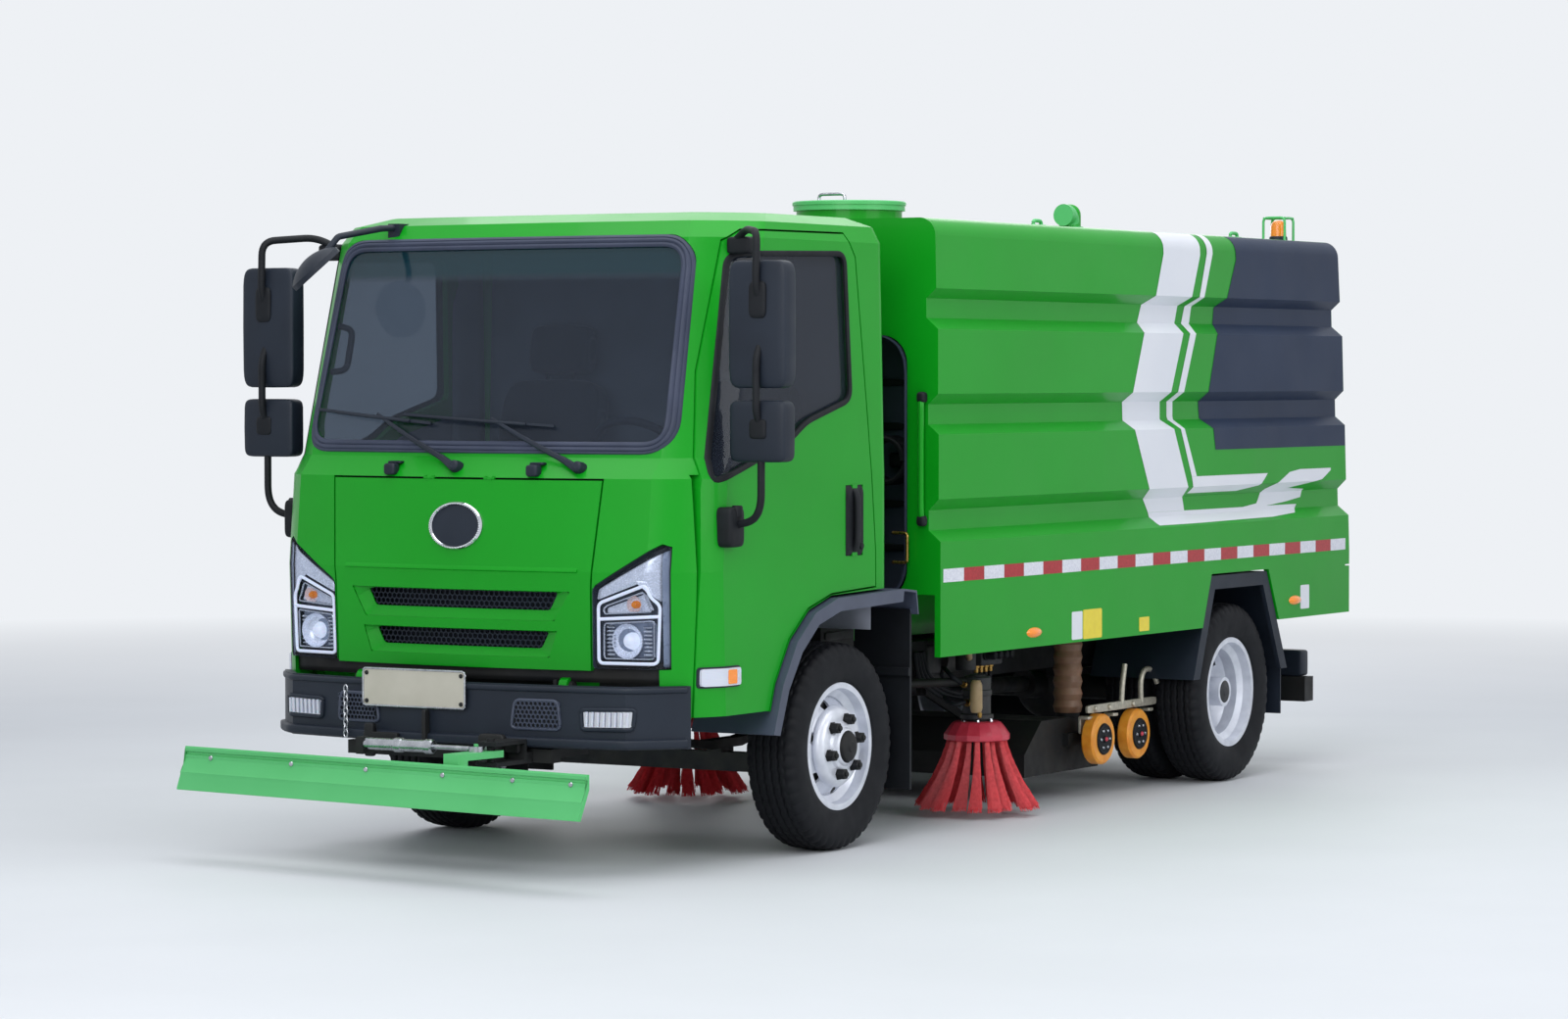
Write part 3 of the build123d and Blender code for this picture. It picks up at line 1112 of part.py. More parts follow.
with BuildPart() as cylinder_rod:
    rod(CYL_START + CYL_DIR * 125, CYL_START + CYL_DIR * (CYL_RUN.length - 25), 30)
    rod((-38, CYL_EYE[1], CYL_EYE[2]), (38, CYL_EYE[1], CYL_EYE[2]), 34)
    rod(
        (-CYL_LUG_X + FIT, CYL_EYE[1], CYL_EYE[2]), (CYL_LUG_X - FIT, CYL_EYE[1], CYL_EYE[2]), 16
    )
finish(cylinder_rod, "cylinder_rod")


# ---------------------------------------------------------------- rear guards, bumper, lamps
GUARD_WALL = 7
with BuildPart() as rear_guards:
    for side in (1, -1):
        x = 470 if side > 0 else -958
        prism(Plane.YZ.offset(x), REAR_GUARD, 488)
        prism(Plane.YZ.offset(x), REAR_GUARD, 488, mode=Mode.SUBTRACT, grow=-GUARD_WALL)
        lip = 940 if side > 0 else -958
        prism(Plane.YZ.offset(lip), REAR_GUARD, 18)
        prism(Plane.YZ.offset(lip), REAR_GUARD, 18, mode=Mode.SUBTRACT, grow=-58)
        block(
            (x - 1, REAR_AXLE_Y - 600, 380), (x + 489, REAR_AXLE_Y + 600, 462),
            mode=Mode.SUBTRACT,
        )
        # stay from the frame rail
        stay = sorted((side * (RAIL_OUTER_X + FIT), side * 480))
        block((stay[0], REAR_AXLE_Y + 300, 640), (stay[1], REAR_AXLE_Y + 420, 665))
        flap = sorted((side * 520, side * 930))
        block((flap[0], REAR_AXLE_Y + 474, 260), (flap[1], REAR_AXLE_Y + 482, 500))
finish(rear_guards, "rear_guards")

REAR_BUMPER_Y = FRONT_AXLE_Y + 4170
with BuildPart() as rear_bumper:
    block((-870, REAR_BUMPER_Y, 285), (870, REAR_BUMPER_Y + 90, 395))
    for side in (1, -1):
        drop = sorted((side * (RAIL_INNER_X + 8), side * (RAIL_OUTER_X - 8)))
        block((drop[0], REAR_BUMPER_Y + 10, 390), (drop[1], REAR_BUMPER_Y + 80, RAIL_BOTTOM - FIT))
finish(rear_bumper, "rear_bumper")

with BuildPart() as tail_lamps:
    for side in (1, -1):
        lamp = sorted((side * 560, side * 850))
        block((lamp[0], REAR_BUMPER_Y + 6, 395 + FIT), (lamp[1], REAR_BUMPER_Y + 84, 515))
finish(tail_lamps, "tail_lamps")

# ---------------------------------------------------------------- brackets for the tools
BRUSH_X = 680
BRUSH_Y = FRONT_AXLE_Y + 1440
ARM_PIVOT_X = 452
ARM_PIVOT_Y = FRONT_AXLE_Y + 1050
ARM_Z = 520
NOZZLE_PIVOT_Y = FRONT_AXLE_Y + 1760
NOZZLE_PIVOT_Z = 470
with BuildPart() as frame_brackets:
    # cab pivots on the outside of the rails' front ends
    for side in (1, -1):
        plate = sorted((side * (RAIL_OUTER_X + FIT), side * (RAIL_OUTER_X + 14)))
        block(
            (plate[0], CAB_PIVOT_Y - 30, CAB_PIVOT_Z - 50),
            (plate[1], RAIL_FRONT_Y + 140, RAIL_TOP),
        )
        pin = sorted((side * (RAIL_OUTER_X + FIT), side * (CAB_LUG_X + CAB_LUG_WIDTH + 14)))
        rod((pin[0], CAB_PIVOT_Y, CAB_PIVOT_Z), (pin[1], CAB_PIVOT_Y, CAB_PIVOT_Z), CAB_PIN_RADIUS)
    # ears of the hopper's hinge at the frame's tail
    for side in (1, -1):
        ear = sorted((side * (RAIL_INNER_X + 2), side * (RAIL_OUTER_X - 10)))
        block(
            (ear[0], HOPPER_HINGE_Y - 45, RAIL_TOP + FIT), (ear[1], HOPPER_HINGE_Y + 45, HOPPER_HINGE_Z + 40)
        )
    rod(
        (-RAIL_OUTER_X + 12, HOPPER_HINGE_Y, HOPPER_HINGE_Z),
        (RAIL_OUTER_X - 12, HOPPER_HINGE_Y, HOPPER_HINGE_Z), 22,
    )
    # cheeks of the tipping cylinder's lower pin
    for side in (1, -1):
        cheek = sorted((side * 36, side * 52))
        block(
            (cheek[0], CYL_LOW[1] - 30, 560), (cheek[1], FRONT_AXLE_Y + MEMBERS[3] - MEMBER_WIDTH / 2 - FIT, 640)
        )
    rod((-52, CYL_LOW[1], CYL_LOW[2]), (52, CYL_LOW[1], CYL_LOW[2]), 16)
    for side in (1, -1):
        # two cheeks on the outside of the rail carry the brush arm's pin
        cheek = sorted((side * (RAIL_OUTER_X + FIT), side * (ARM_PIVOT_X + 30)))
        for low in (ARM_Z - 26, ARM_Z + 36):
            block((cheek[0], ARM_PIVOT_Y - 30, low), (cheek[1], ARM_PIVOT_Y + 30, low + 12))
        web = sorted((side * (RAIL_OUTER_X + FIT), side * (RAIL_OUTER_X + 12)))
        block((web[0], ARM_PIVOT_Y - 30, ARM_Z - 26), (web[1], ARM_PIVOT_Y + 30, ARM_Z + 48))
        rod(
            (side * ARM_PIVOT_X, ARM_PIVOT_Y, ARM_Z - 34), (side * ARM_PIVOT_X, ARM_PIVOT_Y, ARM_Z + 56),
            12,
        )
        # hangers under the cross member carry the nozzle's drag arms
        for x in (240, 276):
            hanger = sorted((side * x, side * (x + 10)))
            block(
                (hanger[0], NOZZLE_PIVOT_Y - 28, NOZZLE_PIVOT_Z - 28),
                (hanger[1], NOZZLE_PIVOT_Y + 28, MEMBER_TOP - MEMBER_DEPTH - FIT),
            )
        pin = sorted((side * 232, side * 294))
        rod((pin[0], NOZZLE_PIVOT_Y, NOZZLE_PIVOT_Z), (pin[1], NOZZLE_PIVOT_Y, NOZZLE_PIVOT_Z), 12)
finish(frame_brackets, "frame_brackets")

# ---------------------------------------------------------------- side brushes
DISC_RADIUS = 140
DISC_LOW = 300
DISC_HIGH = 365
TIP_RADIUS = 262
TIP_Z = 32
TUFTS = 18
MOTOR_Z = 500
with BuildPart() as brush_arm_left:
    rod((ARM_PIVOT_X, ARM_PIVOT_Y, ARM_Z - 8), (ARM_PIVOT_X, ARM_PIVOT_Y, ARM_Z + 30), 26)
    rod((ARM_PIVOT_X, ARM_PIVOT_Y, ARM_Z + 11), (BRUSH_X, BRUSH_Y, ARM_Z + 11), 18)
    rod((BRUSH_X, BRUSH_Y, DISC_HIGH + 8), (BRUSH_X, BRUSH_Y, ARM_Z + 30), 52)
    rod(
        (ARM_PIVOT_X, ARM_PIVOT_Y, ARM_Z - 40), (ARM_PIVOT_X, ARM_PIVOT_Y, ARM_Z + 60),
        12 + PIN_FIT, mode=Mode.SUBTRACT,
    )
    rod((BRUSH_X, BRUSH_Y, DISC_LOW + 20), (BRUSH_X, BRUSH_Y, DISC_HIGH + 60), 16)
finish(brush_arm_left, "brush_arm_left")
brush_arm_right = mirrored(brush_arm_left)
finish(brush_arm_right, "brush_arm_right")

with BuildPart() as brush_left:
    with BuildSketch(Plane.XZ.offset(-BRUSH_Y)) as disc_section:
        with BuildLine():
            Polyline(
                (BRUSH_X, DISC_LOW), (BRUSH_X + DISC_RADIUS - 8, DISC_LOW),
                (BRUSH_X + DISC_RADIUS, DISC_LOW + 20), (BRUSH_X + 96, DISC_HIGH),
                (BRUSH_X, DISC_HIGH), close=True,
            )
        make_face()
    revolve(disc_section.sketch, axis=Axis((BRUSH_X, BRUSH_Y, 0), (0, 0, 1)))
    for turn in range(TUFTS):
        angle = math.radians(turn * 360 / TUFTS)
        out = Vector(math.cos(angle), math.sin(angle), 0)
        root = Vector(BRUSH_X, BRUSH_Y, DISC_LOW + 12) + out * (DISC_RADIUS - 26)
        tip = Vector(BRUSH_X, BRUSH_Y, TIP_Z) + out * TIP_RADIUS
        lean = tip - root
        tuft = Plane(origin=root, x_dir=out.cross(Vector(0, 0, 1)), z_dir=lean)
        with Locations(tuft):
            Cylinder(13, lean.length, align=(Align.CENTER, Align.CENTER, Align.MIN))
    rod(
        (BRUSH_X, BRUSH_Y, DISC_LOW - 5), (BRUSH_X, BRUSH_Y, DISC_HIGH + 5), 16 + PIN_FIT,
        mode=Mode.SUBTRACT,
    )
finish(brush_left, "brush_left")
brush_right = mirrored(brush_left)
finish(brush_right, "brush_right")

# ---------------------------------------------------------------- suction nozzle
NOZZLE_HALF = 650
NOZZLE_LOW = 108
NOZZLE_TOP = 330
NOZZLE_WHEEL_Z = 240
NOZZLE_WHEEL_R = 105
NOZZLE_WHEEL_WIDTH = 57
NOZZLE_WHEEL_X = 752
NOZZLE_WHEEL_Y = (FRONT_AXLE_Y + 2360, FRONT_AXLE_Y + 2690)
HOSE_X = 590
HOSE_Y = FRONT_AXLE_Y + 2400
HOSE_R = 62
with BuildPart() as suction_nozzle:
    prism(
        Plane.YZ.offset(-NOZZLE_HALF),
        from_axle(
            [
                (1900, NOZZLE_LOW), (2560, NOZZLE_LOW), (2560, 170), (2500, NOZZLE_TOP - 40),
                (2300, NOZZLE_TOP), (2050, NOZZLE_TOP), (1900, 200),
            ]
        ),
        2 * NOZZLE_HALF,
    )
    prism(
        Plane.YZ.offset(-NOZZLE_HALF + 12),
        from_axle(
            [
                (1912, NOZZLE_LOW - 5), (2548, NOZZLE_LOW - 5), (2548, 168),
                (2492, NOZZLE_TOP - 52), (2298, NOZZLE_TOP - 12), (2056, NOZZLE_TOP - 12), (1912, 196),
            ]
        ),
        2 * NOZZLE_HALF - 24, mode=Mode.SUBTRACT,
    )
    for side in (1, -1):
        beam = sorted((side * (NOZZLE_HALF - 4), side * (NOZZLE_HALF + 26)))
        block(
            (beam[0], FRONT_AXLE_Y + 2240, NOZZLE_WHEEL_Z - 25),
            (beam[1], FRONT_AXLE_Y + 2730, NOZZLE_WHEEL_Z + 25),
        )
        for y in NOZZLE_WHEEL_Y:
            rod(
                (side * (NOZZLE_HALF + 10), y, NOZZLE_WHEEL_Z),
                (side * (NOZZLE_WHEEL_X + 32), y, NOZZLE_WHEEL_Z), 12,
            )
        # drag arm from the nozzle to its pivot
        arm_line = [
            (NOZZLE_PIVOT_Y - 24, NOZZLE_PIVOT_Z + 16), (NOZZLE_PIVOT_Y + 24, NOZZLE_PIVOT_Z + 16),
            (FRONT_AXLE_Y + 2110, NOZZLE_TOP + 6), (FRONT_AXLE_Y + 2110, NOZZLE_TOP - 6),
            (FRONT_AXLE_Y + 2060, NOZZLE_TOP - 6), (NOZZLE_PIVOT_Y - 24, NOZZLE_PIVOT_Z - 20),
        ]
        arm_x = 255 if side > 0 else -271
        prism(Plane.YZ.offset(arm_x), arm_line, 16)
        rod(
            (side * 230, NOZZLE_PIVOT_Y, NOZZLE_PIVOT_Z), (side * 300, NOZZLE_PIVOT_Y, NOZZLE_PIVOT_Z),
            12 + PIN_FIT, mode=Mode.SUBTRACT,
        )
    rod((HOSE_X, HOSE_Y, NOZZLE_TOP - 40), (HOSE_X, HOSE_Y, NOZZLE_TOP + 40), HOSE_R - 12)
    rod((HOSE_X, HOSE_Y, NOZZLE_TOP - 60), (HOSE_X, HOSE_Y, NOZZLE_TOP + 50), HOSE_R - 20, mode=Mode.SUBTRACT)
finish(suction_nozzle, "suction_nozzle")

HOSE_RINGS = 11
HOSE_TOP = HOPPER_FLOOR_Z - 6
HOSE_LOW = NOZZLE_TOP + 12
with BuildPart() as suction_hose:
    pitch = (HOSE_TOP - HOSE_LOW) / HOSE_RINGS
    edge = [(HOSE_X + HOSE_R - 12 + FIT, HOSE_TOP), (HOSE_X + HOSE_R - 12 + FIT, HOSE_LOW)]
    for ring in range(HOSE_RINGS):
        z = HOSE_LOW + ring * pitch
        edge += [(HOSE_X + HOSE_R - 7, z), (HOSE_X + HOSE_R, z + pitch / 2)]
    edge += [(HOSE_X + HOSE_R - 7, HOSE_TOP)]
    with BuildSketch(Plane.XZ.offset(-HOSE_Y)) as hose_section:
        with BuildLine():
            Polyline(*edge, close=True)
        make_face()
    revolve(hose_section.sketch, axis=Axis((HOSE_X, HOSE_Y, 0), (0, 0, 1)))
finish(suction_hose, "suction_hose")

for side, name in ((1, "left"), (-1, "right")):
    for y, place in zip(NOZZLE_WHEEL_Y, ("front", "rear")):
        with BuildPart() as nozzle_wheel:
            centre = side * NOZZLE_WHEEL_X
            half = NOZZLE_WHEEL_WIDTH / 2
            section = [
                (centre - half, 12 + PIN_FIT), (centre - half, NOZZLE_WHEEL_R - 8),
                (centre - half + 8, NOZZLE_WHEEL_R), (centre + half - 8, NOZZLE_WHEEL_R),
                (centre + half, NOZZLE_WHEEL_R - 8), (centre + half, 12 + PIN_FIT),
            ]
            with BuildSketch(Plane.XZ.offset(-y)) as wheel_section:
                with BuildLine():
                    Polyline(*[(x, NOZZLE_WHEEL_Z + r) for x, r in section], close=True)
                make_face()
            revolve(wheel_section.sketch, axis=Axis((centre, y, NOZZLE_WHEEL_Z), (1, 0, 0)))
        finish(nozzle_wheel, f"nozzle_wheel_{name}_{place}")

# ---------------------------------------------------------------- front mirror
FRONT_MIRROR_X = CAB_HALF_WIDTH - 252
FRONT_MIRROR_R = 108
MIRROR_DOME = (FRONT_MIRROR_R ** 2 + 42 ** 2) / 84      # radius of the housing's dome, 42 deep
with BuildPart() as front_mirror:
    tube(
        (
            (-FRONT_MIRROR_X + 145, FRONT_AXLE_Y - 780, 2290),
            (-FRONT_MIRROR_X + 128, FRONT_AXLE_Y - 870, 2285),
            (-FRONT_MIRROR_X + 52, FRONT_AXLE_Y - 1030, 2252),
            (-FRONT_MIRROR_X + 20, FRONT_AXLE_Y - 1090, 2172),
        ),
        12, 30,
    )
    # a domed housing whose glass looks down at the road before the bumper
    head = Plane(
        origin=(-FRONT_MIRROR_X, FRONT_AXLE_Y - 1100, 2138), x_dir=(0.598, 0.430, 0.676),
        z_dir=(-0.53, -0.42, 0.736),
    )
    with BuildSketch(Plane(origin=head.origin, x_dir=head.x_dir, z_dir=-head.y_dir)) as dome:
        with BuildLine():
            Line((0, -16), (FRONT_MIRROR_R, -16))
            Line((FRONT_MIRROR_R, -16), (FRONT_MIRROR_R, 4))
            RadiusArc((FRONT_MIRROR_R, 4), (0, 46), -MIRROR_DOME)
            Line((0, 46), (0, -16))
        make_face()
    revolve(dome.sketch, axis=Axis(head.origin, head.z_dir))
    block(
        (-FRONT_MIRROR_X + 118, FRONT_AXLE_Y - 812, 2240),
        (-FRONT_MIRROR_X + 168, FRONT_AXLE_Y - 752, 2304),
    )
    cab_form(-FIT, mode=Mode.SUBTRACT)
finish(front_mirror, "front_mirror")
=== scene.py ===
import json

import bmesh
import bpy
import numpy as np
from mathutils import Matrix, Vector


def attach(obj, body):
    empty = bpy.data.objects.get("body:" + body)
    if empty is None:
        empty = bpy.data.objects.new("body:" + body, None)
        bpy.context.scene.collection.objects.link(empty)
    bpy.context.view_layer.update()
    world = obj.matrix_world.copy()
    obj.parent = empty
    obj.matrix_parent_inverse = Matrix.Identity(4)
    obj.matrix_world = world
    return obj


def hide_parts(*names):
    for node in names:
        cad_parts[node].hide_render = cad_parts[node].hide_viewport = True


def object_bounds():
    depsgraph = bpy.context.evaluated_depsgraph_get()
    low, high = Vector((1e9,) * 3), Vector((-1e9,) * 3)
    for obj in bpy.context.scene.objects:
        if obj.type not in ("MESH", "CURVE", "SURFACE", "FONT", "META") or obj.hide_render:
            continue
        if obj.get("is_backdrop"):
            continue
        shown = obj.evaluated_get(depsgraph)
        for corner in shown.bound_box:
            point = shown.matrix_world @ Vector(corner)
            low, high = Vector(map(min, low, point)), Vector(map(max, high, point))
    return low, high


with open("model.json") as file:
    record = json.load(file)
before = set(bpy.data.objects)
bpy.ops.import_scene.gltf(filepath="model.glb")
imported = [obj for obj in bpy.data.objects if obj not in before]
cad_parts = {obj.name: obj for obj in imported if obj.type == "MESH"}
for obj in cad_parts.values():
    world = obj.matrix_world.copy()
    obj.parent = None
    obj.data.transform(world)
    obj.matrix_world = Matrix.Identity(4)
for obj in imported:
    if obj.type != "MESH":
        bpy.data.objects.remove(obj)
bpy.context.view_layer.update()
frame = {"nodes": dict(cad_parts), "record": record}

# Street sweeper: the finish, the fittings and the studio, in metres. Front is -Y, the
# vehicle's left is +X, and the ground is z = 0.

# ---------------------------------------------------------------- camera
LOOK_FROM = (9.1163, -15.4733, 1.7459)
LOOK_TURN, LOOK_RISE, LOOK_ROLL = np.radians([30.9501, -1.7216, -0.0158])
ahead = np.array([
    -np.sin(LOOK_TURN) * np.cos(LOOK_RISE), np.cos(LOOK_TURN) * np.cos(LOOK_RISE),
    np.sin(LOOK_RISE),
])
level = np.cross(ahead, (0, 0, 1))
level = level / np.linalg.norm(level)
upright = np.cross(level, ahead)
right = np.cos(LOOK_ROLL) * level + np.sin(LOOK_ROLL) * upright
upright = np.cos(LOOK_ROLL) * upright - np.sin(LOOK_ROLL) * level
eye = bpy.data.cameras.new("main_camera")
eye.sensor_width = 36
eye.lens = 102.24
eye.clip_end = 200               # well past the far end of the floor
camera = bpy.data.objects.new("main_camera", eye)
camera.matrix_world = Matrix.Translation(LOOK_FROM) @ Matrix(
    np.stack([right, upright, -ahead], axis=1).tolist()
).to_4x4()
bpy.context.scene.collection.objects.link(camera)
bpy.context.scene.camera = camera
bpy.context.scene.view_settings.view_transform = "Standard"


# ---------------------------------------------------------------- shader helpers
def linear(code):
    """A colour code such as 1c8a2c, as the linear red, green, blue and alpha it stands for."""
    c = np.array([int(code[i:i + 2], 16) for i in (0, 2, 4)]) / 255
    c = np.where(c <= 0.04045, c / 12.92, ((c + 0.055) / 1.055) ** 2.4)
    return (*c.tolist(), 1.0)


def add(tree, kind, inputs=None, **settings):
    """Adds one shader node. An input is a plain value or the output of another node."""
    node = tree.nodes.new(kind)
    for name, value in settings.items():
        setattr(node, name, value)
    for name, value in (inputs or {}).items():
        if isinstance(value, bpy.types.NodeSocket):
            tree.links.new(value, node.inputs[name])
        else:
            node.inputs[name].default_value = value
    return node


def new_finish(name, **values):
    """A new material with its uniform values set: its tree, its shader, and places in metres."""
    material = bpy.data.materials.new(name)
    material.use_nodes = True
    tree = material.node_tree
    surface = tree.nodes["Principled BSDF"]
    for socket, value in values.items():
        surface.inputs[socket.replace("_", " ")].default_value = value
    place = add(tree, "ShaderNodeTexCoord").outputs["Object"]
    return material, tree, surface, place


def clouds(tree, place, size_mm, detail=2.0):
    """Soft blotches of about this size, as a value from 0 to 1."""
    return add(
        tree, "ShaderNodeTexNoise", {"Vector": place, "Scale": 1000 / size_mm, "Detail": detail}
    ).outputs[0]


def between(tree, amount, low, high):
    """A value that runs from low to high as amount runs from 0.3 to 0.7."""
    return add(
        tree, "ShaderNodeMapRange",
        {"Value": amount, "From Min": 0.3, "From Max": 0.7, "To Min": low, "To Max": high},
    ).outputs[0]


def mixed(tree, amount, first, second):
    """A colour part of the way from the first to the second."""
    return add(
        tree, "ShaderNodeMix", {0: amount, 6: first, 7: second}, data_type="RGBA"
    ).outputs[2]


def sums(tree, operation, *values):
    """One step of arithmetic on one or two values."""
    return add(tree, "ShaderNodeMath", dict(enumerate(values)), operation=operation).outputs[0]


def relief(tree, height, depth_mm, under=None):
    """Raises the surface by a height of 0 to 1 times a depth in millimetres."""
    inputs = {"Height": height, "Distance": depth_mm / 1000}
    if under:
        inputs["Normal"] = under
    return add(tree, "ShaderNodeBump", inputs).outputs[0]


def plain_finish(name, colour, other, rough, vary, blotch_mm, grain_mm, grain_depth, **values):
    """A finish whose colour and roughness drift over blotches and whose surface has a fine grain."""
    material, tree, surface, place = new_finish(name, **values)
    drift = clouds(tree, place, blotch_mm, 4)
    tree.links.new(
        mixed(tree, between(tree, drift, 0, 1), linear(colour), linear(other)),
        surface.inputs["Base Color"],
    )
    tree.links.new(
        between(tree, clouds(tree, place, blotch_mm * 0.4, 5), rough - vary, rough + vary),
        surface.inputs["Roughness"],
    )
    tree.links.new(
        relief(tree, clouds(tree, place, grain_mm, 3), grain_depth), surface.inputs["Normal"]
    )
    return material


# ---------------------------------------------------------------- materials
# Two-pack body paint under clear lacquer: sprayed, so it has a faint orange peel of about
# 6 mm and soft bright reflections over a deep green.
GREEN_PAINT = plain_finish(
    "green_body_paint", "079519", "068e14", 0.38, 0.03, 700, 6, 0.012,
    Coat_Weight=0.12, Coat_Roughness=0.07, Specular_IOR_Level=0.22,
)
# The same paint in the paler green of the deflector bar and the fittings on the roof.
PALE_PAINT = plain_finish(
    "pale_green_paint", "5cbc74", "54b46b", 0.42, 0.04, 400, 6, 0.012,
    Coat_Weight=0.1, Coat_Roughness=0.12, Specular_IOR_Level=0.25,
)
# Cast vinyl film in white: flat, cleaner and a little duller than the paint round it.
WHITE_FILM = plain_finish(
    "white_vinyl_film", "e2e4ea", "dcdfe6", 0.4, 0.03, 500, 3, 0.006, Specular_IOR_Level=0.25,
)
# Cast vinyl film in slate blue.
SLATE_FILM = plain_finish(
    "slate_vinyl_film", "25324a", "222e44", 0.42, 0.03, 500, 3, 0.006, Specular_IOR_Level=0.15,
)
# Powder coat on the frame and brackets: semi-matt black with dust in its pores.
FRAME_COAT = plain_finish(
    "black_powder_coat", "101317", "1d1d1c", 0.6, 0.1, 160, 1.5, 0.05, Specular_IOR_Level=0.3,
)
# Moulded polypropylene: dark blue-grey, with the fine leather grain of its mould.
MOULDED_PLASTIC = plain_finish(
    "moulded_plastic", "181f2a", "1e2632", 0.5, 0.05, 260, 1.8, 0.06, Specular_IOR_Level=0.28,
)
# Moulded rubber of seals and mud flaps: matt, slightly bloomed to grey.
SEAL_RUBBER = plain_finish(
    "seal_rubber", "303749", "3a4155", 0.6, 0.06, 180, 2.2, 0.04, Specular_IOR_Level=0.35,
)
# Extruded rubber of the door windows' trim: black and closer to matt.
TRIM_RUBBER = plain_finish(
    "trim_rubber", "0b0e13", "12161c", 0.62, 0.06, 120, 2.2, 0.04, Specular_IOR_Level=0.25,
)
# Moulded plastic of the wheel-arch flares: blue-grey, drifting in blotches to a paler, sun-bleached tone.
FLARE_PLASTIC = plain_finish("flare_plastic", "3a4152", "444b5d", 0.42, 0.06, 200, 1.8, 0.05)
# Hot-dip zinc on the nozzle's carrying bar: pale, with large dull spangles.
ZINC_COAT = plain_finish(
    "hot_dip_zinc", "c9c4b4", "aaa698", 0.45, 0.12, 14, 1.5, 0.03, Metallic=0.5,
)
# Natural and carbon-black rubber of the tyres: near black, with faint dusty blotches.
TYRE_RUBBER = plain_finish(
    "tyre_rubber", "0a0c11", "101217", 0.68, 0.06, 160, 2.5, 0.05, Specular_IOR_Level=0.22,
)
# Silver wheel enamel: aluminium flake in lacquer, so it is bright but not a mirror.
WHEEL_ENAMEL = plain_finish(
    "silver_wheel_enamel", "e2e5ee", "ccd0da", 0.36, 0.07, 60, 1.2, 0.02,
    Metallic=0.35, Coat_Weight=0.2,
)
# Turned and ground steel of rods and pins, with fine lapping marks.
GROUND_STEEL = plain_finish(
    "ground_steel", "b9bcc1", "9a9da3", 0.24, 0.08, 30, 0.8, 0.02, Metallic=1.0,
)
# Bright chromium plate on the badge disc and the lamp reflectors.
CHROME = plain_finish(
    "chromium_plate", "d8dbe0", "c9ccd2", 0.08, 0.03, 50, 4, 0.01, Metallic=1.0,
)
# Sand-cast iron of axles and motor housings, painted grey: coarse sand texture.
CAST_IRON = plain_finish(
    "painted_cast_iron", "2b2e33", "3a3936", 0.6, 0.1, 90, 2.5, 0.25, Metallic=0.2,
)
# Polyurethane tread of the nozzle's wheels: translucent orange, waxy.
ORANGE_TREAD = plain_finish(
    "polyurethane_tread", "f2a436", "e08a22", 0.42, 0.08, 40, 2, 0.05,
    Subsurface_Weight=0.15, Subsurface_Scale=0.01,
)
# Drawn polypropylene bristles in red: waxy, each with its own tone.
RED_BRISTLE = plain_finish(
    "polypropylene_bristle", "c91f2e", "e23f46", 0.42, 0.1, 14, 1, 0.02,
    Subsurface_Weight=0.1, Subsurface_Scale=0.004,
)
# Sprayed steel of the brush's cover plate, in red.
RED_PAINT = plain_finish(
    "red_machine_paint", "c02a40", "cf4054", 0.4, 0.05, 60, 3, 0.02, Coat_Weight=0.15,
)
# Wire-reinforced hose wall: tan thermoplastic with a dull sheen.
TAN_HOSE = plain_finish(
    "tan_hose_wall", "7a5a45", "8c6a52", 0.5, 0.08, 40, 2, 0.1, Subsurface_Weight=0.1,
)
# Cream enamel on the brush motors.
CREAM_PAINT = plain_finish(
    "cream_motor_enamel", "b39a72", "9c855f", 0.45, 0.08, 45, 3, 0.03,
)
# Sand-blasted anodised plate of the blank number plate.
BLANK_PLATE = plain_finish(
    "blank_plate_enamel", "bdb9ab", "b2ae9f", 0.35, 0.05, 120, 2, 0.01, Coat_Weight=0.3,
)
# Blank label stock in yellow and in white.
YELLOW_LABEL = plain_finish(
    "yellow_label_film", "e8d41a", "e0ca14", 0.35, 0.04, 30, 2, 0.005, Coat_Weight=0.3,
)
# Lamp parts in vacuum-metallised plastic: bright silver, a little dull from behind the cover.
BRIGHT_TRIM = plain_finish(
    "metallised_lamp_trim", "eceff7", "cfd4df", 0.25, 0.1, 16, 5, 0.05, Metallic=0.35,
    # the faint emission is a painted glow: it stands in for the light that the silver reflects
    Emission_Color=linear("cfd6e4"), Emission_Strength=0.18,
)
# Lamp bezel in satin blue-grey lacquer.
BLUE_TRIM = plain_finish(
    "satin_lamp_bezel", "8d97a9", "a0aabb", 0.3, 0.05, 60, 3, 0.01, Metallic=0.2,
)
# Dark moulded tray behind the lamp's parts.
LAMP_TRAY = plain_finish("lamp_tray_plastic", "2c323d", "38404c", 0.4, 0.05, 60, 2, 0.03)
# Turned brass of hose fittings and valve blocks.
BRASS = plain_finish("turned_brass", "b08d4f", "96763f", 0.3, 0.08, 20, 1, 0.02, Metallic=1.0)


BAND_CLEAR = 0.30                # share of the light that the sun band lets through


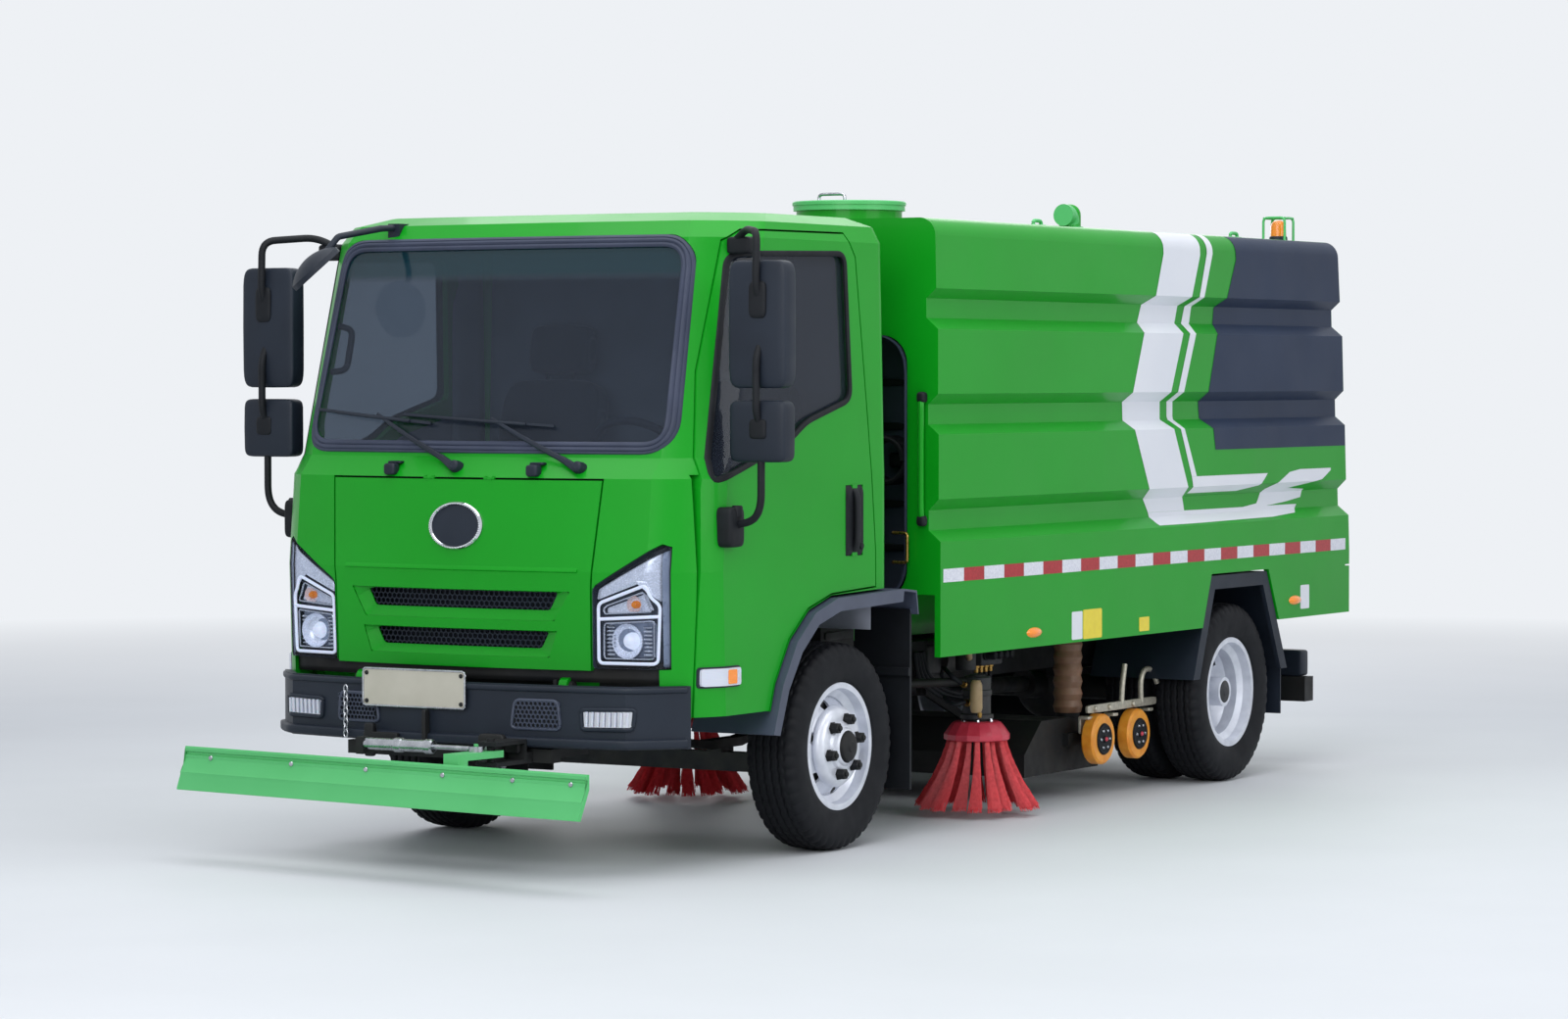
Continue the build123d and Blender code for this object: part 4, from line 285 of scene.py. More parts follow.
def tinted_glass(name, colour, see_through, tint, band=None):
    """Float glass as it looks on a vehicle: partly clear, partly a dark mirror, and green-blue
    in the band along its top edge. The tint is the colour of what is seen through it."""
    material, tree, surface, place = new_finish(
        name, Roughness=0.03, Specular_IOR_Level=0.5, Base_Color=linear(colour)
    )
    clear = see_through
    if band:
        low, high, band_colour = band
        height = add(tree, "ShaderNodeSeparateXYZ", {0: place}).outputs[2]
        span = {"Value": height, "From Min": low, "From Max": high}
        amount = add(tree, "ShaderNodeMapRange", span).outputs[0]
        base = mixed(tree, amount, linear(colour), linear(band_colour))
        tree.links.new(base, surface.inputs["Base Color"])
        clear = add(
            tree, "ShaderNodeMapRange", {**span, "To Min": see_through, "To Max": BAND_CLEAR}
        ).outputs[0]
    ripple = relief(tree, clouds(tree, place, 400, 1), 0.05)
    tree.links.new(ripple, surface.inputs["Normal"])
    through = add(tree, "ShaderNodeBsdfTransparent", {"Color": linear(tint)})
    mix = add(tree, "ShaderNodeMixShader", {0: clear, 1: surface.outputs[0], 2: through.outputs[0]})
    tree.links.new(mix.outputs[0], tree.nodes["Material Output"].inputs["Surface"])
    return material


# Laminated windscreen: tinted, with a green-blue sun band along its top.
SCREEN_GLASS = tinted_glass(
    "laminated_screen_glass", "434a57", 0.78, "dde4ea", (2.085, 2.115, "16353f")
)
# Toughened side glass, a little darker.
DOOR_GLASS = tinted_glass("toughened_door_glass", "3a404c", 0.66, "ccd3db")
# Clear polycarbonate cover of the lamps: thin, with a soft bright reflection.
LAMP_COVER = tinted_glass("clear_lamp_cover", "20242c", 0.93, "f4f6fa")
# Mirror glass: silvered on its back, so it is nearly a perfect mirror.
MIRROR_SILVER = plain_finish(
    "silvered_mirror_glass", "c6ccd6", "bcc2cc", 0.03, 0.01, 90, 20, 0.002, Metallic=1.0,
)
# Needle-punched felt and moulded board of the cab's lining: matt mid grey.
TRIM_FELT = plain_finish("needled_trim_felt", "9094a0", "848893", 0.92, 0.04, 200, 2, 0.3)


def waves(tree, place, every_mm, way, **more):
    """Ripples along one axis, one to each step in millimetres, as a value from 0 to 1."""
    scale = 1000 / every_mm / 20 * 2 * np.pi
    return add(
        tree, "ShaderNodeTexWave", {"Vector": place, "Scale": scale, **more}, bands_direction=way
    ).outputs[1]


def lens(name, colour, glow):
    """Moulded acrylic lens: coloured all through, ribbed inside every 5 mm, and glowing a little in
    its own colour: a painted glow that stands in for the light that it sends back."""
    material, tree, surface, place = new_finish(
        name, Base_Color=linear(colour), Roughness=0.18, Coat_Weight=0.6, Coat_Roughness=0.04,
        Emission_Color=linear(colour), Emission_Strength=glow, Subsurface_Weight=0.2,
        Subsurface_Scale=0.01,
    )
    ribs = waves(tree, place, 5, "Z", Distortion=0.0)
    tree.links.new(relief(tree, ribs, 0.4), surface.inputs["Normal"])
    return material


# the last number is each lens's painted glow, which stands in for light that it sends back
AMBER_LENS = lens("amber_acrylic_lens", "ee860a", 0.15)
RED_LENS = lens("red_acrylic_lens", "b01018", 0.1)
WHITE_LENS = lens("opal_acrylic_lens", "c4c9d6", 0.08)
GUIDE_LIGHT = lens("light_guide_acrylic", "e6ebf6", 0.55)


def prism_tape(name, colour, other):
    """Reflecting tape: cube corners under a clear face, welded in a net of 3 mm cells, so that
    its colour breaks into small bright and dull facets."""
    material, tree, surface, place = new_finish(
        name, Roughness=0.32, Coat_Weight=0.15, Coat_Roughness=0.05, Specular_IOR_Level=0.3
    )
    cells = add(tree, "ShaderNodeTexVoronoi", {"Vector": place, "Scale": 1000 / 6})
    tone = add(tree, "ShaderNodeSeparateColor", {0: cells.outputs["Color"]}).outputs[0]
    tree.links.new(
        mixed(tree, tone, linear(colour), linear(other)), surface.inputs["Base Color"]
    )
    tree.links.new(relief(tree, cells.outputs["Distance"], 0.1), surface.inputs["Normal"])
    return material


TAPE_WHITE = prism_tape("white_prismatic_tape", "cfd1dc", "e2e4ec")
TAPE_RED = prism_tape("red_prismatic_tape", "98101a", "ae2028")


def woven_fabric():
    """Seat cloth: a flat weave with 1.6 mm threads that cross at right angles, dark grey, with a
    soft sheen and a few paler threads."""
    material, tree, surface, place = new_finish(
        "woven_seat_cloth", Roughness=0.92, Sheen_Weight=0.35, Sheen_Roughness=0.5
    )
    threads = [waves(tree, place, 1.6, way, Distortion=1.5, Detail=1.0) for way in ("X", "Z")]
    weave = sums(tree, "MULTIPLY", *threads)
    drift = clouds(tree, place, 120, 4)
    ground = mixed(tree, drift, linear("23272f"), linear("2e333c"))
    tree.links.new(
        mixed(tree, weave, ground, linear("3f4550")), surface.inputs["Base Color"]
    )
    creases = relief(tree, clouds(tree, place, 90, 3), 2.5)
    tree.links.new(relief(tree, weave, 0.5, creases), surface.inputs["Normal"])
    return material


SEAT_CLOTH = woven_fabric()

# Record slots and the finish each one gets.
SLOT_FINISH = {
    "body_green": GREEN_PAINT, "bar_green": PALE_PAINT, "frame_black": FRAME_COAT,
    "dark_plastic": MOULDED_PLASTIC, "black_rubber": SEAL_RUBBER, "tyre_rubber": TYRE_RUBBER,
    "wheel_silver": WHEEL_ENAMEL, "clear_glass": DOOR_GLASS, "lamp_glass": LAMP_COVER,
    "lamp_red": RED_LENS, "lamp_amber": AMBER_LENS, "seat_fabric": SEAT_CLOTH,
    "brush_red": RED_BRISTLE, "wheel_orange": ORANGE_TREAD, "hose_tan": TAN_HOSE,
    "steel": GROUND_STEEL, "cast_grey": CAST_IRON,
}
NODE_FINISH = {
    "windscreen": SCREEN_GLASS, "roof_lid": PALE_PAINT, "front_fenders": FLARE_PLASTIC,
}
# The finishes that only fittings wear, by the slot that each goes under.
FITTING_SLOTS = {
    "dark_plastic": (TRIM_RUBBER, FLARE_PLASTIC, TRIM_FELT, LAMP_TRAY),
    "steel": (CHROME, BRASS, ZINC_COAT, BLANK_PLATE), "brush_red": (RED_PAINT,),
    "lamp_glass": (WHITE_LENS, GUIDE_LIGHT), "wheel_silver": (BRIGHT_TRIM, BLUE_TRIM),
    "hose_tan": (CREAM_PAINT,), "clear_glass": (MIRROR_SILVER,),
    "body_green": (WHITE_FILM, SLATE_FILM, YELLOW_LABEL, TAPE_WHITE, TAPE_RED),
}
USUAL_SLOT = {finish.name: slot for slot, finish in SLOT_FINISH.items()} | {
    finish.name: slot for slot, finishes in FITTING_SLOTS.items() for finish in finishes
}
FLAP_FROM_Y, FLAP_BELOW_Z = -0.974, 0.830    # where the fenders' moulding ends and its flap begins
for row in frame["record"]["subparts"]:
    finish = NODE_FINISH.get(row["node"], SLOT_FINISH[row["material_slot"]])
    mesh = frame["nodes"][row["node"]].data
    mesh.materials.clear()
    mesh.materials.append(finish)
    if row["node"] == "front_fenders":
        # the flap behind the wheel is black rubber, the arch above it moulded plastic
        mesh.materials.append(TRIM_RUBBER)
        for face in mesh.polygons:
            behind, below = face.center.y > FLAP_FROM_Y, face.center.z < FLAP_BELOW_Z
            face.material_index = int(behind and below)


# ---------------------------------------------------------------- mesh helpers
LEFTWARD, REARWARD, FORWARD, UP = (1, 0, 0), (0, 1, 0), (0, -1, 0), (0, 0, 1)
AXLE = -1.354                    # y of the front axle
SIDES = ((1, "left"), (-1, "right"))


def piece(name, finish, body, shape, slot=None, thick=0.0, out=None, level=0, sharp=35):
    """One mesh object on a body, from a shape or a list of them. A closed shape is turned
    outward; an open one is turned to face out, and can be given a thickness behind it. A slot,
    the one named or else its finish's usual one, is worked out but not used."""
    points, faces = gathered(shape) if isinstance(shape, list) else shape
    slot = slot or USUAL_SLOT[finish.name]
    mesh = bpy.data.meshes.new(name)
    mesh.from_pydata(np.asarray(points).reshape(-1, 3).tolist(), [], np.asarray(faces).tolist())
    shape = bmesh.new()
    shape.from_mesh(mesh)
    bmesh.ops.remove_doubles(shape, verts=shape.verts, dist=1e-6)
    if out is None:
        bmesh.ops.recalc_face_normals(shape, faces=shape.faces)
    shape.to_mesh(mesh)
    shape.free()
    if out is not None:
        normals = np.zeros(len(mesh.polygons) * 3)
        mesh.polygons.foreach_get("normal", normals)
        if normals.reshape(-1, 3).sum(0) @ np.asarray(out, float) < 0:
            mesh.flip_normals()
    mesh.shade_smooth()
    mesh.set_sharp_from_angle(angle=np.radians(sharp))
    mesh.materials.append(finish)
    thing = bpy.data.objects.new(name, mesh)
    bpy.context.scene.collection.objects.link(thing)
    if thick:
        solid = thing.modifiers.new("thickness", "SOLIDIFY")
        solid.thickness = thick
        solid.offset = -1
    if level:
        smooth = thing.modifiers.new("smooth", "SUBSURF")
        smooth.levels = smooth.render_levels = level
    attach(thing, body)
    return thing


def pair(name, finish, body, shape, slot=None, out=None, **more):
    """A piece on the left and its mirror image on the right. The body's name takes the side."""
    shape = gathered(shape) if isinstance(shape, list) else shape
    other = None if out is None else np.multiply(out, (-1, 1, 1))
    piece(f"{name}_left", finish, body.format("left"), shape, slot, out=out, **more)
    piece(f"{name}_right", finish, body.format("right"), turned_over(shape), slot, out=other, **more)


def grid(rows, columns, wrap_rows=False, wrap_columns=False):
    """The four-cornered faces of a grid of points; a wrapped way joins its end to its start."""
    r, c = np.meshgrid(
        np.arange(rows - (not wrap_rows)), np.arange(columns - (not wrap_columns)), indexing="ij"
    )
    r2, c2 = (r + 1) % rows, (c + 1) % columns
    return np.stack(
        [r * columns + c, r * columns + c2, r2 * columns + c2, r2 * columns + c], -1
    ).reshape(-1, 4)


def skinned(points, wrap_rows=False, wrap_columns=True):
    """Rows of points with their faces. Each row is a ring unless wrap_columns is false."""
    return points, grid(*points.shape[:2], wrap_rows, wrap_columns)


def gathered(shapes):
    """Several (points, faces) shapes as one."""
    points, faces, count = [], [], 0
    for p, f in shapes:
        p = np.asarray(p).reshape(-1, 3)
        points.append(p)
        faces.append(np.asarray(f) + count)
        count += len(p)
    return np.concatenate(points), np.concatenate(faces)


def copies(shape, places):
    """One shape set down at many places."""
    points, faces = shape
    places = np.asarray(places, float).reshape(-1, 3)
    moved = np.asarray(points).reshape(-1, 3)[None] + places[:, None]
    steps = (np.arange(len(places)) * moved.shape[1])[:, None, None]
    return moved.reshape(-1, 3), (np.asarray(faces)[None] + steps).reshape(-1, 4)


def turned_over(shape):
    """The same shape mirrored to the vehicle's other side."""
    return np.asarray(shape[0]).reshape(-1, 3) * (-1, 1, 1), np.asarray(shape[1])[:, ::-1]


def both_sides(shape):
    """A shape, or a list of them, and its mirror image on the vehicle's other side."""
    shape = gathered(shape) if isinstance(shape, list) else shape
    return gathered([shape, turned_over(shape)])


def frame_of(axis):
    """Two directions square to an axis, and the axis itself, each of unit length."""
    axis = np.asarray(axis, float) / np.linalg.norm(axis)
    guide = np.array([0, 0, 1.0]) if abs(axis[2]) < 0.9 else np.array([0, 1.0, 0])
    first = np.cross(guide, axis)
    first = first / np.linalg.norm(first)
    return first, np.cross(axis, first), axis


def turned(profile, centre, axis, steps=40, ring=False):
    """A lathe shape: radius and height along the axis from the profile, carried round a circle.
    A ring's profile ends where it starts."""
    profile = np.asarray(profile, float)
    first, second, axis = frame_of(axis)
    angle = np.linspace(0, 2 * np.pi, steps, endpoint=False)
    circle = np.cos(angle)[:, None] * first + np.sin(angle)[:, None] * second
    points = profile[:, None, :1] * circle[None] + profile[:, None, 1:] * axis
    return skinned(points + np.asarray(centre, float), ring)


def button(top, wide, high, shoulder, foot, centre, axis, steps=12):
    """A round head with a bevelled top: radii of its top and its side, heights of its top, the
    bevel's foot and its own foot."""
    profile = [(0, high), (top, high), (wide, shoulder), (wide, foot), (0, foot)]
    return turned(profile, centre, axis, steps)


def block(centre, size, round_by=0.25):
    """A block with rounded edges: a sphere whose sine and cosine are raised to a small power,
    which pushes it out to its corners."""
    across, up = np.meshgrid(
        np.linspace(0, 2 * np.pi, 32, endpoint=False), np.linspace(-np.pi / 2, np.pi / 2, 17)
    )

    def squared(wave):
        return np.sign(wave) * np.abs(wave) ** round_by

    points = np.stack([
        squared(np.cos(up)) * squared(np.cos(across)),
        squared(np.cos(up)) * squared(np.sin(across)),
        squared(np.sin(up)),
    ], -1)
    return skinned(points * np.asarray(size) / 2 + np.asarray(centre))


def from_axle(points):
    """Points whose y is counted from the front axle."""
    return np.asarray(points, float) + (0, AXLE, 0)


def blocks(*rows):
    """Rounded blocks, from rows of centre (its y from the front axle), size and rounding."""
    return [block(from_axle(centre), size, round_by) for centre, size, round_by in rows]


def swept(path, section, side=None, closed=False, scale=1.0):
    """A section carried along a path. The section's first number goes along side, its second
    along the direction square to both side and path, and both can grow or shrink on the way by
    scale. Open ends are closed to a point."""
    path = np.asarray(path, float)
    scale = np.broadcast_to(scale, len(path))[:, None, None]
    section = np.asarray(section, float)
    if closed:
        along = np.roll(path, -1, 0) - np.roll(path, 1, 0)
    else:
        along = np.gradient(path, axis=0)
    along = along / np.linalg.norm(along, axis=1, keepdims=True)
    if side is None:
        upright_path = np.abs(along[:, 2]).mean() > 0.7
        side = np.cross(along, (1.0, 0.2, 0.1) if upright_path else (0.13, 0.21, 1.0))
    else:
        side = np.broadcast_to(np.asarray(side, float), path.shape)
    side = side - (side * along).sum(1, keepdims=True) * along
    side = side / np.linalg.norm(side, axis=1, keepdims=True)
    third = np.cross(along, side)
    points = path[:, None] + scale * (
        section[None, :, :1] * side[:, None] + section[None, :, 1:] * third[:, None]
    )
    if closed:
        return skinned(points, True)
    ends = np.repeat(path[[0, -1]][:, None], len(section), axis=1)
    return skinned(np.concatenate([ends[:1], points, ends[1:]]))


def ring_section(radius, steps=12):
    """A circle of this radius, as a section for a round pipe."""
    angle = np.linspace(0, 2 * np.pi, steps, endpoint=False)
    return radius * np.stack([np.cos(angle), np.sin(angle)], -1)


def spaced(points, count, closed=False):
    """The same line with count points evenly spaced along it."""
    points = np.asarray(points, float)
    if closed:
        points = np.concatenate([points, points[:1]])
    length = np.concatenate([[0], np.cumsum(np.linalg.norm(np.diff(points, axis=0), axis=1))])
    at = np.linspace(0, length[-1], count, endpoint=not closed)
    return np.stack([np.interp(at, length, points[:, k]) for k in range(points.shape[1])], -1)


def rounded(corners, radius, steps=7, closed=True):
    """An outline or a line with each corner bent: a quarter-like curve that runs from one edge to
    the next, weighted by the squares of t and 1 - t."""
    corners = np.asarray(corners, float)
    before = np.roll(corners, 1, 0) - corners
    after = np.roll(corners, -1, 0) - corners
    reach_b = np.linalg.norm(before, axis=1, keepdims=True)
    reach_a = np.linalg.norm(after, axis=1, keepdims=True)
    start = corners + before / reach_b * np.minimum(radius, reach_b * 0.48)
    end = corners + after / reach_a * np.minimum(radius, reach_a * 0.48)
    if not closed:
        start[0] = end[0] = corners[0]
        start[-1] = end[-1] = corners[-1]
    t = np.linspace(0, 1, steps)[None, :, None]
    start, middle, end = start[:, None], corners[:, None], end[:, None]
    curve = (1 - t) ** 2 * start + 2 * t * (1 - t) * middle + t ** 2 * end
    return curve.reshape(-1, corners.shape[1])


def outlined(corners, radius, steps, count):
    """A closed outline through rounded corners, evenly spaced."""
    return spaced(rounded(corners, radius, steps), count, closed=True)


def rectangle(low, high, radius, count=80):
    """An outline with rounded corners between two opposite corners."""
    (a, b), (c, d) = low, high
    return outlined([(a, b), (c, b), (c, d), (a, d)], radius, 6, count)


def pipe(corners, radius, bend=0.03, count=40, steps=12):
    """A round pipe through these corners, with its bends rounded."""
    line = spaced(rounded(corners, bend, 9, closed=False), count)
    return swept(line, ring_section(radius, steps))


def plate(outline, thickness, rings=1, edge=0.0):
    """A solid plate on a closed outline: its face shrinks to the middle in rings, and its back is
    the face moved by the thickness. The edge is the share of the plate that its bevel takes."""
    outline = np.asarray(outline, float)
    thickness = np.asarray(thickness, float)
    middle = outline.mean(0)
    scale = np.linspace(0, 1 - edge, rings + 1)[:, None, None]
    face = middle + scale * (outline - middle)
    bevel = outline[None] + 0.35 * thickness
    back = middle + np.array((1.0, 0.0))[:, None, None] * (outline - middle) + thickness
    return skinned(np.concatenate([face, bevel, back] if edge else [face, back]))


def laid(line, surface, lift, thick, steps=9):
    """A pad on a curved surface: rings that shrink from a closed outline to its middle, lifted
    off the surface, and the same rings again behind them by the thickness."""
    share = np.linspace(0, 1, steps)[:, None, None]
    rings = line.mean(0) + share * (line - line.mean(0))
    return skinned(np.concatenate([surface(rings, lift), surface(rings, lift - thick)[::-1]]))


def flanked(line, section):
    """Where a section's points lie across a closed outline: its first numbers go outward."""
    step = np.roll(line, -1, 0) - np.roll(line, 1, 0)
    outward = np.stack([step[:, 1], -step[:, 0]], -1)
    outward = outward / np.linalg.norm(outward, axis=1, keepdims=True)
    return line[:, None] + section[None, :, :1] * outward[:, None]


def facing(line, y):
    """A front view's outline, (x, z), set upright at a depth."""
    return np.stack([line[:, 0], np.broadcast_to(y, len(line)), line[:, 1]], -1)


def sideways(line, x):
    """A side view's outline, (y, z), set upright at a distance from the middle."""
    return np.stack([np.broadcast_to(x, len(line)), line[:, 0], line[:, 1]], -1)


def honeycomb_of(cell, rim, waist, deep, centres):
    """Six-sided rings side by side: each is as wide as its cell outside, the rim's share of it
    inside at the face, and the waist's share at the back."""
    angle = np.radians(np.arange(30, 390, 60))
    hexagon = np.stack([np.cos(angle), 0 * angle, np.sin(angle)], -1) * cell / np.sqrt(3)
    back = np.array((0, deep, 0))
    wall = np.stack([hexagon * 1.02, hexagon * rim, hexagon * waist + back, hexagon * 1.02 + back])
    return copies(skinned(wall, True), centres)


# ---------------------------------------------------------------- cab surfaces
# Height, front from the axle, half width and bow of the cab's levels.
CAB_LEVELS = np.array([
    (0.550, -1.176, 0.930, 0.082), (1.060, -1.194, 0.930, 0.082), (1.386, -1.162, 0.930, 0.082),
    (1.458, -1.094, 0.928, 0.078), (2.236, -0.850, 0.912, 0.046), (2.296, -0.800, 0.890, 0.046),
])
BOW_REACH = 0.760                # x at which the bow has its full depth
CORNER_WIDTH = 0.170             # how far in from the side the corner's arc begins
ARC_RADIUS, ARC_IN, ARC_BACK = 0.4055, 0.22014, 0.34054    # the arc, and its centre's place


def cab_level(z):
    """The cab's front, half width and bow at a height."""
    return [np.interp(z, CAB_LEVELS[:, 0], CAB_LEVELS[:, k]) for k in (1, 2, 3)]


def cab_front(x, z):
    """y of the cab's front: the middle line for that height, a bow that grows with the square of
    x, and beyond the flat part the corner's arc."""
    front, half, bow = cab_level(z)
    flat = half - CORNER_WIDTH
    beyond = np.clip(np.abs(x) - flat, 0, 0.168)
    arc = ARC_BACK - np.sqrt(ARC_RADIUS ** 2 - (beyond + ARC_IN) ** 2)
    return AXLE + front + bow * (np.minimum(np.abs(x), flat) / BOW_REACH) ** 2 + arc


def on_front(xz, lift=0.0):
    """Points of a front view laid on the cab's front surface, lifted off it."""
    xz = np.asarray(xz, float)
    return np.stack([xz[..., 0], cab_front(xz[..., 0], xz[..., 1]) - lift, xz[..., 1]], -1)


def door_skin(y, z):
    """x of the door's outer face: the cab's side, and the corner's arc in front of it."""
    front, half, bow = cab_level(z)
    flat = half - CORNER_WIDTH
    corner_y = AXLE + front + bow * (flat / BOW_REACH) ** 2
    ahead_of = np.clip(y - corner_y, 0, 0.230)
    arc = np.sqrt(np.maximum(ARC_RADIUS ** 2 - (ARC_BACK - ahead_of) ** 2, 0)) - ARC_IN
    return np.where(y > corner_y + 0.230, half, flat + arc)


def on_door(yz, lift=0.0):
    """Points of a side view laid on the left door's outer face, lifted off it."""
    return np.stack([door_skin(yz[..., 0], yz[..., 1]) + lift, yz[..., 0], yz[..., 1]], -1)


# ---------------------------------------------------------------- windscreen seal and wipers
SCREEN_CORNERS = [(-0.782, 1.492), (0.782, 1.492), (0.749, 2.224), (-0.749, 2.224)]
SEAL_SECTION = np.array([
    # across, height in millimetres
    (-22, -4), (-22, 3), (-18, 7), (-12, 9), (-7, 7), (-5, 4), (-2, 7), (4, 9), (9, 7), (11, 4),
    (14, 7), (18, 6), (22, 2), (22, -4),
]) / 1000
screen_line = outlined(SCREEN_CORNERS, 0.103, 12, 260)
seal_points = on_front(flanked(screen_line, SEAL_SECTION), SEAL_SECTION[None, :, 1])
seal = piece("screen_seal_ribbed", SEAL_RUBBER, "cab", skinned(seal_points, True))
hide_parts("windscreen_seal")

# Wiper sections in millimetres, and pivot, arm tip and blade ends as seen from ahead.
ARM_SECTION = rounded([(-5, -13), (5, -9), (5, 9), (-5, 13)], 3, 4) / 1000
KNUCKLE_SECTION = rounded([(-11, -17), (9, -14), (9, 14), (-11, 17)], 6, 5) / 1000
BLADE_SECTION = np.array(
    [(-8, -1), (-8, 1), (-1, 1.5), (2, 6), (7, 5), (7, -5), (2, -6), (-1, -1.5)]
) / 1000
WIPERS = (
    # name, pivot, arm tip, blade from, blade to
    ("right", (-0.028, 1.420), (-0.442, 1.608), (-0.745, 1.622), (-0.187, 1.574)),
    ("left", (0.476, 1.420), (0.079, 1.594), (-0.319, 1.606), (0.339, 1.567)),
)
for name, pivot, tip, blade_from, blade_to in WIPERS:
    out = (0.0, -1.0, 0.3)
    arm_line = on_front(np.linspace(pivot, tip, 24), 0.022)
    arm_line[:, 1] -= 0.012 * np.sin(np.linspace(0, np.pi, 24))
    blade_line = np.linspace(blade_from, blade_to, 30)
    bow_line = on_front(blade_line[5:-5], 0.020)
    bow_line[:, 1] -= 0.006 * np.sin(np.linspace(0, np.pi, len(bow_line)))
    knuckle_line = np.linspace(pivot, np.array(pivot) * 0.8 + np.array(tip) * 0.2, 8)
    piece(f"wiper_{name}", MOULDED_PLASTIC, "cab", [
        swept(arm_line, ARM_SECTION, out, scale=np.linspace(1.0, 0.5, 24)),
        swept(on_front(blade_line, 0.010), BLADE_SECTION, out),
        swept(bow_line, ring_section(0.006, 8)),
        turned([
            (0, 0.036), (0.012, 0.035), (0.019, 0.028), (0.021, 0.016), (0.024, 0.004),
            (0.024, -0.012), (0, -0.012),
        ], on_front(pivot), (0, -1, 0.35)),
        swept(on_front(knuckle_line, 0.024), KNUCKLE_SECTION, out, scale=np.linspace(1.0, 0.7, 8)),
    ])

piece("screen_washers", MOULDED_PLASTIC, "cab", [
    block(on_front((x, z), lift), size, round_by)
    for x in (-0.308, 0.307)
    for z, lift, size, round_by in (
        (1.412, 0.018, (0.050, 0.040, 0.042), 0.45), (1.436, 0.012, (0.058, 0.030, 0.010), 0.35),
    )
])

# ---------------------------------------------------------------- front flap: badge and grilles
BADGE_Z = 1.215
BADGE_AXIS = (0, -1, 0.098)
BADGE_OVAL = 1.36                # how far the badge is pulled out sideways
badge_at = on_front((0.0, BADGE_Z))


def badge_ring(profile, closed):
    """A lathe shape pulled out sideways to the badge's oval and bent to the flap's bow."""
    points = turned(profile, (0, 0, 0), BADGE_AXIS, 72)[0] * (BADGE_OVAL, 1.0, 1.0) + badge_at
    points[..., 1] += cab_front(points[..., 0], BADGE_Z) - cab_front(0.0, BADGE_Z)
    return skinned(points, closed)


angle = np.linspace(0, 2 * np.pi, 60, endpoint=False)
bead = turned(
    [(0, 0.0035), (0.003, 0.0022), (0.0042, 0), (0.003, -0.002), (0, -0.002)], (0, 0, 0), BADGE_AXIS, 8
)
bead_xz = np.stack([0.0785 * BADGE_OVAL * np.cos(angle), badge_at[2] + 0.0785 * np.sin(angle)], -1)
piece("badge_rim", CHROME, "front_flap", [
    badge_ring([
        (0.074, -0.002), (0.074, 0.009), (0.077, 0.013), (0.081, 0.013), (0.085, 0.008),
        (0.085, -0.006),
    ], True),
    copies(bead, on_front(bead_xz, 0.013)),
])
piece("badge_disc", MOULDED_PLASTIC, "front_flap", badge_ring([
    (0, 0.009), (0.030, 0.0088), (0.055, 0.008), (0.074, 0.005), (0.074, -0.006), (0, -0.006)
], False))

# pressed crease across the flap
crease_line = on_front(np.stack([np.linspace(-0.500, 0.500, 60), np.full(60, 1.062)], -1), -0.0012)
CREASE_SECTION = [(0.0, -0.012), (0.0062, -0.002), (0.0062, 0.002), (0.0, 0.007)]
piece("flap_crease", GREEN_PAINT, "front_flap", swept(crease_line, CREASE_SECTION, FORWARD))

# Grille pockets: outer corners on the flap, inner corners at the mesh, as (half width, z).
POCKETS = (
    # name, outer bottom, outer top, inner bottom, inner top
    ("upper", (0.408, 0.886), (0.470, 0.990), (0.377, 0.922), (0.410, 0.986)),
    ("lower", (0.385, 0.757), (0.418, 0.851), (0.341, 0.787), (0.372, 0.847)),
)
MESH_CELL = 0.021
ROW_STEP = MESH_CELL * 0.866     # rows of hexagons lie closer than their columns
for name, outer_low, outer_top, inner_low, inner_top in POCKETS:
    rings = []
    for (half_low, low), (half_top, top), depth in (
        (outer_low, outer_top, 0.0), (outer_low, outer_top, 0.004), (inner_low, inner_top, 0.026),
        (inner_low, inner_top, 0.031),
    ):
        corners = [(-half_low, low), (half_low, low), (half_top, top), (-half_top, top)]
        rings.append(on_front(outlined(corners, 0.012, 5, 240), -depth - 0.0004))
    piece(
        f"grille_pocket_{name}", GREEN_PAINT, "front_flap", skinned(np.stack(rings)), out=UP, sharp=28
    )
    # the mesh fills the pocket's floor and follows the flap's bow
    (half_low, low), (half_top, top) = inner_low, inner_top
    rows = np.arange(np.floor((top - low) / ROW_STEP) + 2)
    row, column = np.meshgrid(rows, np.arange(-24, 25), indexing="ij")
    cell_x = (column + 0.5 * (row % 2)) * MESH_CELL
    cell_z = low + row * ROW_STEP
    inside = np.abs(cell_x) < np.interp(cell_z, (low, top), (half_low, half_top)) + 0.012
    centres = on_front(np.stack([cell_x[inside], cell_z[inside]], -1), -0.032)
    honeycomb = piece(
        f"grille_mesh_{name}", MOULDED_PLASTIC, "front_flap",
        honeycomb_of(MESH_CELL, 0.80, 0.86, 0.008, centres),
    )
    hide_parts("grille")

# ---------------------------------------------------------------- headlamps
# Outlines seen from ahead on the left lamp, in metres.
LAMP_EDGE = [
    (0.555, 0.724), (0.820, 0.724), (0.824, 1.148), (0.802, 1.157), (0.571, 1.014), (0.558, 1.000)
]
CHAMBER_LINE = [
    (0.571, 0.742), (0.783, 0.742), (0.792, 0.948), (0.764, 0.975), (0.750, 1.018), (0.573, 0.951)
]
SIGNAL_AT, MAIN_AT = (0.700, 0.948), (0.675, 0.820)
FRONT_SHEET = {"thick": 0.003, "out": FORWARD}


def lamp_ring(corners, lift, round_by=0.012, count=120):
    """A closed outline on the lamp, rounded and set off the cab's surface."""
    return on_front(outlined(corners, round_by, 6, count), lift)


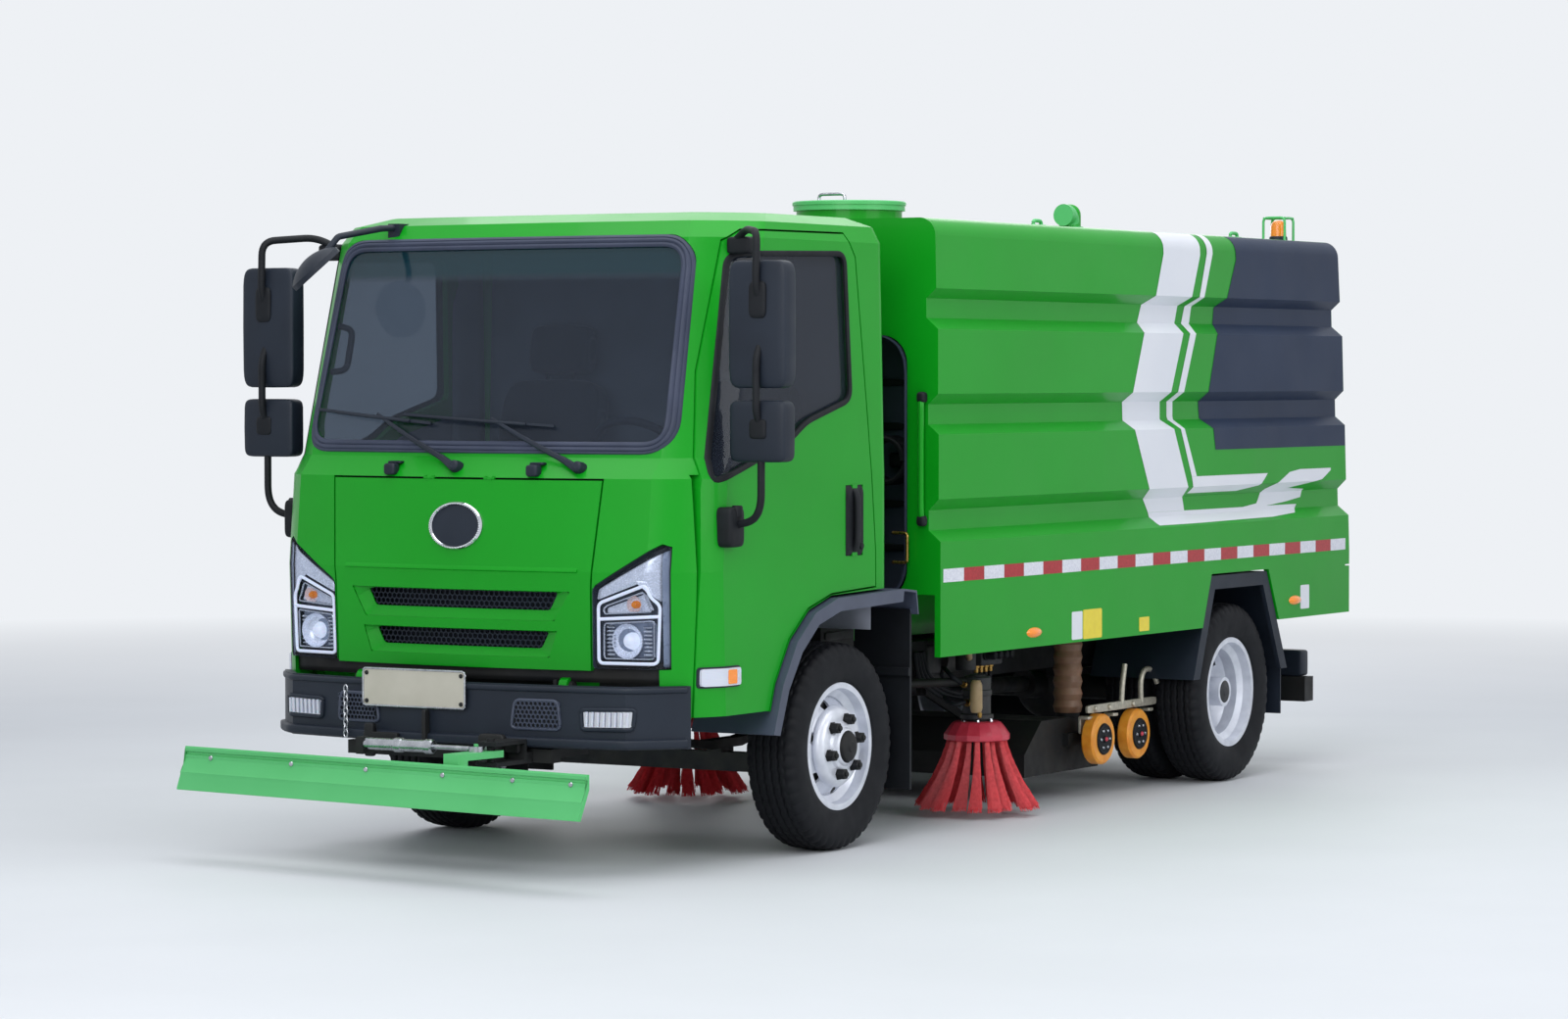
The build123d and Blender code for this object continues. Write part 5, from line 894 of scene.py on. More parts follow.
def lamp_bar(start, end, lift, radius, steps, count=6):
    """A thin round bar on the lamp between two points seen from ahead."""
    return swept(on_front(np.linspace(start, end, count), lift), ring_section(radius, steps))


def fan(ring, middle_lift=0.0, rings=8):
    """An open sheet from a closed outline to its middle, following the cab's front surface."""
    share = np.linspace(1, 0, rings + 1)[:, None, None]
    flat = ring[..., [0, 2]]
    inner = flat.mean(0) + share * (flat - flat.mean(0))
    lift = cab_front(ring[:, 0], ring[:, 2]) - ring[:, 1]
    return skinned(on_front(inner, lift[None, :] + (1 - share[..., 0]) * middle_lift))


lamp_cover = piece(
    "headlamp_covers", LAMP_COVER, "cab", both_sides(fan(lamp_ring(LAMP_EDGE, 0.003))), **FRONT_SHEET
)
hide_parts("headlamps")
# housing: side walls from the cover's edge to the back, and the back itself
walls = np.stack([lamp_ring(LAMP_EDGE, lift) for lift in (0.003, -0.012, -0.050)])
tray = both_sides([skinned(walls), fan(lamp_ring(LAMP_EDGE, -0.050))])
piece("headlamp_trays", LAMP_TRAY, "cab", tray, out=FORWARD)
upper_panel = fan(lamp_ring([
    (0.566, 0.962), (0.752, 1.034), (0.772, 0.985), (0.797, 0.955), (0.799, 1.130), (0.574, 1.000)
], -0.014, 0.008), 0.006)
side_panel = fan(lamp_ring(
    [(0.801, 0.730), (0.820, 0.730), (0.822, 1.140), (0.801, 1.130)], -0.004, 0.004
))
piece("headlamp_upper_panels", BRIGHT_TRIM, "cab", both_sides(upper_panel), **FRONT_SHEET)
piece("headlamp_side_panels", BLUE_TRIM, "cab", both_sides(side_panel), **FRONT_SHEET)
# running-light guide: a bright tube round the chambers and across between them
piece("running_light_guides", GUIDE_LIGHT, "cab", both_sides([
    swept(lamp_ring(CHAMBER_LINE, -0.010, 0.018, 140), ring_section(0.0060, 10), closed=True),
    lamp_bar((0.572, 0.896), (0.788, 0.908), -0.010, 0.006, 10, 16),
]))
# thin bright bezel inside the guide of each chamber
piece("chamber_bezels", CHROME, "cab", both_sides([
    swept(lamp_ring(corners, -0.020, 0.01, 100), ring_section(0.0035, 8), closed=True)
    for corners in (
        [(0.588, 0.914), (0.588, 0.938), (0.737, 0.993), (0.748, 0.962), (0.766, 0.925)],
        [(0.586, 0.758), (0.768, 0.758), (0.770, 0.892), (0.588, 0.880)],
    )
]))
# reflectors: a turn signal above, and a main reflector with a lens below
signal_floor = plate(
    lamp_ring([(0.590, 0.916), (0.590, 0.934), (0.733, 0.986), (0.762, 0.928)], -0.040, 0.006, 60),
    (0, 0.003, 0), 4,
)
main_floor = plate(
    lamp_ring([(0.588, 0.762), (0.764, 0.762), (0.766, 0.886), (0.590, 0.876)], -0.046, 0.01, 60),
    (0, 0.003, 0), 4,
)
piece("lamp_reflectors", BRIGHT_TRIM, "cab", both_sides([
    turned(
        [(0.030, 0.024), (0.027, 0.014), (0.020, 0.004), (0.010, 0.0), (0, 0.0)],
        on_front(SIGNAL_AT, -0.044), FORWARD, 28,
    ),
    signal_floor,
    turned(
        [(0.062, 0.034), (0.058, 0.020), (0.048, 0.008), (0.036, 0.0), (0.028, 0.0)],
        on_front(MAIN_AT, -0.048), FORWARD, 40,
    ),
]), "steel")
piece("main_lamp_floors", BLUE_TRIM, "cab", both_sides(main_floor), "steel")
# level ribs that fill the main reflector's corners
piece("reflector_ribs", CHROME, "cab", both_sides([
    lamp_bar((x, z), (x + 0.030, z), -0.032, 0.0045, 8)
    for x in (0.592, 0.728) for z in np.linspace(0.772, 0.868, 8)
]))
piece("projector_lenses", GUIDE_LIGHT, "cab", both_sides(turned([
    (0, 0.034), (0.012, 0.032), (0.022, 0.024), (0.028, 0.012), (0.030, 0.002), (0.034, -0.002),
    (0.034, -0.010), (0, -0.010),
], on_front(MAIN_AT, -0.048), FORWARD, 36)))
piece("signal_bulbs", AMBER_LENS, "cab", both_sides(turned(
    [(0, 0.030), (0.008, 0.028), (0.014, 0.018), (0.014, 0.0), (0, 0.0)],
    on_front(SIGNAL_AT, -0.042), FORWARD, 24,
)))

# dark apron under the flap, set back from the cab's front
apron_xz = np.stack(np.meshgrid(np.linspace(-0.850, 0.850, 43), np.linspace(0.672, 0.748, 5)), -1)
apron = skinned(on_front(apron_xz, -0.020), False, False)
piece("front_apron", FRAME_COAT, "cab", apron, thick=0.004, out=FORWARD)

# ---------------------------------------------------------------- bumper fittings
BEND_X = 0.720                   # where the bumper's ends begin to bend back


def bumper_front(x):
    """y of the bumper's face: a bow that grows with the square of x, and then a bend back to
    the bumper's end."""
    bow = 0.075 * (np.minimum(np.abs(x), BEND_X) / BEND_X) ** 2
    past = np.clip((np.abs(x) - BEND_X) / 0.081, 0, None)
    return AXLE - 1.262 + bow + 0.071 * past + 0.0135 * past * (past - 1)


def on_bumper(xz, lift=0.0):
    """Points of a front view laid on the bumper's face."""
    xz = np.asarray(xz, float)
    return np.stack([xz[..., 0], bumper_front(xz[..., 0]) - lift, xz[..., 1]], -1)


def bumper_bar(low, high, lift, half=0.874, count=96):
    """A moulded bar along the bumper's face between two heights."""
    x = np.linspace(-half, half, count)
    path = on_bumper(np.stack([x, np.full(count, (low + high) / 2)], -1), lift / 2)
    tall = (high - low) / 2
    section = [(-lift, -tall), (lift, -tall * 0.7), (lift, tall * 0.7), (-lift, tall)]
    return swept(path, rounded(section, 0.006, 4), FORWARD)


piece("bumper_lip", MOULDED_PLASTIC, "chassis", [
    bumper_bar(0.446, 0.486, 0.014), bumper_bar(0.640, 0.664, 0.006)
])
VENT_CELL = 0.017
vent_line = outlined([(0.285, 0.512), (0.478, 0.512), (0.468, 0.612), (0.300, 0.612)], 0.02, 6, 80)
row, column = np.meshgrid(np.arange(6), np.arange(10), indexing="ij")
cells = np.stack([0.308 + (column + 0.5 * (row % 2)) * VENT_CELL, 0.524 + row * VENT_CELL * 0.9], -1)
piece("bumper_vents", FLARE_PLASTIC, "chassis", both_sides([
    swept(on_bumper(vent_line, 0.002), ring_section(0.006, 8), closed=True),
    honeycomb_of(VENT_CELL, 0.78, 0.8, 0.006, on_bumper(cells.reshape(-1, 2), 0.0075)),
]))
# black sheet behind the honeycomb: painted shade of the vent's open depth behind it
shade_sheet = laid(vent_line, on_bumper, 0.0012, 0.003)
piece("vent_shade_sheets", TRIM_RUBBER, "chassis", both_sides(shade_sheet))
# fog lamps: a ribbed clear lens in a dark frame
fog_line = outlined([(0.562, 0.516), (0.742, 0.518), (0.748, 0.588), (0.558, 0.584)], 0.012, 5, 80)
fog_bezel = swept(on_bumper(fog_line, 0.004), ring_section(0.008, 8), closed=True)
fog_face = laid(fog_line, on_bumper, 0.004, 0.006)
piece("fog_lamp_bezels", MOULDED_PLASTIC, "chassis", both_sides(fog_bezel))
piece("fog_lamp_faces", CHROME, "chassis", both_sides(fog_face), "lamp_glass")
piece("fog_lamp_ribs", WHITE_LENS, "chassis", both_sides([
    swept(on_bumper(np.linspace((x, 0.526), (x + 0.002, 0.578), 6), 0.008), ring_section(0.0050, 8))
    for x in np.linspace(0.580, 0.728, 8)
]))

# cheek plates, pivot eye and lifting chain of the deflector bar, ahead of the bumper
piece("bar_cheeks", FRAME_COAT, "chassis", blocks(
    ((0.232, -1.292, 0.440), (0.110, 0.028, 0.104), 0.3),
    ((0.310, -1.288, 0.452), (0.070, 0.020, 0.050), 0.3),
    ((-0.060, -1.284, 0.500), (0.016, 0.030, 0.130), 0.25),
    ((-0.250, -1.288, 0.468), (0.150, 0.022, 0.022), 0.3),
    ((-0.300, -1.286, 0.450), (0.040, 0.026, 0.120), 0.3),
))
eye_at = (0.222, AXLE - 1.306, 0.440)
piece("bar_pivot_eye", GROUND_STEEL, "chassis", [
    turned(
        [(0.014, 0.0), (0.014, 0.008), (0.024, 0.008), (0.027, 0.004), (0.027, 0.0)], eye_at, FORWARD, 28
    ),
    button(0.009, 0.011, 0.006, 0.003, 0.0, eye_at, FORWARD, 16),
])
link_turn = np.linspace(0, 2 * np.pi, 20, endpoint=False)
across = 0.008 * np.cos(link_turn)
piece("lifting_chain", GROUND_STEEL, "chassis", [
    swept(
        np.stack([
            -0.420 + across * (k % 2 == 0), AXLE - 1.258 + across * (k % 2),
            0.625 - 0.020 * k + 0.014 * np.sin(link_turn),
        ], -1) - (0, 0.012, 0),
        ring_section(0.0026, 6), closed=True,
    )
    for k in range(9)
])

# number plate without characters, in its pressed frame, on two stays
PLATE_Y = AXLE - 1.276
plate_ring = facing(rectangle((-0.338, 0.572), (0.104, 0.704), 0.012, 120), PLATE_Y)
piece("plate_face", BLANK_PLATE, "chassis", plate(plate_ring, (0, 0.003, 0), 2))
piece("plate_frame", GROUND_STEEL, "chassis", swept(plate_ring, ring_section(0.004, 8), closed=True))
piece("plate_bolts", FRAME_COAT, "chassis", [
    button(0.005, 0.008, 0.006, 0.003, -0.004, (x, PLATE_Y, z), FORWARD)
    for x in (-0.322, 0.088) for z in (0.588, 0.688)
])
piece("plate_stays", FRAME_COAT, "chassis", [
    block((x, PLATE_Y + 0.020, 0.640), (0.030, 0.034, 0.090), 0.25) for x in (-0.250, 0.010)
])

# ---------------------------------------------------------------- doors, side lamps and handles
MARKER_PADS = (
    # name, finish, low and high corner as (y from the axle, z), radius, lift, thickness
    ("marker", WHITE_LENS, (-0.972, 0.660), (-0.782, 0.722), 0.010, 0.013, 0.016),
    ("amber", AMBER_LENS, (-0.868, 0.666), (-0.812, 0.716), 0.006, 0.0155, 0.010),
    ("foot", MOULDED_PLASTIC, (-0.980, 0.654), (-0.774, 0.728), 0.012, 0.004, 0.008),
)
for name, finish, low, high, radius, lift, thick in MARKER_PADS:
    line = rectangle((AXLE + low[0], low[1]), (AXLE + high[0], high[1]), radius, 60)
    pair(f"side_{name}", finish, "{}_door", laid(line, on_door, lift, thick))

WINDOW_CORNERS = [
    (-0.925, 1.368), (-0.735, 1.419), (-0.420, 1.510), (-0.295, 1.578), (0.022, 1.656),
    (-0.004, 2.196), (-0.725, 2.180),
]
WINDOW_SECTION = np.array([(-13, -8), (-13, 1), (-8, 4), (-2, 5), (4, 4), (7, 0), (7, -8)]) / 1000
window_yz = flanked(outlined(WINDOW_CORNERS, 0.05, 7, 220), WINDOW_SECTION) + (AXLE, 0)
window_trim = skinned(on_door(window_yz, WINDOW_SECTION[None, :, 1]), True)
pair("window_seal", TRIM_RUBBER, "{}_door", window_trim, "black_rubber")

pull_path = from_axle([
    (0.928, 0.028, 1.100), (0.946, 0.028, 1.122), (0.949, 0.028, 1.215), (0.946, 0.028, 1.308),
    (0.928, 0.028, 1.330),
])
pull_section = rounded([(-8, -15), (8, -15), (8, 15), (-8, 15)], 6, 4) / 1000
cup_line = rectangle((AXLE - 0.032, 1.082), (AXLE + 0.098, 1.348), 0.020, 60)
pair("door_pull", TRIM_RUBBER, "{}_door", [
    swept(spaced(rounded(pull_path, 0.03, 6, closed=False), 40), pull_section, LEFTWARD),
    plate(sideways(cup_line, 0.9365), (-0.030, 0, 0), 2, 0.12),
    button(0.011, 0.013, 0.006, 0.003, -0.006, (0.9365, AXLE + 0.074, 1.120), LEFTWARD, 20),
])

# ---------------------------------------------------------------- mirrors
MIRROR_X, MIRROR_Y = 1.066, AXLE - 0.846
ROD_X, ROD_RADIUS = 1.076, 0.0135


def mirror_head(low, high, half, depth=0.092):
    """A mirror's shell: a rounded block whose back swells with the product of two cosines."""
    points, faces = block((0, 0, 0), (2, 2, 2), 0.22)
    x, y, z = points[..., 0], points[..., 1], points[..., 2]
    dome = 0.72 + 0.28 * np.cos(x * 1.3) * np.cos(z * 1.3)
    y = np.where(y < 0, y * dome, y)
    size = np.array((half, depth / 2, (high - low) / 2))
    return np.stack([x, y, z], -1) * size + (MIRROR_X, MIRROR_Y, (low + high) / 2), faces


mirror_heads = gathered([mirror_head(1.702, 2.148, 0.118), mirror_head(1.444, 1.660, 0.114)])
mirror_rod = gathered([
    pipe([
        (0.855, AXLE - 0.700, 2.212), (0.940, AXLE - 0.740, 2.262), (ROD_X, MIRROR_Y - 0.050, 2.246),
        (ROD_X, MIRROR_Y - 0.056, 2.060), (ROD_X, MIRROR_Y - 0.034, 2.010),
    ], ROD_RADIUS, 0.05, 60, 14),
    pipe([
        (ROD_X, MIRROR_Y - 0.030, 1.850), (ROD_X, MIRROR_Y - 0.054, 1.800),
        (ROD_X, MIRROR_Y - 0.054, 1.620), (ROD_X, MIRROR_Y - 0.030, 1.575),
    ], ROD_RADIUS, 0.03, 40, 14),
    pipe([
        (ROD_X, MIRROR_Y - 0.020, 1.500), (ROD_X, MIRROR_Y - 0.020, 1.290),
        (1.040, AXLE - 0.858, 1.238), (0.960, AXLE - 0.850, 1.224),
    ], ROD_RADIUS, 0.05, 50, 14),
    block((ROD_X, MIRROR_Y - 0.036, 2.010), (0.070, 0.034, 0.130), 0.4),
    block((ROD_X, MIRROR_Y - 0.034, 1.560), (0.070, 0.032, 0.070), 0.4),
    block((0.896, AXLE - 0.700, 2.206), (0.100, 0.062, 0.062), 0.35),
    block((0.936, AXLE - 0.856, 1.216), (0.084, 0.096, 0.142), 0.3),
    button(0.016, 0.020, 0.030, 0.024, -0.010, (0.968, AXLE - 0.850, 1.262), UP, 20),
])
panes = gathered([
    plate(
        facing(rectangle((MIRROR_X - half, low), (MIRROR_X + half, high), 0.03), MIRROR_Y + 0.0475),
        (0, -0.003, 0), 3, 0.04,
    )
    for half, low, high in ((0.100, 1.720, 2.130), (0.096, 1.460, 1.644))
])
for name in ("left", "right"):
    parts = [mirror_heads, mirror_rod, panes]
    heads, rod, glass = parts if name == "left" else [turned_over(part) for part in parts]
    shell = piece(f"mirror_heads_{name}", MOULDED_PLASTIC, f"{name}_door", heads)
    rods = piece(f"mirror_rods_{name}", TRIM_RUBBER, f"{name}_door", rod)
    piece(f"mirror_glass_{name}", MIRROR_SILVER, f"{name}_door", glass)
    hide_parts(f"mirror_{name}")
    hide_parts(f"mirror_{name}")

# ---------------------------------------------------------------- cab interior
PADS = (
    # part, y and z of its centre, size, lean, crown, sewn grooves
    ("cushion", AXLE - 0.170, 1.150, (0.460, 0.480, 0.130), 0.05, 0.25, 1.5),
    ("back", AXLE + 0.055, 1.465, (0.450, 0.540, 0.120), 1.33, 0.22, 2.5),
    ("headrest", AXLE + 0.150, 1.845, (0.270, 0.190, 0.100), 1.42, 0.2, 0.5),
)


def cushion(centre, size, lean, crown, stitch):
    """A stuffed pad: a rounded block whose faces swell by the product of two cosines, with sewn
    grooves across it at even steps, leant back about X."""
    points, faces = block((0, 0, 0), (2, 2, 2), 0.35)
    x, y, z = points[..., 0], points[..., 1], points[..., 2]
    swell = 1 + crown * np.cos(x * np.pi / 2) * np.cos(y * np.pi / 2)
    groove = 1 - 0.05 * np.exp(-((np.abs(y * stitch) % 1.0 - 0.5) / 0.08) ** 2)
    points = np.stack([x, y, z * swell * groove], -1) * np.asarray(size) / 2
    c, s = np.cos(lean), np.sin(lean)
    turn = np.array([(1, 0, 0), (0, c, -s), (0, s, c)])
    return points @ turn.T + np.asarray(centre), faces


for x, name in ((0.430, "left"), (-0.430, "right")):
    for part, y, z, size, lean, crown, stitch in PADS:
        shape = cushion((x, y, z), size, lean, crown, stitch)
        pad = piece(f"seat_{part}_{name}", SEAT_CLOTH, "cab", shape, level=1)
        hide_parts("seats")
    piece(f"seat_base_{name}", MOULDED_PLASTIC, "cab", [
        block((x, AXLE - 0.180, 1.050), (0.400, 0.400, 0.072), 0.2),
        *(
            pipe(from_axle([(post, 0.120, 1.700), (post, 0.150, 1.800)]), 0.006, 0.01, 6)
            for post in (x - 0.06, x + 0.06)
        ),
    ])


def lining(first, second, wave):
    """An open sheet over two spans: the wave gives the third way and puts the three in order."""
    return skinned(np.stack(wave(*np.meshgrid(first, second)), -1), False, False)


# lining of the back wall, the roof and the doors below their windows
piece("back_wall_lining", TRIM_FELT, "cab", lining(
    np.linspace(-0.870, 0.870, 21), np.linspace(0.800, 2.220, 17),
    lambda x, z: (x, AXLE + 0.252 - 0.006 * np.cos(x * 12), z),
), out=FORWARD, thick=0.004)
piece("roof_lining", TRIM_FELT, "cab", lining(
    np.linspace(-0.820, 0.820, 21), AXLE + np.linspace(-0.700, 0.250, 13),
    lambda x, y: (x, y, 2.258 + 0.016 * np.cos(x * 1.9)),
), out=(0, 0, -1), thick=0.004)
pair("pillar_lining", TRIM_FELT, "cab", lining(
    AXLE + np.linspace(0.040, 0.246, 5), np.linspace(1.060, 2.220, 17),
    lambda y, z: (0.868 + 0.004 * np.cos((y - AXLE) * 14), y, z),
), out=(-1, 0, 0), thick=0.004)
door_card = rounded([
    (AXLE - 0.780, 1.060), (AXLE + 0.150, 1.060), (AXLE + 0.150, 1.620), (AXLE - 0.280, 1.520),
    (AXLE - 0.420, 1.455), (AXLE - 0.780, 1.350),
], 0.03, 5)
pair("door_card", TRIM_FELT, "{}_door", plate(sideways(door_card, 0.880), (0.006, 0, 0), 4, 0.04))

piece("grab_handle", MOULDED_PLASTIC, "cab", pipe(from_axle([
    (-0.770, -0.880, 1.760), (-0.715, -0.860, 1.765), (-0.715, -0.820, 1.915),
    (-0.770, -0.830, 1.930),
]), 0.012, 0.03, 30))

# ---------------------------------------------------------------- tyres and wheels
WHEEL_Z = 0.3835
TREAD_STEPS = 50                 # cuts and lugs round the tread
TYRE_PROFILE = np.array([
    # across, radius
    (-0.0767, 0.2245), (-0.0767, 0.2353), (-0.088, 0.2365), (-0.0945, 0.249), (-0.1008, 0.272),
    (-0.1045, 0.300), (-0.1040, 0.326), (-0.0990, 0.350), (-0.0930, 0.364), (-0.0860, 0.3740),
    (-0.0770, 0.3790), (-0.0600, 0.3815), (-0.0300, 0.3830), (0.0, 0.3835),
])


def tyre(x, y):
    """A tyre: its section carried round the axle. Four grooves run round the tread in a small
    zigzag, fine cuts cross each rib, and the shoulders carry short lugs."""
    profile = np.concatenate([TYRE_PROFILE, TYRE_PROFILE[-2::-1] * (-1, 1)])
    length = np.concatenate([[0], np.cumsum(np.linalg.norm(np.diff(profile, axis=0), axis=1))])
    fine = np.concatenate([
        np.linspace(0, length[9], 15, endpoint=False),
        np.linspace(length[9], length[-10], 57, endpoint=False),
        np.linspace(length[-10], length[-1], 15),
    ])
    turn = np.linspace(0, 2 * np.pi, 300, endpoint=False)
    a, t = np.meshgrid(np.interp(fine, length, profile[:, 0]), turn)
    r = np.tile(np.interp(fine, length, profile[:, 1]), (len(turn), 1))
    zigzag = a + 0.0022 * np.sin(t * TREAD_STEPS)
    within = (t * TREAD_STEPS / (2 * np.pi)) % 1
    grooves = sum(np.exp(-((zigzag - g) / 0.0035) ** 4) for g in (-0.046, -0.0155, 0.0155, 0.046))
    cuts = np.exp(-((within - 0.5) / 0.10) ** 4) * (np.abs(a) < 0.075)
    lugs = (np.abs(a) > 0.064) * (r > 0.352) * (within < 0.35)
    r = r - 0.0095 * np.clip(grooves, 0, 1) - 0.0025 * cuts * (grooves < 0.5) - 0.006 * lugs
    bands = sum(np.exp(-((r - g) / 0.0016) ** 2) for g in (0.262, 0.292, 0.338)) * (r < 0.352)
    a = a + np.sign(a) * 0.0012 * bands
    return skinned(np.stack([x + a, y + r * np.cos(t), WHEEL_Z + r * np.sin(t)], -1), True)


def hexagon_nut(centre, side, height, across=0.036):
    """A six-sided nut with a chamfered crown, standing out along X."""
    angle = np.radians(np.arange(0, 360, 60))
    ring = np.stack([0 * angle, np.cos(angle), np.sin(angle)], -1) * across / np.sqrt(3)
    profile = (
        # share of the radius, height
        (0, 0), (1.18, 0), (1.18, 0.004), (1, 0.005), (1, height - 0.003), (0.86, height), (0, height),
    )
    rows = [ring * share + np.array((side, 0, 0)) * out for share, out in profile]
    return skinned(np.stack(rows) + np.asarray(centre))


def around(count, radius, centre, start=0):
    """Points on an upright circle that faces sideways, from a starting angle in degrees."""
    x, y, z = centre
    angle = np.radians(np.arange(count) * (360 / count) + start)
    return np.stack([np.full(count, x), y + radius * np.cos(angle), z + radius * np.sin(angle)], -1)


def wheel_fittings(face_x, side, y, nut_reach, cap_reach, disc_reach):
    """One wheel's outer face: dark nuts on their circle with studs through them, the silver
    disc raised round the hub, the dark cap, and the brake drum seen through the hand holes."""
    hub, out = (side * face_x, y, WHEEL_Z), (side, 0, 0)
    centres = around(6, 0.1025, hub, 15)
    stud = [(0, nut_reach + 0.008), (0.008, nut_reach + 0.008), (0.010, nut_reach + 0.006), (0.010, 0)]
    inner = -disc_reach - 0.002
    return (
        gathered(
            [hexagon_nut(c, side, nut_reach) for c in centres] + [turned(stud, c, out, 12) for c in centres]
        ),
        turned([
            (0.152, inner), (0.150, -0.6 * disc_reach), (0.136, -0.1 * disc_reach), (0.126, 0.0),
            (0.092, 0.001), (0.086, 0.011), (0.080, 0.013), (0.072, 0.014), (0.066, 0.022),
            (0.060, 0.024), (0.056, inner),
        ], hub, out, 72, ring=True),
        turned([
            (0.057, 0.0), (0.057, cap_reach - 0.014), (0.052, cap_reach - 0.004), (0.044, cap_reach),
            (0.022, cap_reach + 0.003), (0.018, cap_reach + 0.007), (0, cap_reach + 0.007),
        ], hub, out, 36),
        turned(
            [(0, 0.0), (0.178, 0.0), (0.184, -0.006), (0.184, -0.110), (0, -0.110)],
            (side * (face_x - disc_reach - 0.034), y, WHEEL_Z), out, 56,
        ),
    )


AXLES = (
    # end, body, y, tyre centres, nut face, reach of nuts, cap and disc, tyre's CAD node
    ("front", "wheel_front", AXLE, (0.8025,), 0.8985, 0.032, 0.038, 0.034, "front_tyre"),
    ("rear", "wheels_rear", AXLE + 3.300, (0.826, 0.590), 0.720, 0.030, 0.168, 0.004, "rear_tyres"),
)
for end, wheel, y, centres, face_x, nut_reach, cap_reach, disc_reach, cad_tyres in AXLES:
    for side, hand in SIDES:
        name, body, cad_tyre = f"{end}_{hand}", f"{wheel}_{hand}", f"{cad_tyres}_{hand}"
        for number, x in enumerate(centres):
            shape = tyre(side * x, y)
            rubber = piece(f"tyre_{name}_{number + 1}", TYRE_RUBBER, body, shape, sharp=50)
            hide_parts(cad_tyre)
        nuts, flange, cap, drum = wheel_fittings(face_x, side, y, nut_reach, cap_reach, disc_reach)
        if end == "front":
            piece(f"brake_drum_{name}", CAST_IRON, body, drum)
        piece(f"wheel_nuts_{name}", FRAME_COAT, body, nuts, "steel")
        piece(f"hub_flange_{name}", WHEEL_ENAMEL, body, flange)
        # front caps are black powder coat; the rear caps, deep in the dished wheels, are dark cast iron in
        # place of silver, as painted shade of the dish
        cap_finish_and_shade = FRAME_COAT if end == "front" else CAST_IRON
        piece(f"hub_cap_{name}", cap_finish_and_shade, body, cap, "wheel_silver")

# ---------------------------------------------------------------- side brushes
BRUSH_X, BRUSH_Y = 0.680, AXLE + 1.440
ROOT_Z = 0.318                   # height at which the strands leave the plate
TUFTS, STRANDS, BENDS = 18, 100, 10
PLATE_FLAT = np.pi / 8           # angle of one of the cover plate's sixteen flats


def at_brush(side, points):
    """Points given from a brush's axis, with X counted outward."""
    return np.asarray(points, float) * (side, 1, 1) + (side * BRUSH_X, BRUSH_Y, 0)


def bristles(side):
    """Strands that leave the plate's rim in bundles, fan out and down and curl a little the way
    the brush turns. Each bundle opens with the square root of its strand's number, and each
    strand is a thin three-sided rod with a fine crimp along it."""
    tuft, strand = np.meshgrid(np.arange(TUFTS), np.arange(STRANDS), indexing="ij")
    swirl = strand * 2.399963    # the golden angle spreads a bundle evenly
    spread = np.sqrt((strand + 0.5) / STRANDS)
    u, v = spread * np.cos(swirl), spread * np.sin(swirl)
    inner = (tuft % 3 == 2) * 1.0
    angle = tuft * 2 * np.pi / TUFTS
    root_r = 0.106 - 0.020 * inner + 0.008 * u
    tip_r = 0.232 - 0.046 * inner + 0.024 * u
    root_a = angle + 0.008 * v / 0.106
    tip_a = angle + 0.030 * v / tip_r - 0.06 * side
    tip_z = 0.034 + 0.014 * (1 - spread) + 0.010 * np.sin(strand * 7.1)
    t = np.linspace(0, 1, BENDS)[:, None, None]
    r = root_r + (tip_r - root_r) * (0.45 * t + 0.55 * t ** 1.7)
    a = root_a + (tip_a - root_a) * t
    crimp = 0.0022 * np.sin(t * 34 + strand)
    z = np.maximum(ROOT_Z + (tip_z - ROOT_Z) * (1.08 * t - 0.08 * t ** 2), 0.026)
    line = np.stack([(r + crimp) * np.cos(a), (r + crimp) * np.sin(a), z], -1).reshape(BENDS, -1, 3)
    corner = np.radians((0, 120, 240))
    thin = np.stack([np.cos(corner), np.sin(corner), 0 * corner], -1) * 0.0014
    points = (line[:, :, None] + thin).transpose(1, 0, 2, 3)
    steps = (np.arange(len(points)) * BENDS * 3)[:, None, None]
    faces = (grid(BENDS, 3, wrap_columns=True)[None] + steps).reshape(-1, 4)
    return points.reshape(-1, 3) + np.array((side * BRUSH_X, BRUSH_Y, 0)), faces


def brush_plate(side):
    """Cover plate of a brush: a flat top and a broad band with sixteen flats, turned in below."""
    profile = np.array([
        (0.030, 0.374), (0.088, 0.373), (0.096, 0.369), (0.110, 0.354), (0.132, 0.322), (0.132, 0.302),
        (0.124, 0.298), (0.020, 0.298),
    ])
    angle = np.linspace(0, 2 * np.pi, 64, endpoint=False)
    within = (angle + PLATE_FLAT / 2) % PLATE_FLAT - PLATE_FLAT / 2
    flat = np.cos(PLATE_FLAT / 2) / np.cos(within)
    r = profile[:, :1] * np.where(profile[:, :1] > 0.09, flat[None], 1.0)
    return skinned(np.stack([
        side * BRUSH_X + r * np.cos(angle), BRUSH_Y + r * np.sin(angle),
        np.repeat(profile[:, 1:], 64, axis=1),
    ], -1), True)


def union_nut(top, wide, high, shoulder, low, centre, axis, steps=12):
    """A hose end or a coil: a neck with a bevelled tip, as in a button, on a low broader foot."""
    return turned([
        (0, high), (top, high), (wide, shoulder), (wide, low), (wide + 0.004, low - 0.002),
        (wide + 0.004, 0), (0, 0),
    ], centre, axis, steps)


MOTOR_PROFILE = [
    (0, 0.560), (0.030, 0.560), (0.034, 0.556), (0.034, 0.552), (0.050, 0.552), (0.0555, 0.546),
    (0.0555, 0.500), (0.060, 0.496), (0.060, 0.478), (0.0555, 0.474), (0.0555, 0.404), (0.066, 0.400),
    (0.066, 0.384), (0.0, 0.384),
]
SLEEVE_PROFILE = [
    (0, 0.540), (0.016, 0.540), (0.020, 0.532), (0.024, 0.520), (0.025, 0.430), (0.020, 0.412),
    (0, 0.412),
]
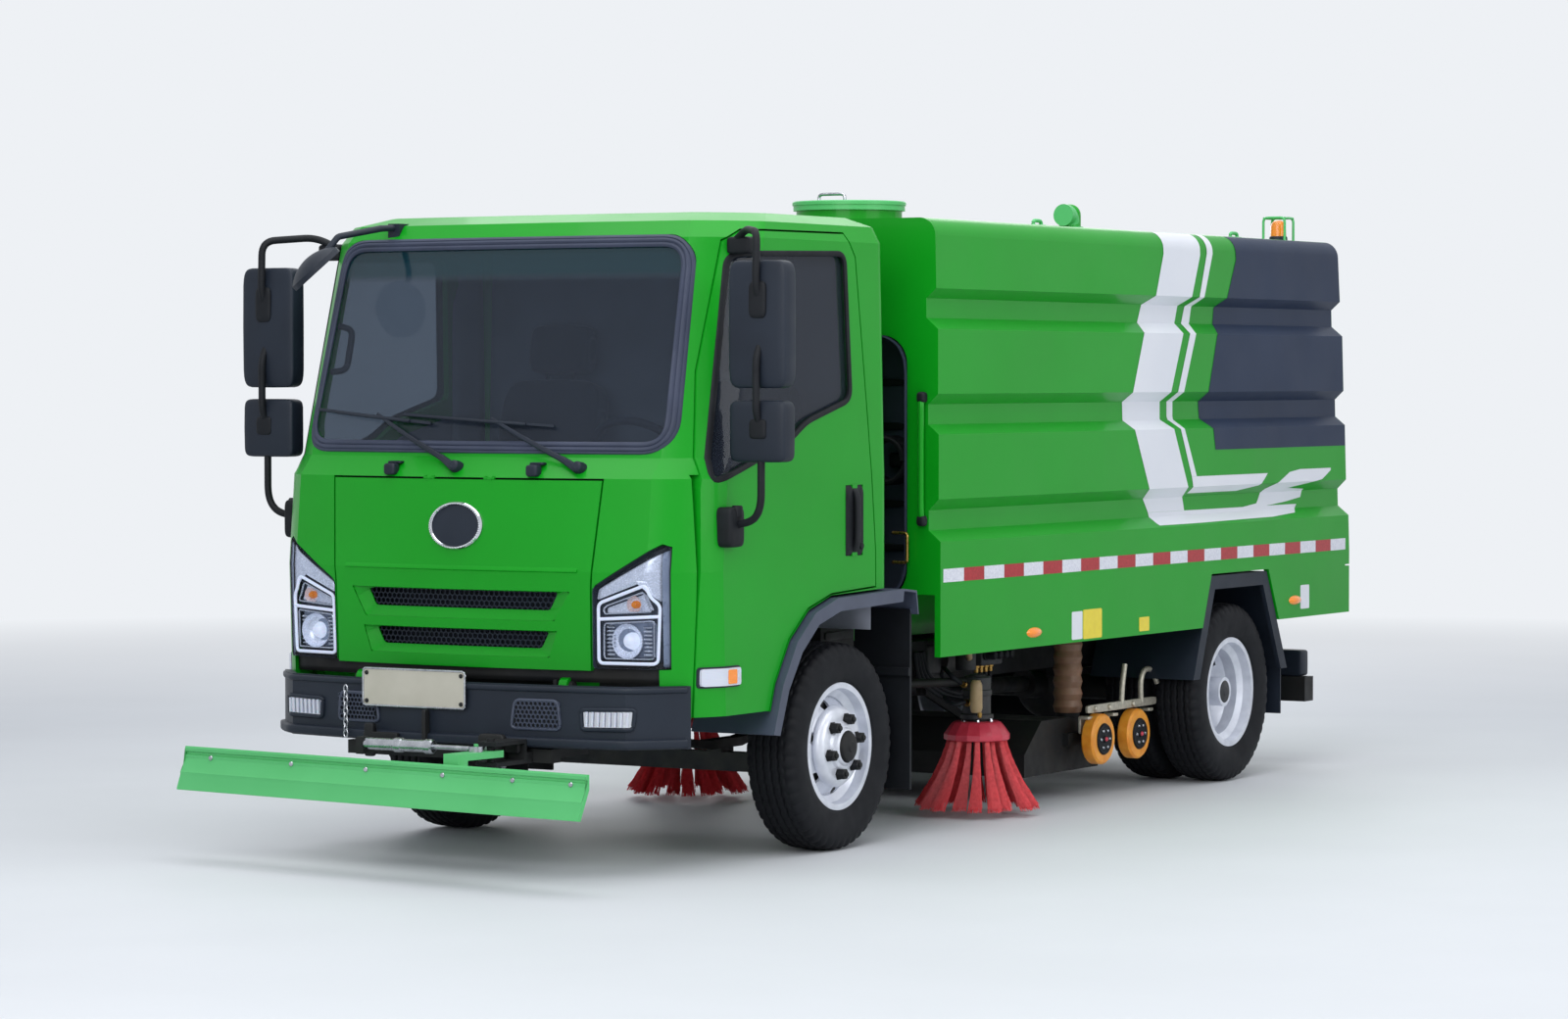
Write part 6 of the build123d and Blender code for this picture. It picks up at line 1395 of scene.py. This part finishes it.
# pressure and return hoses that loop from the motor's ports back along the arm
MOTOR_LOOPS = (
    ((-0.026, -0.080, 0.526), (-0.050, -0.130, 0.560), (-0.120, -0.060, 0.590),
     (-0.150, -0.020, 0.540), (-0.110, -0.010, 0.500), (-0.050, -0.010, 0.500)),
    ((-0.010, -0.080, 0.452), (-0.040, -0.120, 0.440), (-0.110, -0.090, 0.470),
     (-0.100, -0.030, 0.460), (-0.050, -0.010, 0.450)),
)
for side, name in SIDES:
    strands = piece(f"brush_bristles_{name}", RED_BRISTLE, f"sweeper_{name}", bristles(side))
    cover_plate = piece(
        f"brush_plate_{name}", RED_PAINT, f"sweeper_{name}", brush_plate(side), sharp=14
    )
    piece(f"brush_bolts_{name}", GROUND_STEEL, f"sweeper_{name}", [
        button(
            0.007, 0.009, 0.010, 0.006, -0.003,
            (side * BRUSH_X + 0.062 * np.cos(t), BRUSH_Y + 0.062 * np.sin(t), 0.371), UP, 6,
        )
        for t in np.radians(np.arange(6) * 60)
    ])
    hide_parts(f"brush_{name}")
    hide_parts(f"brush_{name}")
    arm = f"arm_{name}"
    motor = turned(MOTOR_PROFILE, at_brush(side, (0, 0, 0)), UP, 36)
    piece(f"brush_motor_{name}", CAST_IRON, arm, motor)
    sleeve = turned(SLEEVE_PROFILE, at_brush(side, (0.034, -0.068, 0)), UP, 28)
    piece(f"motor_sleeve_{name}", CREAM_PAINT, arm, sleeve)
    piece(f"motor_ports_{name}", BRASS, arm, [
        union_nut(
            0.009, 0.011, 0.034, 0.030, 0.012, (side * BRUSH_X + dx, BRUSH_Y - 0.050, z), (0, -1, 0.2)
        )
        for dx, z in ((-0.026, 0.520), (-0.010, 0.446))
    ] + [button(0.007, 0.009, 0.020, 0.016, 0.0, at_brush(side, (0.052, -0.072, 0.412)), (0, 0, -1))])
    piece(f"motor_hoses_{name}", TRIM_RUBBER, arm, [
        pipe(at_brush(side, loop), 0.009, 0.05, 48, 10) for loop in MOTOR_LOOPS
    ], "black_rubber")

# ---------------------------------------------------------------- nozzle fittings
CASTERS = ((AXLE + 2.360, "front"), (AXLE + 2.690, "rear"))
CASTER_X, CASTER_Z = 0.7815, 0.240
LIFT_X, LIFT_Z = 0.745, 0.366    # the bar that carries the nozzle
HUB_PROFILE = [
    (0, 0.010), (0.014, 0.010), (0.016, 0.004), (0.026, 0.003), (0.052, 0.003), (0.056, 0.006),
    (0.062, 0.006), (0.066, 0.000), (0.066, -0.010), (0, -0.010),
]
# The two hooks on the bar: bend, points along the hook, and its line as (y from the axle, z).
HOOKS = (
    (0.03, 20, ((2.590, LIFT_Z), (2.600, 0.460), (2.622, 0.535))),
    (0.04, 36, ((2.775, LIFT_Z), (2.768, 0.455), (2.800, 0.505), (2.880, 0.500), (2.925, 0.440))),
)
for side, name in SIDES:
    out = (side, 0, 0)
    for y, place in CASTERS:
        hub, caster = (side * CASTER_X, y, CASTER_Z), f"caster_{name}_{place}"
        piece(f"caster_hub_{name}_{place}", TRIM_RUBBER, caster, turned(HUB_PROFILE, hub, out))
        piece(f"caster_studs_{name}_{place}", GROUND_STEEL, caster, [
            button(0.005, 0.0075, 0.008, 0.004, 0.0, centre, out, 8)
            for centre in around(6, 0.039, (side * (CASTER_X + 0.002), y, CASTER_Z))
        ])
        centre_cap = turned([(0, 0.016), (0.007, 0.015), (0.010, 0.010), (0.010, 0)], hub, out, 20)
        piece(f"caster_cap_{name}_{place}", RED_PAINT, caster, centre_cap)
    piece(f"nozzle_lift_bar_{name}", ZINC_COAT, "nozzle", blocks(
        ((side * LIFT_X, 2.590, LIFT_Z), (0.016, 0.640, 0.034), 0.2),
        *(((side * 0.728, y, 0.330), (0.048, 0.044, 0.014), 0.3) for y in (2.300, 2.530, 2.860)),
        *(((side * 0.706, y, 0.300), (0.012, 0.040, 0.074), 0.3) for y in (2.300, 2.530)),
    ))
    piece(f"nozzle_hooks_{name}", ZINC_COAT, "nozzle", [
        pipe(from_axle([(side * LIFT_X, y, z) for y, z in line]), 0.0115, bend, count)
        for bend, count, line in HOOKS
    ] + [
        button(0.008, 0.012, 0.012, 0.008, 0.0, (side * (LIFT_X + 0.008), AXLE + y, LIFT_Z), out)
        for y in (2.330, 2.460, 2.680)
    ])

# ---------------------------------------------------------------- box: wall and film stripes
GROOVE_PITCH = 1.666 * 0.24
GROOVE_TOP, GROOVE_DEPTH = 2.077, 0.043
GROOVES = (
    # number from the top, half width above and below, and the three lower edges below its top
    (2, 0.957, 0.965, (0.042, 0.118, 0.161)), (1, 0.954, 0.957, (0.040, 0.116, 0.154)),
    (0, 0.946, 0.954, (0.038, 0.112, 0.155)),
)
wall = [(0.965, 0.679)]
for k, above, below, cuts in GROOVES:
    top, floor_x = GROOVE_TOP - k * GROOVE_PITCH, above - GROOVE_DEPTH
    wall += [(below, top - cuts[2]), (floor_x, top - cuts[1]), (floor_x, top - cuts[0]), (above, top)]
arc = np.linspace(0, np.pi / 2 * 0.97, 15)
wall += list(zip(0.870 + 0.0722 * np.cos(arc), 2.275 + 0.0706 * np.sin(arc)))
WALL = np.array(wall)


def rear_edge(z):
    """y of the box's rear edge and the rear door's face, which lean forward above the skirt."""
    return 3.086 - 0.088 * np.clip(z - 0.959, 0, None) / 1.396


def film(name, rows, finish):
    """A strip of film on both walls. Each row gives a height and its front and rear edges; the
    strip follows the grooves between rows."""
    rows = np.array(rows, float)
    rows = rows[np.argsort(rows[:, 0])]
    low, high = rows[0, 0], rows[-1, 0]
    heights = np.unique(np.concatenate([
        rows[:, 0], WALL[(WALL[:, 1] > low) & (WALL[:, 1] < high), 1], np.linspace(low, high, 30)
    ]))
    front = np.interp(heights, rows[:, 0], rows[:, 1])[:, None]
    rear = np.interp(heights, rows[:, 0], rows[:, 2])[:, None]
    y = front + (rear - front) * np.linspace(0, 1, 9)
    z = np.repeat(heights[:, None], 9, axis=1)
    x = np.interp(z, WALL[:, 1], WALL[:, 0]) + np.where(z > 2.275, 0.00112, 0.00128)
    strip = skinned(np.stack([x, y, z], -1), False, False)
    pair(name, finish, "hopper", strip, out=LEFTWARD, sharp=20)


# Rows: height, front edge, rear edge, all on the wall.
BROAD_STRIPE = (
    (2.343, 1.214, 1.570), (2.252, 1.221, 1.570), (2.075, 1.144, 1.486), (2.037, 1.091, 1.433),
    (1.966, 1.055, 1.405), (1.924, 1.022, 1.389), (1.678, 0.918, 1.274), (1.638, 0.902, 1.251),
    (1.566, 0.906, 1.251), (1.522, 0.931, 1.297), (1.277, 1.066, 1.433), (1.233, 1.091, 1.462),
    (1.178, 1.137, 1.481),
)
THIN_STRIPE = (
    (2.343, 1.629, 1.686), (2.262, 1.636, 1.693), (2.075, 1.559, 1.606), (2.033, 1.499, 1.565),
    (1.970, 1.471, 1.547), (1.928, 1.456, 1.514), (1.678, 1.339, 1.396), (1.637, 1.316, 1.372),
    (1.575, 1.316, 1.372), (1.518, 1.362, 1.400), (1.322, 1.466, 1.514),
)
STRIPE_FOOT = (
    (1.3215, 1.466, 2.224), (1.300, 1.474, 2.196), (1.270, 1.482, 2.150), (1.250, 1.478, 1.960)
)
SLATE_FIELD = [(z, front, rear_edge(z) - 0.004) for z, front in (
    (2.343, 1.909), (2.245, 1.926), (2.076, 1.831), (2.033, 1.786), (1.964, 1.775), (1.918, 1.718),
    (1.677, 1.634), (1.635, 1.618), (1.569, 1.628), (1.518, 1.676), (1.431, 1.697),
)]
SWOOSH_BASE = (
    (1.1775, 1.137, 2.618), (1.160, 1.146, 2.600), (1.141, 1.153, 2.556), (1.130, 1.158, 2.300),
    (1.124, 1.166, 1.500),
)
SWOOSH_RISE = (
    (1.1775, 2.060, 2.300), (1.190, 2.199, 2.493), (1.207, 2.215, 2.660), (1.243, 2.242, 2.677),
    (1.252, 2.250, 2.480),
)
SWOOSH_TIP = (
    (1.252, 2.250, 2.500), (1.284, 2.352, 2.801), (1.322, 2.453, 2.892), (1.333, 2.560, 2.895)
)
film("broad_stripe", BROAD_STRIPE, WHITE_FILM)
film("thin_stripe", THIN_STRIPE, WHITE_FILM)
film("stripe_foot", STRIPE_FOOT, WHITE_FILM)
film("slate_field", SLATE_FIELD, SLATE_FILM)
film("swoosh_base", SWOOSH_BASE, WHITE_FILM)
film("swoosh_rise", SWOOSH_RISE, WHITE_FILM)
film("swoosh_tip", SWOOSH_TIP, WHITE_FILM)

# reflecting tape: white and red lengths along the skirt, white at both ends
TAPE_LOW, TAPE_HIGH, TAPE_GAP = 0.962, 1.013, 0.0006
BOX_FACES = np.array([(0, 1, 2, 3), (7, 6, 5, 4), (0, 4, 5, 1), (1, 5, 6, 2), (2, 6, 7, 3), (3, 7, 4, 0)])
tape_y = np.linspace(AXLE + 0.646, AXLE + 4.395, 24)
for first, finish, name in ((0, TAPE_WHITE, "white"), (1, TAPE_RED, "red")):
    front, rear = tape_y[:-1][first::2] + TAPE_GAP, tape_y[1:][first::2] - TAPE_GAP
    y = np.stack([front, rear, rear, front] * 2, 1)
    z = np.broadcast_to([TAPE_LOW, TAPE_LOW, TAPE_HIGH, TAPE_HIGH] * 2, y.shape)
    x = np.broadcast_to([0.9651] * 4 + [0.9660] * 4, y.shape)
    faces = (BOX_FACES[None] + (np.arange(len(y)) * 8)[:, None, None]).reshape(-1, 4)
    lengths = both_sides((np.stack([x, y, z], -1), faces))
    piece(f"reflecting_tape_{name}", finish, "hopper", lengths)

# amber side reflectors and blank labels on the skirt
reflector, reflector_faces = turned(
    [(0.001, 0.016), (0.012, 0.014), (0.020, 0.008), (0.024, 0.0), (0, 0.0)], (0, 0, 0), LEFTWARD, 48,
)
for y, z, name in ((AXLE + 1.386, 0.736, "front"), (AXLE + 3.850, 0.757, "rear")):
    oval = reflector * (1, 2.6, 0.85) + (0.9652, y, z)
    piece(f"side_reflector_{name}", AMBER_LENS, "hopper", both_sides((oval, reflector_faces)))
LABELS = (
    # name, front y, rear y, low z, high z, finish
    ("label_white_front", 1.708, 1.800, 0.690, 0.802, WHITE_FILM),
    ("label_yellow_front", 1.806, 1.972, 0.688, 0.806, YELLOW_LABEL),
    ("label_yellow_middle", 2.312, 2.404, 0.694, 0.752, YELLOW_LABEL),
    ("label_white_rear", 3.909, 4.001, 0.715, 0.820, WHITE_FILM),
)
for name, front, rear, low, high, finish in LABELS:
    front, rear = AXLE + front, AXLE + rear
    line = outlined([(front, low), (rear, low), (rear, high), (front, high)], 0.005, 4, 60)
    piece(name, finish, "hopper", plate(sideways(line, 0.9662), (-0.0010, 0, 0), 1))

# ---------------------------------------------------------------- roof fittings
# lifting eyes along the roof's edge
piece("lifting_eyes", PALE_PAINT, "hopper", [
    shape
    for x in (0.800, -0.800) for y in (AXLE + 1.720, AXLE + 3.560)
    for shape in (
        pipe([
            (x, y - 0.034, 2.340), (x, y - 0.034, 2.366), (x, y + 0.034, 2.366), (x, y + 0.034, 2.340)
        ], 0.008, 0.02, 24),
        block((x, y, 2.347), (0.040, 0.100, 0.008), 0.3),
    )
])
# hatch: a domed lid with a pressed rim and a handle
piece("hatch_pressing", PALE_PAINT, "hatch", turned([
    (0, 0.112), (0.080, 0.111), (0.150, 0.108), (0.196, 0.1055), (0.206, 0.1045), (0.212, 0.108),
    (0.228, 0.108), (0.232, 0.104), (0.232, 0.092), (0.2285, 0.092), (0.2285, 0.104), (0, 0.104),
], (0, AXLE + 1.600, 2.345), UP, 72))
piece("hatch_handle", GROUND_STEEL, "hatch", pipe(from_axle([
    (-0.060, 1.460, 2.450), (-0.060, 1.460, 2.480), (0.060, 1.460, 2.480), (0.060, 1.460, 2.450),
]), 0.007, 0.02, 30))

# beacon: a ribbed amber dome on a dark foot inside a tube guard
BEACON = np.array((0.745, AXLE + 4.145, 2.345))
beacon_dome = piece("beacon_dome", AMBER_LENS, "hopper", turned([
    (0, 0.096), (0.012, 0.095), (0.024, 0.090), (0.031, 0.081), (0.034, 0.070), (0.036, 0.030),
    (0.036, 0.024), (0, 0.024),
], BEACON, UP, 48))
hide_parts("beacon")
piece("beacon_foot", MOULDED_PLASTIC, "hopper", turned(
    [(0, 0.024), (0.036, 0.024), (0.040, 0.020), (0.042, 0.0), (0, 0.0)], BEACON, UP
))
piece("beacon_guard", PALE_PAINT, "hopper", [
    pipe(BEACON + [(x, y, 0), (x, y, 0.106), (-x, y, 0.106), (-x, y, 0)], 0.006, 0.02, 36)
    for x, y in ((0.052, -0.046), (0.052, 0.046))
] + [
    pipe(BEACON + [(x, -0.046, 0.104), (x, 0.046, 0.104)], 0.005, 0.01, 8) for x in (-0.050, 0.050)
])

# ---------------------------------------------------------------- rear: lamps and latches
LAMP_Y, LAMP_Z = AXLE + 4.170, 0.455
LENSES = (
    (0.795, AMBER_LENS, "signal"), (0.705, RED_LENS, "stop"), (0.615, WHITE_LENS, "reverse")
)
for side, name in SIDES:
    housing = block((side * 0.705, LAMP_Y + 0.045, LAMP_Z), (0.290, 0.078, 0.118), 0.15)
    lamp_box = piece(f"tail_lamp_box_{name}", MOULDED_PLASTIC, "chassis", housing)
    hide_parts("tail_lamps")
    for x, finish, kind in LENSES:
        lens_at = (side * x, LAMP_Y + 0.082, LAMP_Z)
        piece(f"tail_lens_{kind}_{name}", finish, "chassis", turned(
            [(0, 0.014), (0.020, 0.013), (0.034, 0.009), (0.040, 0.0), (0, 0.0)], lens_at, REARWARD, 36
        ))
        piece(f"tail_bezel_{kind}_{name}", CHROME, "chassis", turned(
            [(0.040, 0.0), (0.040, 0.007), (0.0435, 0.007), (0.0435, 0.0)], lens_at, REARWARD, 36, True
        ))

door_line = outlined([(-0.900, 0.930), (0.900, 0.930), (0.880, 2.230), (-0.880, 2.230)], 0.06, 8, 240)
door_ring = facing(door_line, rear_edge(door_line[:, 1]) + 0.004)
pressing = swept(door_ring, ring_section(0.010, 10), closed=True)
piece("rear_door_pressing", GREEN_PAINT, "tailgate", pressing)
STIFFENER = rounded([(-0.012, -0.045), (0.016, -0.030), (0.016, 0.030), (-0.012, 0.045)], 0.008, 4)
piece("rear_door_stiffeners", GREEN_PAINT, "tailgate", [
    swept(
        np.linspace((-0.840, rear_edge(z) + 0.004, z), (0.840, rear_edge(z) + 0.004, z), 40),
        STIFFENER, REARWARD,
    )
    for z in (1.270, 1.600, 1.930)
])
latch_y = rear_edge(0.990)
piece("rear_door_latches", GROUND_STEEL, "tailgate", [
    shape
    for x in (-0.740, 0.740)
    for shape in (
        block((x, latch_y + 0.012, 0.990), (0.070, 0.030, 0.130), 0.3),
        pipe([
            (x, latch_y + 0.024, 0.960), (x, latch_y + 0.040, 0.975), (x, latch_y + 0.040, 1.060)
        ], 0.008, 0.01, 20),
    )
])

# ---------------------------------------------------------------- battery box and front recess
BOX_FRONT, BOX_REAR = AXLE + 0.352, AXLE + 0.600
piece("battery_box_ribs", FRAME_COAT, "chassis", [
    block((x, BOX_FRONT - 0.004, 0.940), (0.030, 0.012, 0.440), 0.3) for x in np.linspace(-0.540, 0.540, 10)
] + [
    block((side * 0.604, (BOX_FRONT + BOX_REAR) / 2, z), (0.010, 0.200, 0.030), 0.3)
    for side in (1, -1) for z in np.linspace(0.760, 1.120, 7)
])
GAUGE_X, GAUGE_Y = 0.893, AXLE + 0.605
gauge_line = [(0.016, 1.668), (-0.004, 1.648), (-0.004, 1.212), (0.016, 1.192)]
gauge = pipe([(GAUGE_X, GAUGE_Y + y, z) for y, z in gauge_line], 0.012, 0.012, 30)
piece("level_tube", GREEN_PAINT, "hopper", gauge, "bar_green")
piece("level_tube_ends", TRIM_RUBBER, "hopper", [
    block((GAUGE_X, GAUGE_Y + 0.004, z), (0.036, 0.038, 0.042), 0.6) for z in (1.664, 1.196)
])
piece("drain_handle", BRASS, "hopper", pipe(from_axle([
    (0.772, 0.612, 1.149), (0.772, 0.596, 1.149), (0.836, 0.596, 1.149), (0.836, 0.596, 1.037),
    (0.772, 0.596, 1.037), (0.772, 0.612, 1.037),
]), 0.0065, 0.012, 50, 10))

# lining of the recess: thin sheet laid on its floor, its walls and round its corners
RECESS_Z = 1.400
recess_line = rectangle((-0.8185, 0.9015), (0.8185, 1.8985), 0.145, 200)
piece("recess_lining", SEAL_RUBBER, "hopper", skinned(np.stack([
    facing((recess_line - (0, RECESS_Z)) * grow + (0, RECESS_Z), AXLE + y)
    for y, grow in (
        (0.606, 1.012), (0.606, 1.0), (0.916, 1.0), (0.918, 0.985), (0.918, 0.5), (0.918, 0.0)
    )
])), out=FORWARD)
coil_angle = np.linspace(0, 2 * np.pi * 5, 260)
coil_end = np.stack([
    0.640 + 0.085 * np.cos(coil_angle), AXLE + 0.760 + 0.018 * coil_angle / np.pi / 2,
    1.420 + 0.085 * np.sin(coil_angle),
], -1)
piece("recess_fittings", TRIM_RUBBER, "hopper", blocks(
    *(((0, 0.908, z), (1.300, 0.016, 0.030), 0.25) for z in (1.080, 1.250, 1.550, 1.720)),
    *(((x, 0.860, RECESS_Z), (0.180, 0.110, 0.420), 0.2) for x in (-0.380, 0.380)),
) + [
    swept(coil_end, ring_section(0.012, 8)),
    *blocks(((0.640, 0.880, 1.420), (0.060, 0.070, 0.060), 0.4)),
], "frame_black")

# air outlet on the roof: an elbow in the paler green over the stub
piece("roof_outlet", PALE_PAINT, "hopper", pipe(from_axle([
    (0.700, 2.200, 2.340), (0.700, 2.200, 2.378), (0.700, 2.180, 2.402), (0.700, 2.140, 2.404),
]), 0.045, 0.03, 40, 28))
piece("roof_outlet_collar", PALE_PAINT, "hopper", turned(
    [(0.048, 0.0), (0.056, 0.0), (0.056, 0.012), (0.048, 0.014)], (0.700, AXLE + 2.200, 2.344), UP,
    36, ring=True,
))

# ---------------------------------------------------------------- deflector bar
BAR_TURN = np.radians(-7)
PIVOT_X, PIVOT_Y = 0.317, AXLE - 1.425


def on_bar(x, out, z):
    """Points of the bar before it is set askew: along it, ahead of its back face, and height."""
    x, out, z = np.broadcast_arrays(np.asarray(x, float), out, z)
    dx, dy = x - PIVOT_X, AXLE - 1.640 - out - PIVOT_Y
    c, s = np.cos(BAR_TURN), np.sin(BAR_TURN)
    return np.stack([PIVOT_X + c * dx - s * dy, PIVOT_Y + s * dx + c * dy, z], -1)


BAR_SECTION = np.array([
    # ahead of the back face, height: over the bar's face, with a rolled top edge, a groove
    # under it, a step at the fold and a rounded wearing edge
    (0.003, 0.4125), (0.012, 0.4135), (0.0155, 0.407), (0.0145, 0.396), (0.0070, 0.3925), (0.0068, 0.3855),
    (0.0135, 0.3820), (0.0135, 0.3700), (0.0330, 0.3290), (0.0400, 0.3220), (0.0395, 0.3130),
    (0.0560, 0.2700), (0.0585, 0.2600), (0.0500, 0.2580), (0.0470, 0.2600), (0.0050, 0.3640),
    (0.0050, 0.4080),
])
bar_points = on_bar(np.linspace(-0.949, 0.949, 60)[:, None], *BAR_SECTION.T[:, None])
bar_middle = np.broadcast_to(bar_points.mean(1, keepdims=True), bar_points.shape)
bar_points = np.concatenate([bar_middle[:1], bar_points, bar_middle[-1:]])
piece("bar_pressing", PALE_PAINT, "deflector", skinned(bar_points), sharp=25)
piece("bar_bolts", GROUND_STEEL, "deflector", [
    button(0.006, 0.009, 0.006, 0.003, -0.004, on_bar(x, 0.0135, 0.376), (0, -1, 0.2))
    for x in (-0.820, -0.420, -0.060, 0.300, 0.620, 0.880)
])
piece("bar_cylinder_sleeve", GROUND_STEEL, "chassis", [
    turned([
        (0, 0.0), (0.024, 0.0), (0.026, 0.004), (0.026, 0.030), (0.022, 0.034), (0.022, 0.130),
        (0.026, 0.134), (0.026, 0.158), (0.020, 0.164), (0, 0.164),
    ], (-0.035, PIVOT_Y - 0.0745, 0.457), LEFTWARD, 28),
    turned(
        [(0, -0.008), (0.012, -0.008), (0.016, 0.0), (0.016, 0.024), (0.010, 0.030), (0, 0.030)],
        (-0.072, PIVOT_Y - 0.0745, 0.457), LEFTWARD, 20,
    ),
])

# ---------------------------------------------------------------- under the box
# anti-spray flap between the rear wheels, behind the axle, on its steel strip
piece("anti_spray_flap", TRIM_RUBBER, "chassis", lining(
    np.linspace(-0.560, 0.560, 41), np.linspace(0.190, 0.640, 13),
    lambda x, z: (x, AXLE + 3.740 + 0.006 * np.cos(x * 14) * (0.640 - z) / 0.45, z),
), "black_rubber", thick=0.008, out=REARWARD)
piece("anti_spray_strip", FRAME_COAT, "chassis", blocks(((0, 3.750, 0.630), (1.120, 0.014, 0.040), 0.2)))

# hydraulic pack on the frame's left side: motor, pump, valve block, filter and their hoses
piece("hydraulic_pack", CAST_IRON, "chassis", [
    turned([
        (0, 0.260), (0.060, 0.260), (0.072, 0.250), (0.072, 0.030), (0.080, 0.026), (0.080, 0.0),
        (0, 0.0),
    ], (0.360, AXLE + 1.640, 0.600), REARWARD, 36),
    *blocks(
        ((0.360, 1.580, 0.600), (0.110, 0.110, 0.120), 0.2),
        ((0.470, 1.880, 0.610), (0.090, 0.180, 0.090), 0.15),
    ),
    turned(
        [(0, 0.0), (0.040, 0.0), (0.042, 0.006), (0.042, 0.110), (0.036, 0.120), (0, 0.120)],
        (0.520, AXLE + 1.640, 0.560), UP, 30,
    ),
    *blocks(((0.440, 1.740, 0.672), (0.260, 0.420, 0.016), 0.15)),
])
piece("valve_coils", TRIM_RUBBER, "chassis", [
    union_nut(0.014, 0.018, 0.050, 0.044, 0.010, (0.515, AXLE + y, 0.610), LEFTWARD, 20)
    for y in (1.815, 1.865, 1.915, 1.960)
])
piece("valve_fittings", BRASS, "chassis", [
    union_nut(0.008, 0.010, 0.030, 0.026, 0.010, (0.470, AXLE + y, 0.564), (0, 0, -1))
    for y in (1.820, 1.860, 1.900, 1.940)
])
piece("pressure_lines", TRIM_RUBBER, "chassis", [
    pipe([
        (0.470, AXLE + 1.820 + 0.040 * k, 0.536), (0.470, AXLE + 1.810 + 0.040 * k, 0.480 - 0.012 * k),
        (0.500 - 0.02 * k, AXLE + 1.660, 0.470 - 0.016 * k), (0.430, AXLE + 1.500 - 0.03 * k, 0.520),
        (0.430, AXLE + 1.440 - 0.02 * k, 0.640),
    ], 0.009, 0.08, 60, 10)
    for k in range(4)
], "black_rubber")
piece("spray_hose", CREAM_PAINT, "chassis", pipe(from_axle([
    (0.560, 1.560, 0.676), (0.600, 1.520, 0.640), (0.560, 1.600, 0.600), (0.520, 1.640, 0.684),
]), 0.013, 0.05, 50, 12))

# ---------------------------------------------------------------- studio
def soft_light(name, place, aim, size, power):
    """A large square lamp at a place, turned to face a point."""
    lamp = bpy.data.lights.new(name, "AREA")
    lamp.shape = "SQUARE"
    lamp.size = size
    lamp.energy = power
    holder = bpy.data.objects.new(name, lamp)
    away = np.stack(frame_of(np.asarray(place, float) - np.asarray(aim, float)), 1)
    holder.matrix_world = Matrix.Translation(place) @ Matrix(away.tolist()).to_4x4()
    bpy.context.scene.collection.objects.link(holder)


soft_light("overhead_panel", (1.0, -1.0, 8.5), (0, 0.5, 1.0), 9.0, 560)
soft_light("front_panel", (3.0, -10.0, 5.0), (0, -1.0, 1.2), 6.0, 420)
soft_light("side_panel", (10.0, -1.0, 4.5), (0, 0.5, 1.2), 6.0, 270)
soft_light("rear_panel", (-5.0, 9.0, 5.0), (0, 1.0, 1.2), 6.0, 200)


def looked_at(tree):
    """1 for a ray that the camera sends, straight, off a mirror or through glass, and else 0."""
    path = add(tree, "ShaderNodeLightPath")
    seen = sums(tree, "MAXIMUM", path.outputs["Is Camera Ray"], path.outputs["Is Transmission Ray"])
    return sums(tree, "MAXIMUM", seen, path.outputs["Is Glossy Ray"])


BACKDROP = linear("eef1f5")
world = bpy.data.worlds.new("studio_air")
bpy.context.scene.world = world
world.use_nodes = True
air = world.node_tree
air.nodes.clear()
lighting = add(air, "ShaderNodeBackground", {"Color": linear("dfe6f2"), "Strength": 0.48})
backdrop = add(air, "ShaderNodeBackground", {"Color": BACKDROP, "Strength": 1.0})
choose = add(air, "ShaderNodeMixShader", {
    0: looked_at(air), 1: lighting.outputs[0], 2: backdrop.outputs[0]
})
add(air, "ShaderNodeOutputWorld", {"Surface": choose.outputs[0]})

# Poured and polished concrete, pale, with faint clouding. Between 6 and 15 m out it passes into
# the backdrop's own tone, so that the ground has no far edge and keeps the vehicle's shadow.
FLOOR_FINISH = plain_finish("polished_concrete", "d2d5d9", "ced1d5", 0.6, 0.03, 1500, 12, 0.02)
ground = FLOOR_FINISH.node_tree
reach = add(
    ground, "ShaderNodeVectorMath", {0: add(ground, "ShaderNodeTexCoord").outputs["Object"]},
    operation="LENGTH",
).outputs["Value"]
far = add(ground, "ShaderNodeMapRange", {"Value": reach, "From Min": 6.0, "From Max": 15.0}).outputs[0]
glow = add(ground, "ShaderNodeEmission", {"Color": BACKDROP, "Strength": 1.0})
faded = add(ground, "ShaderNodeMixShader", {
    0: sums(ground, "MULTIPLY", far, looked_at(ground)), 1: ground.nodes["Principled BSDF"].outputs[0],
    2: glow.outputs[0],
})
ground.links.new(faded.outputs[0], ground.nodes["Material Output"].inputs["Surface"])
u, v = np.meshgrid(np.linspace(-40, 40, 41), np.linspace(-40, 60, 51))
floor_mesh = bpy.data.meshes.new("studio_floor")
floor_mesh.from_pydata(
    np.stack([u, v, 0 * u - 0.0005], -1).reshape(-1, 3).tolist(), [], grid(51, 41).tolist()
)
floor_mesh.materials.append(FLOOR_FINISH)
floor = bpy.data.objects.new("studio_floor", floor_mesh)
bpy.context.scene.collection.objects.link(floor)
floor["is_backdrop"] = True

low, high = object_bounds()
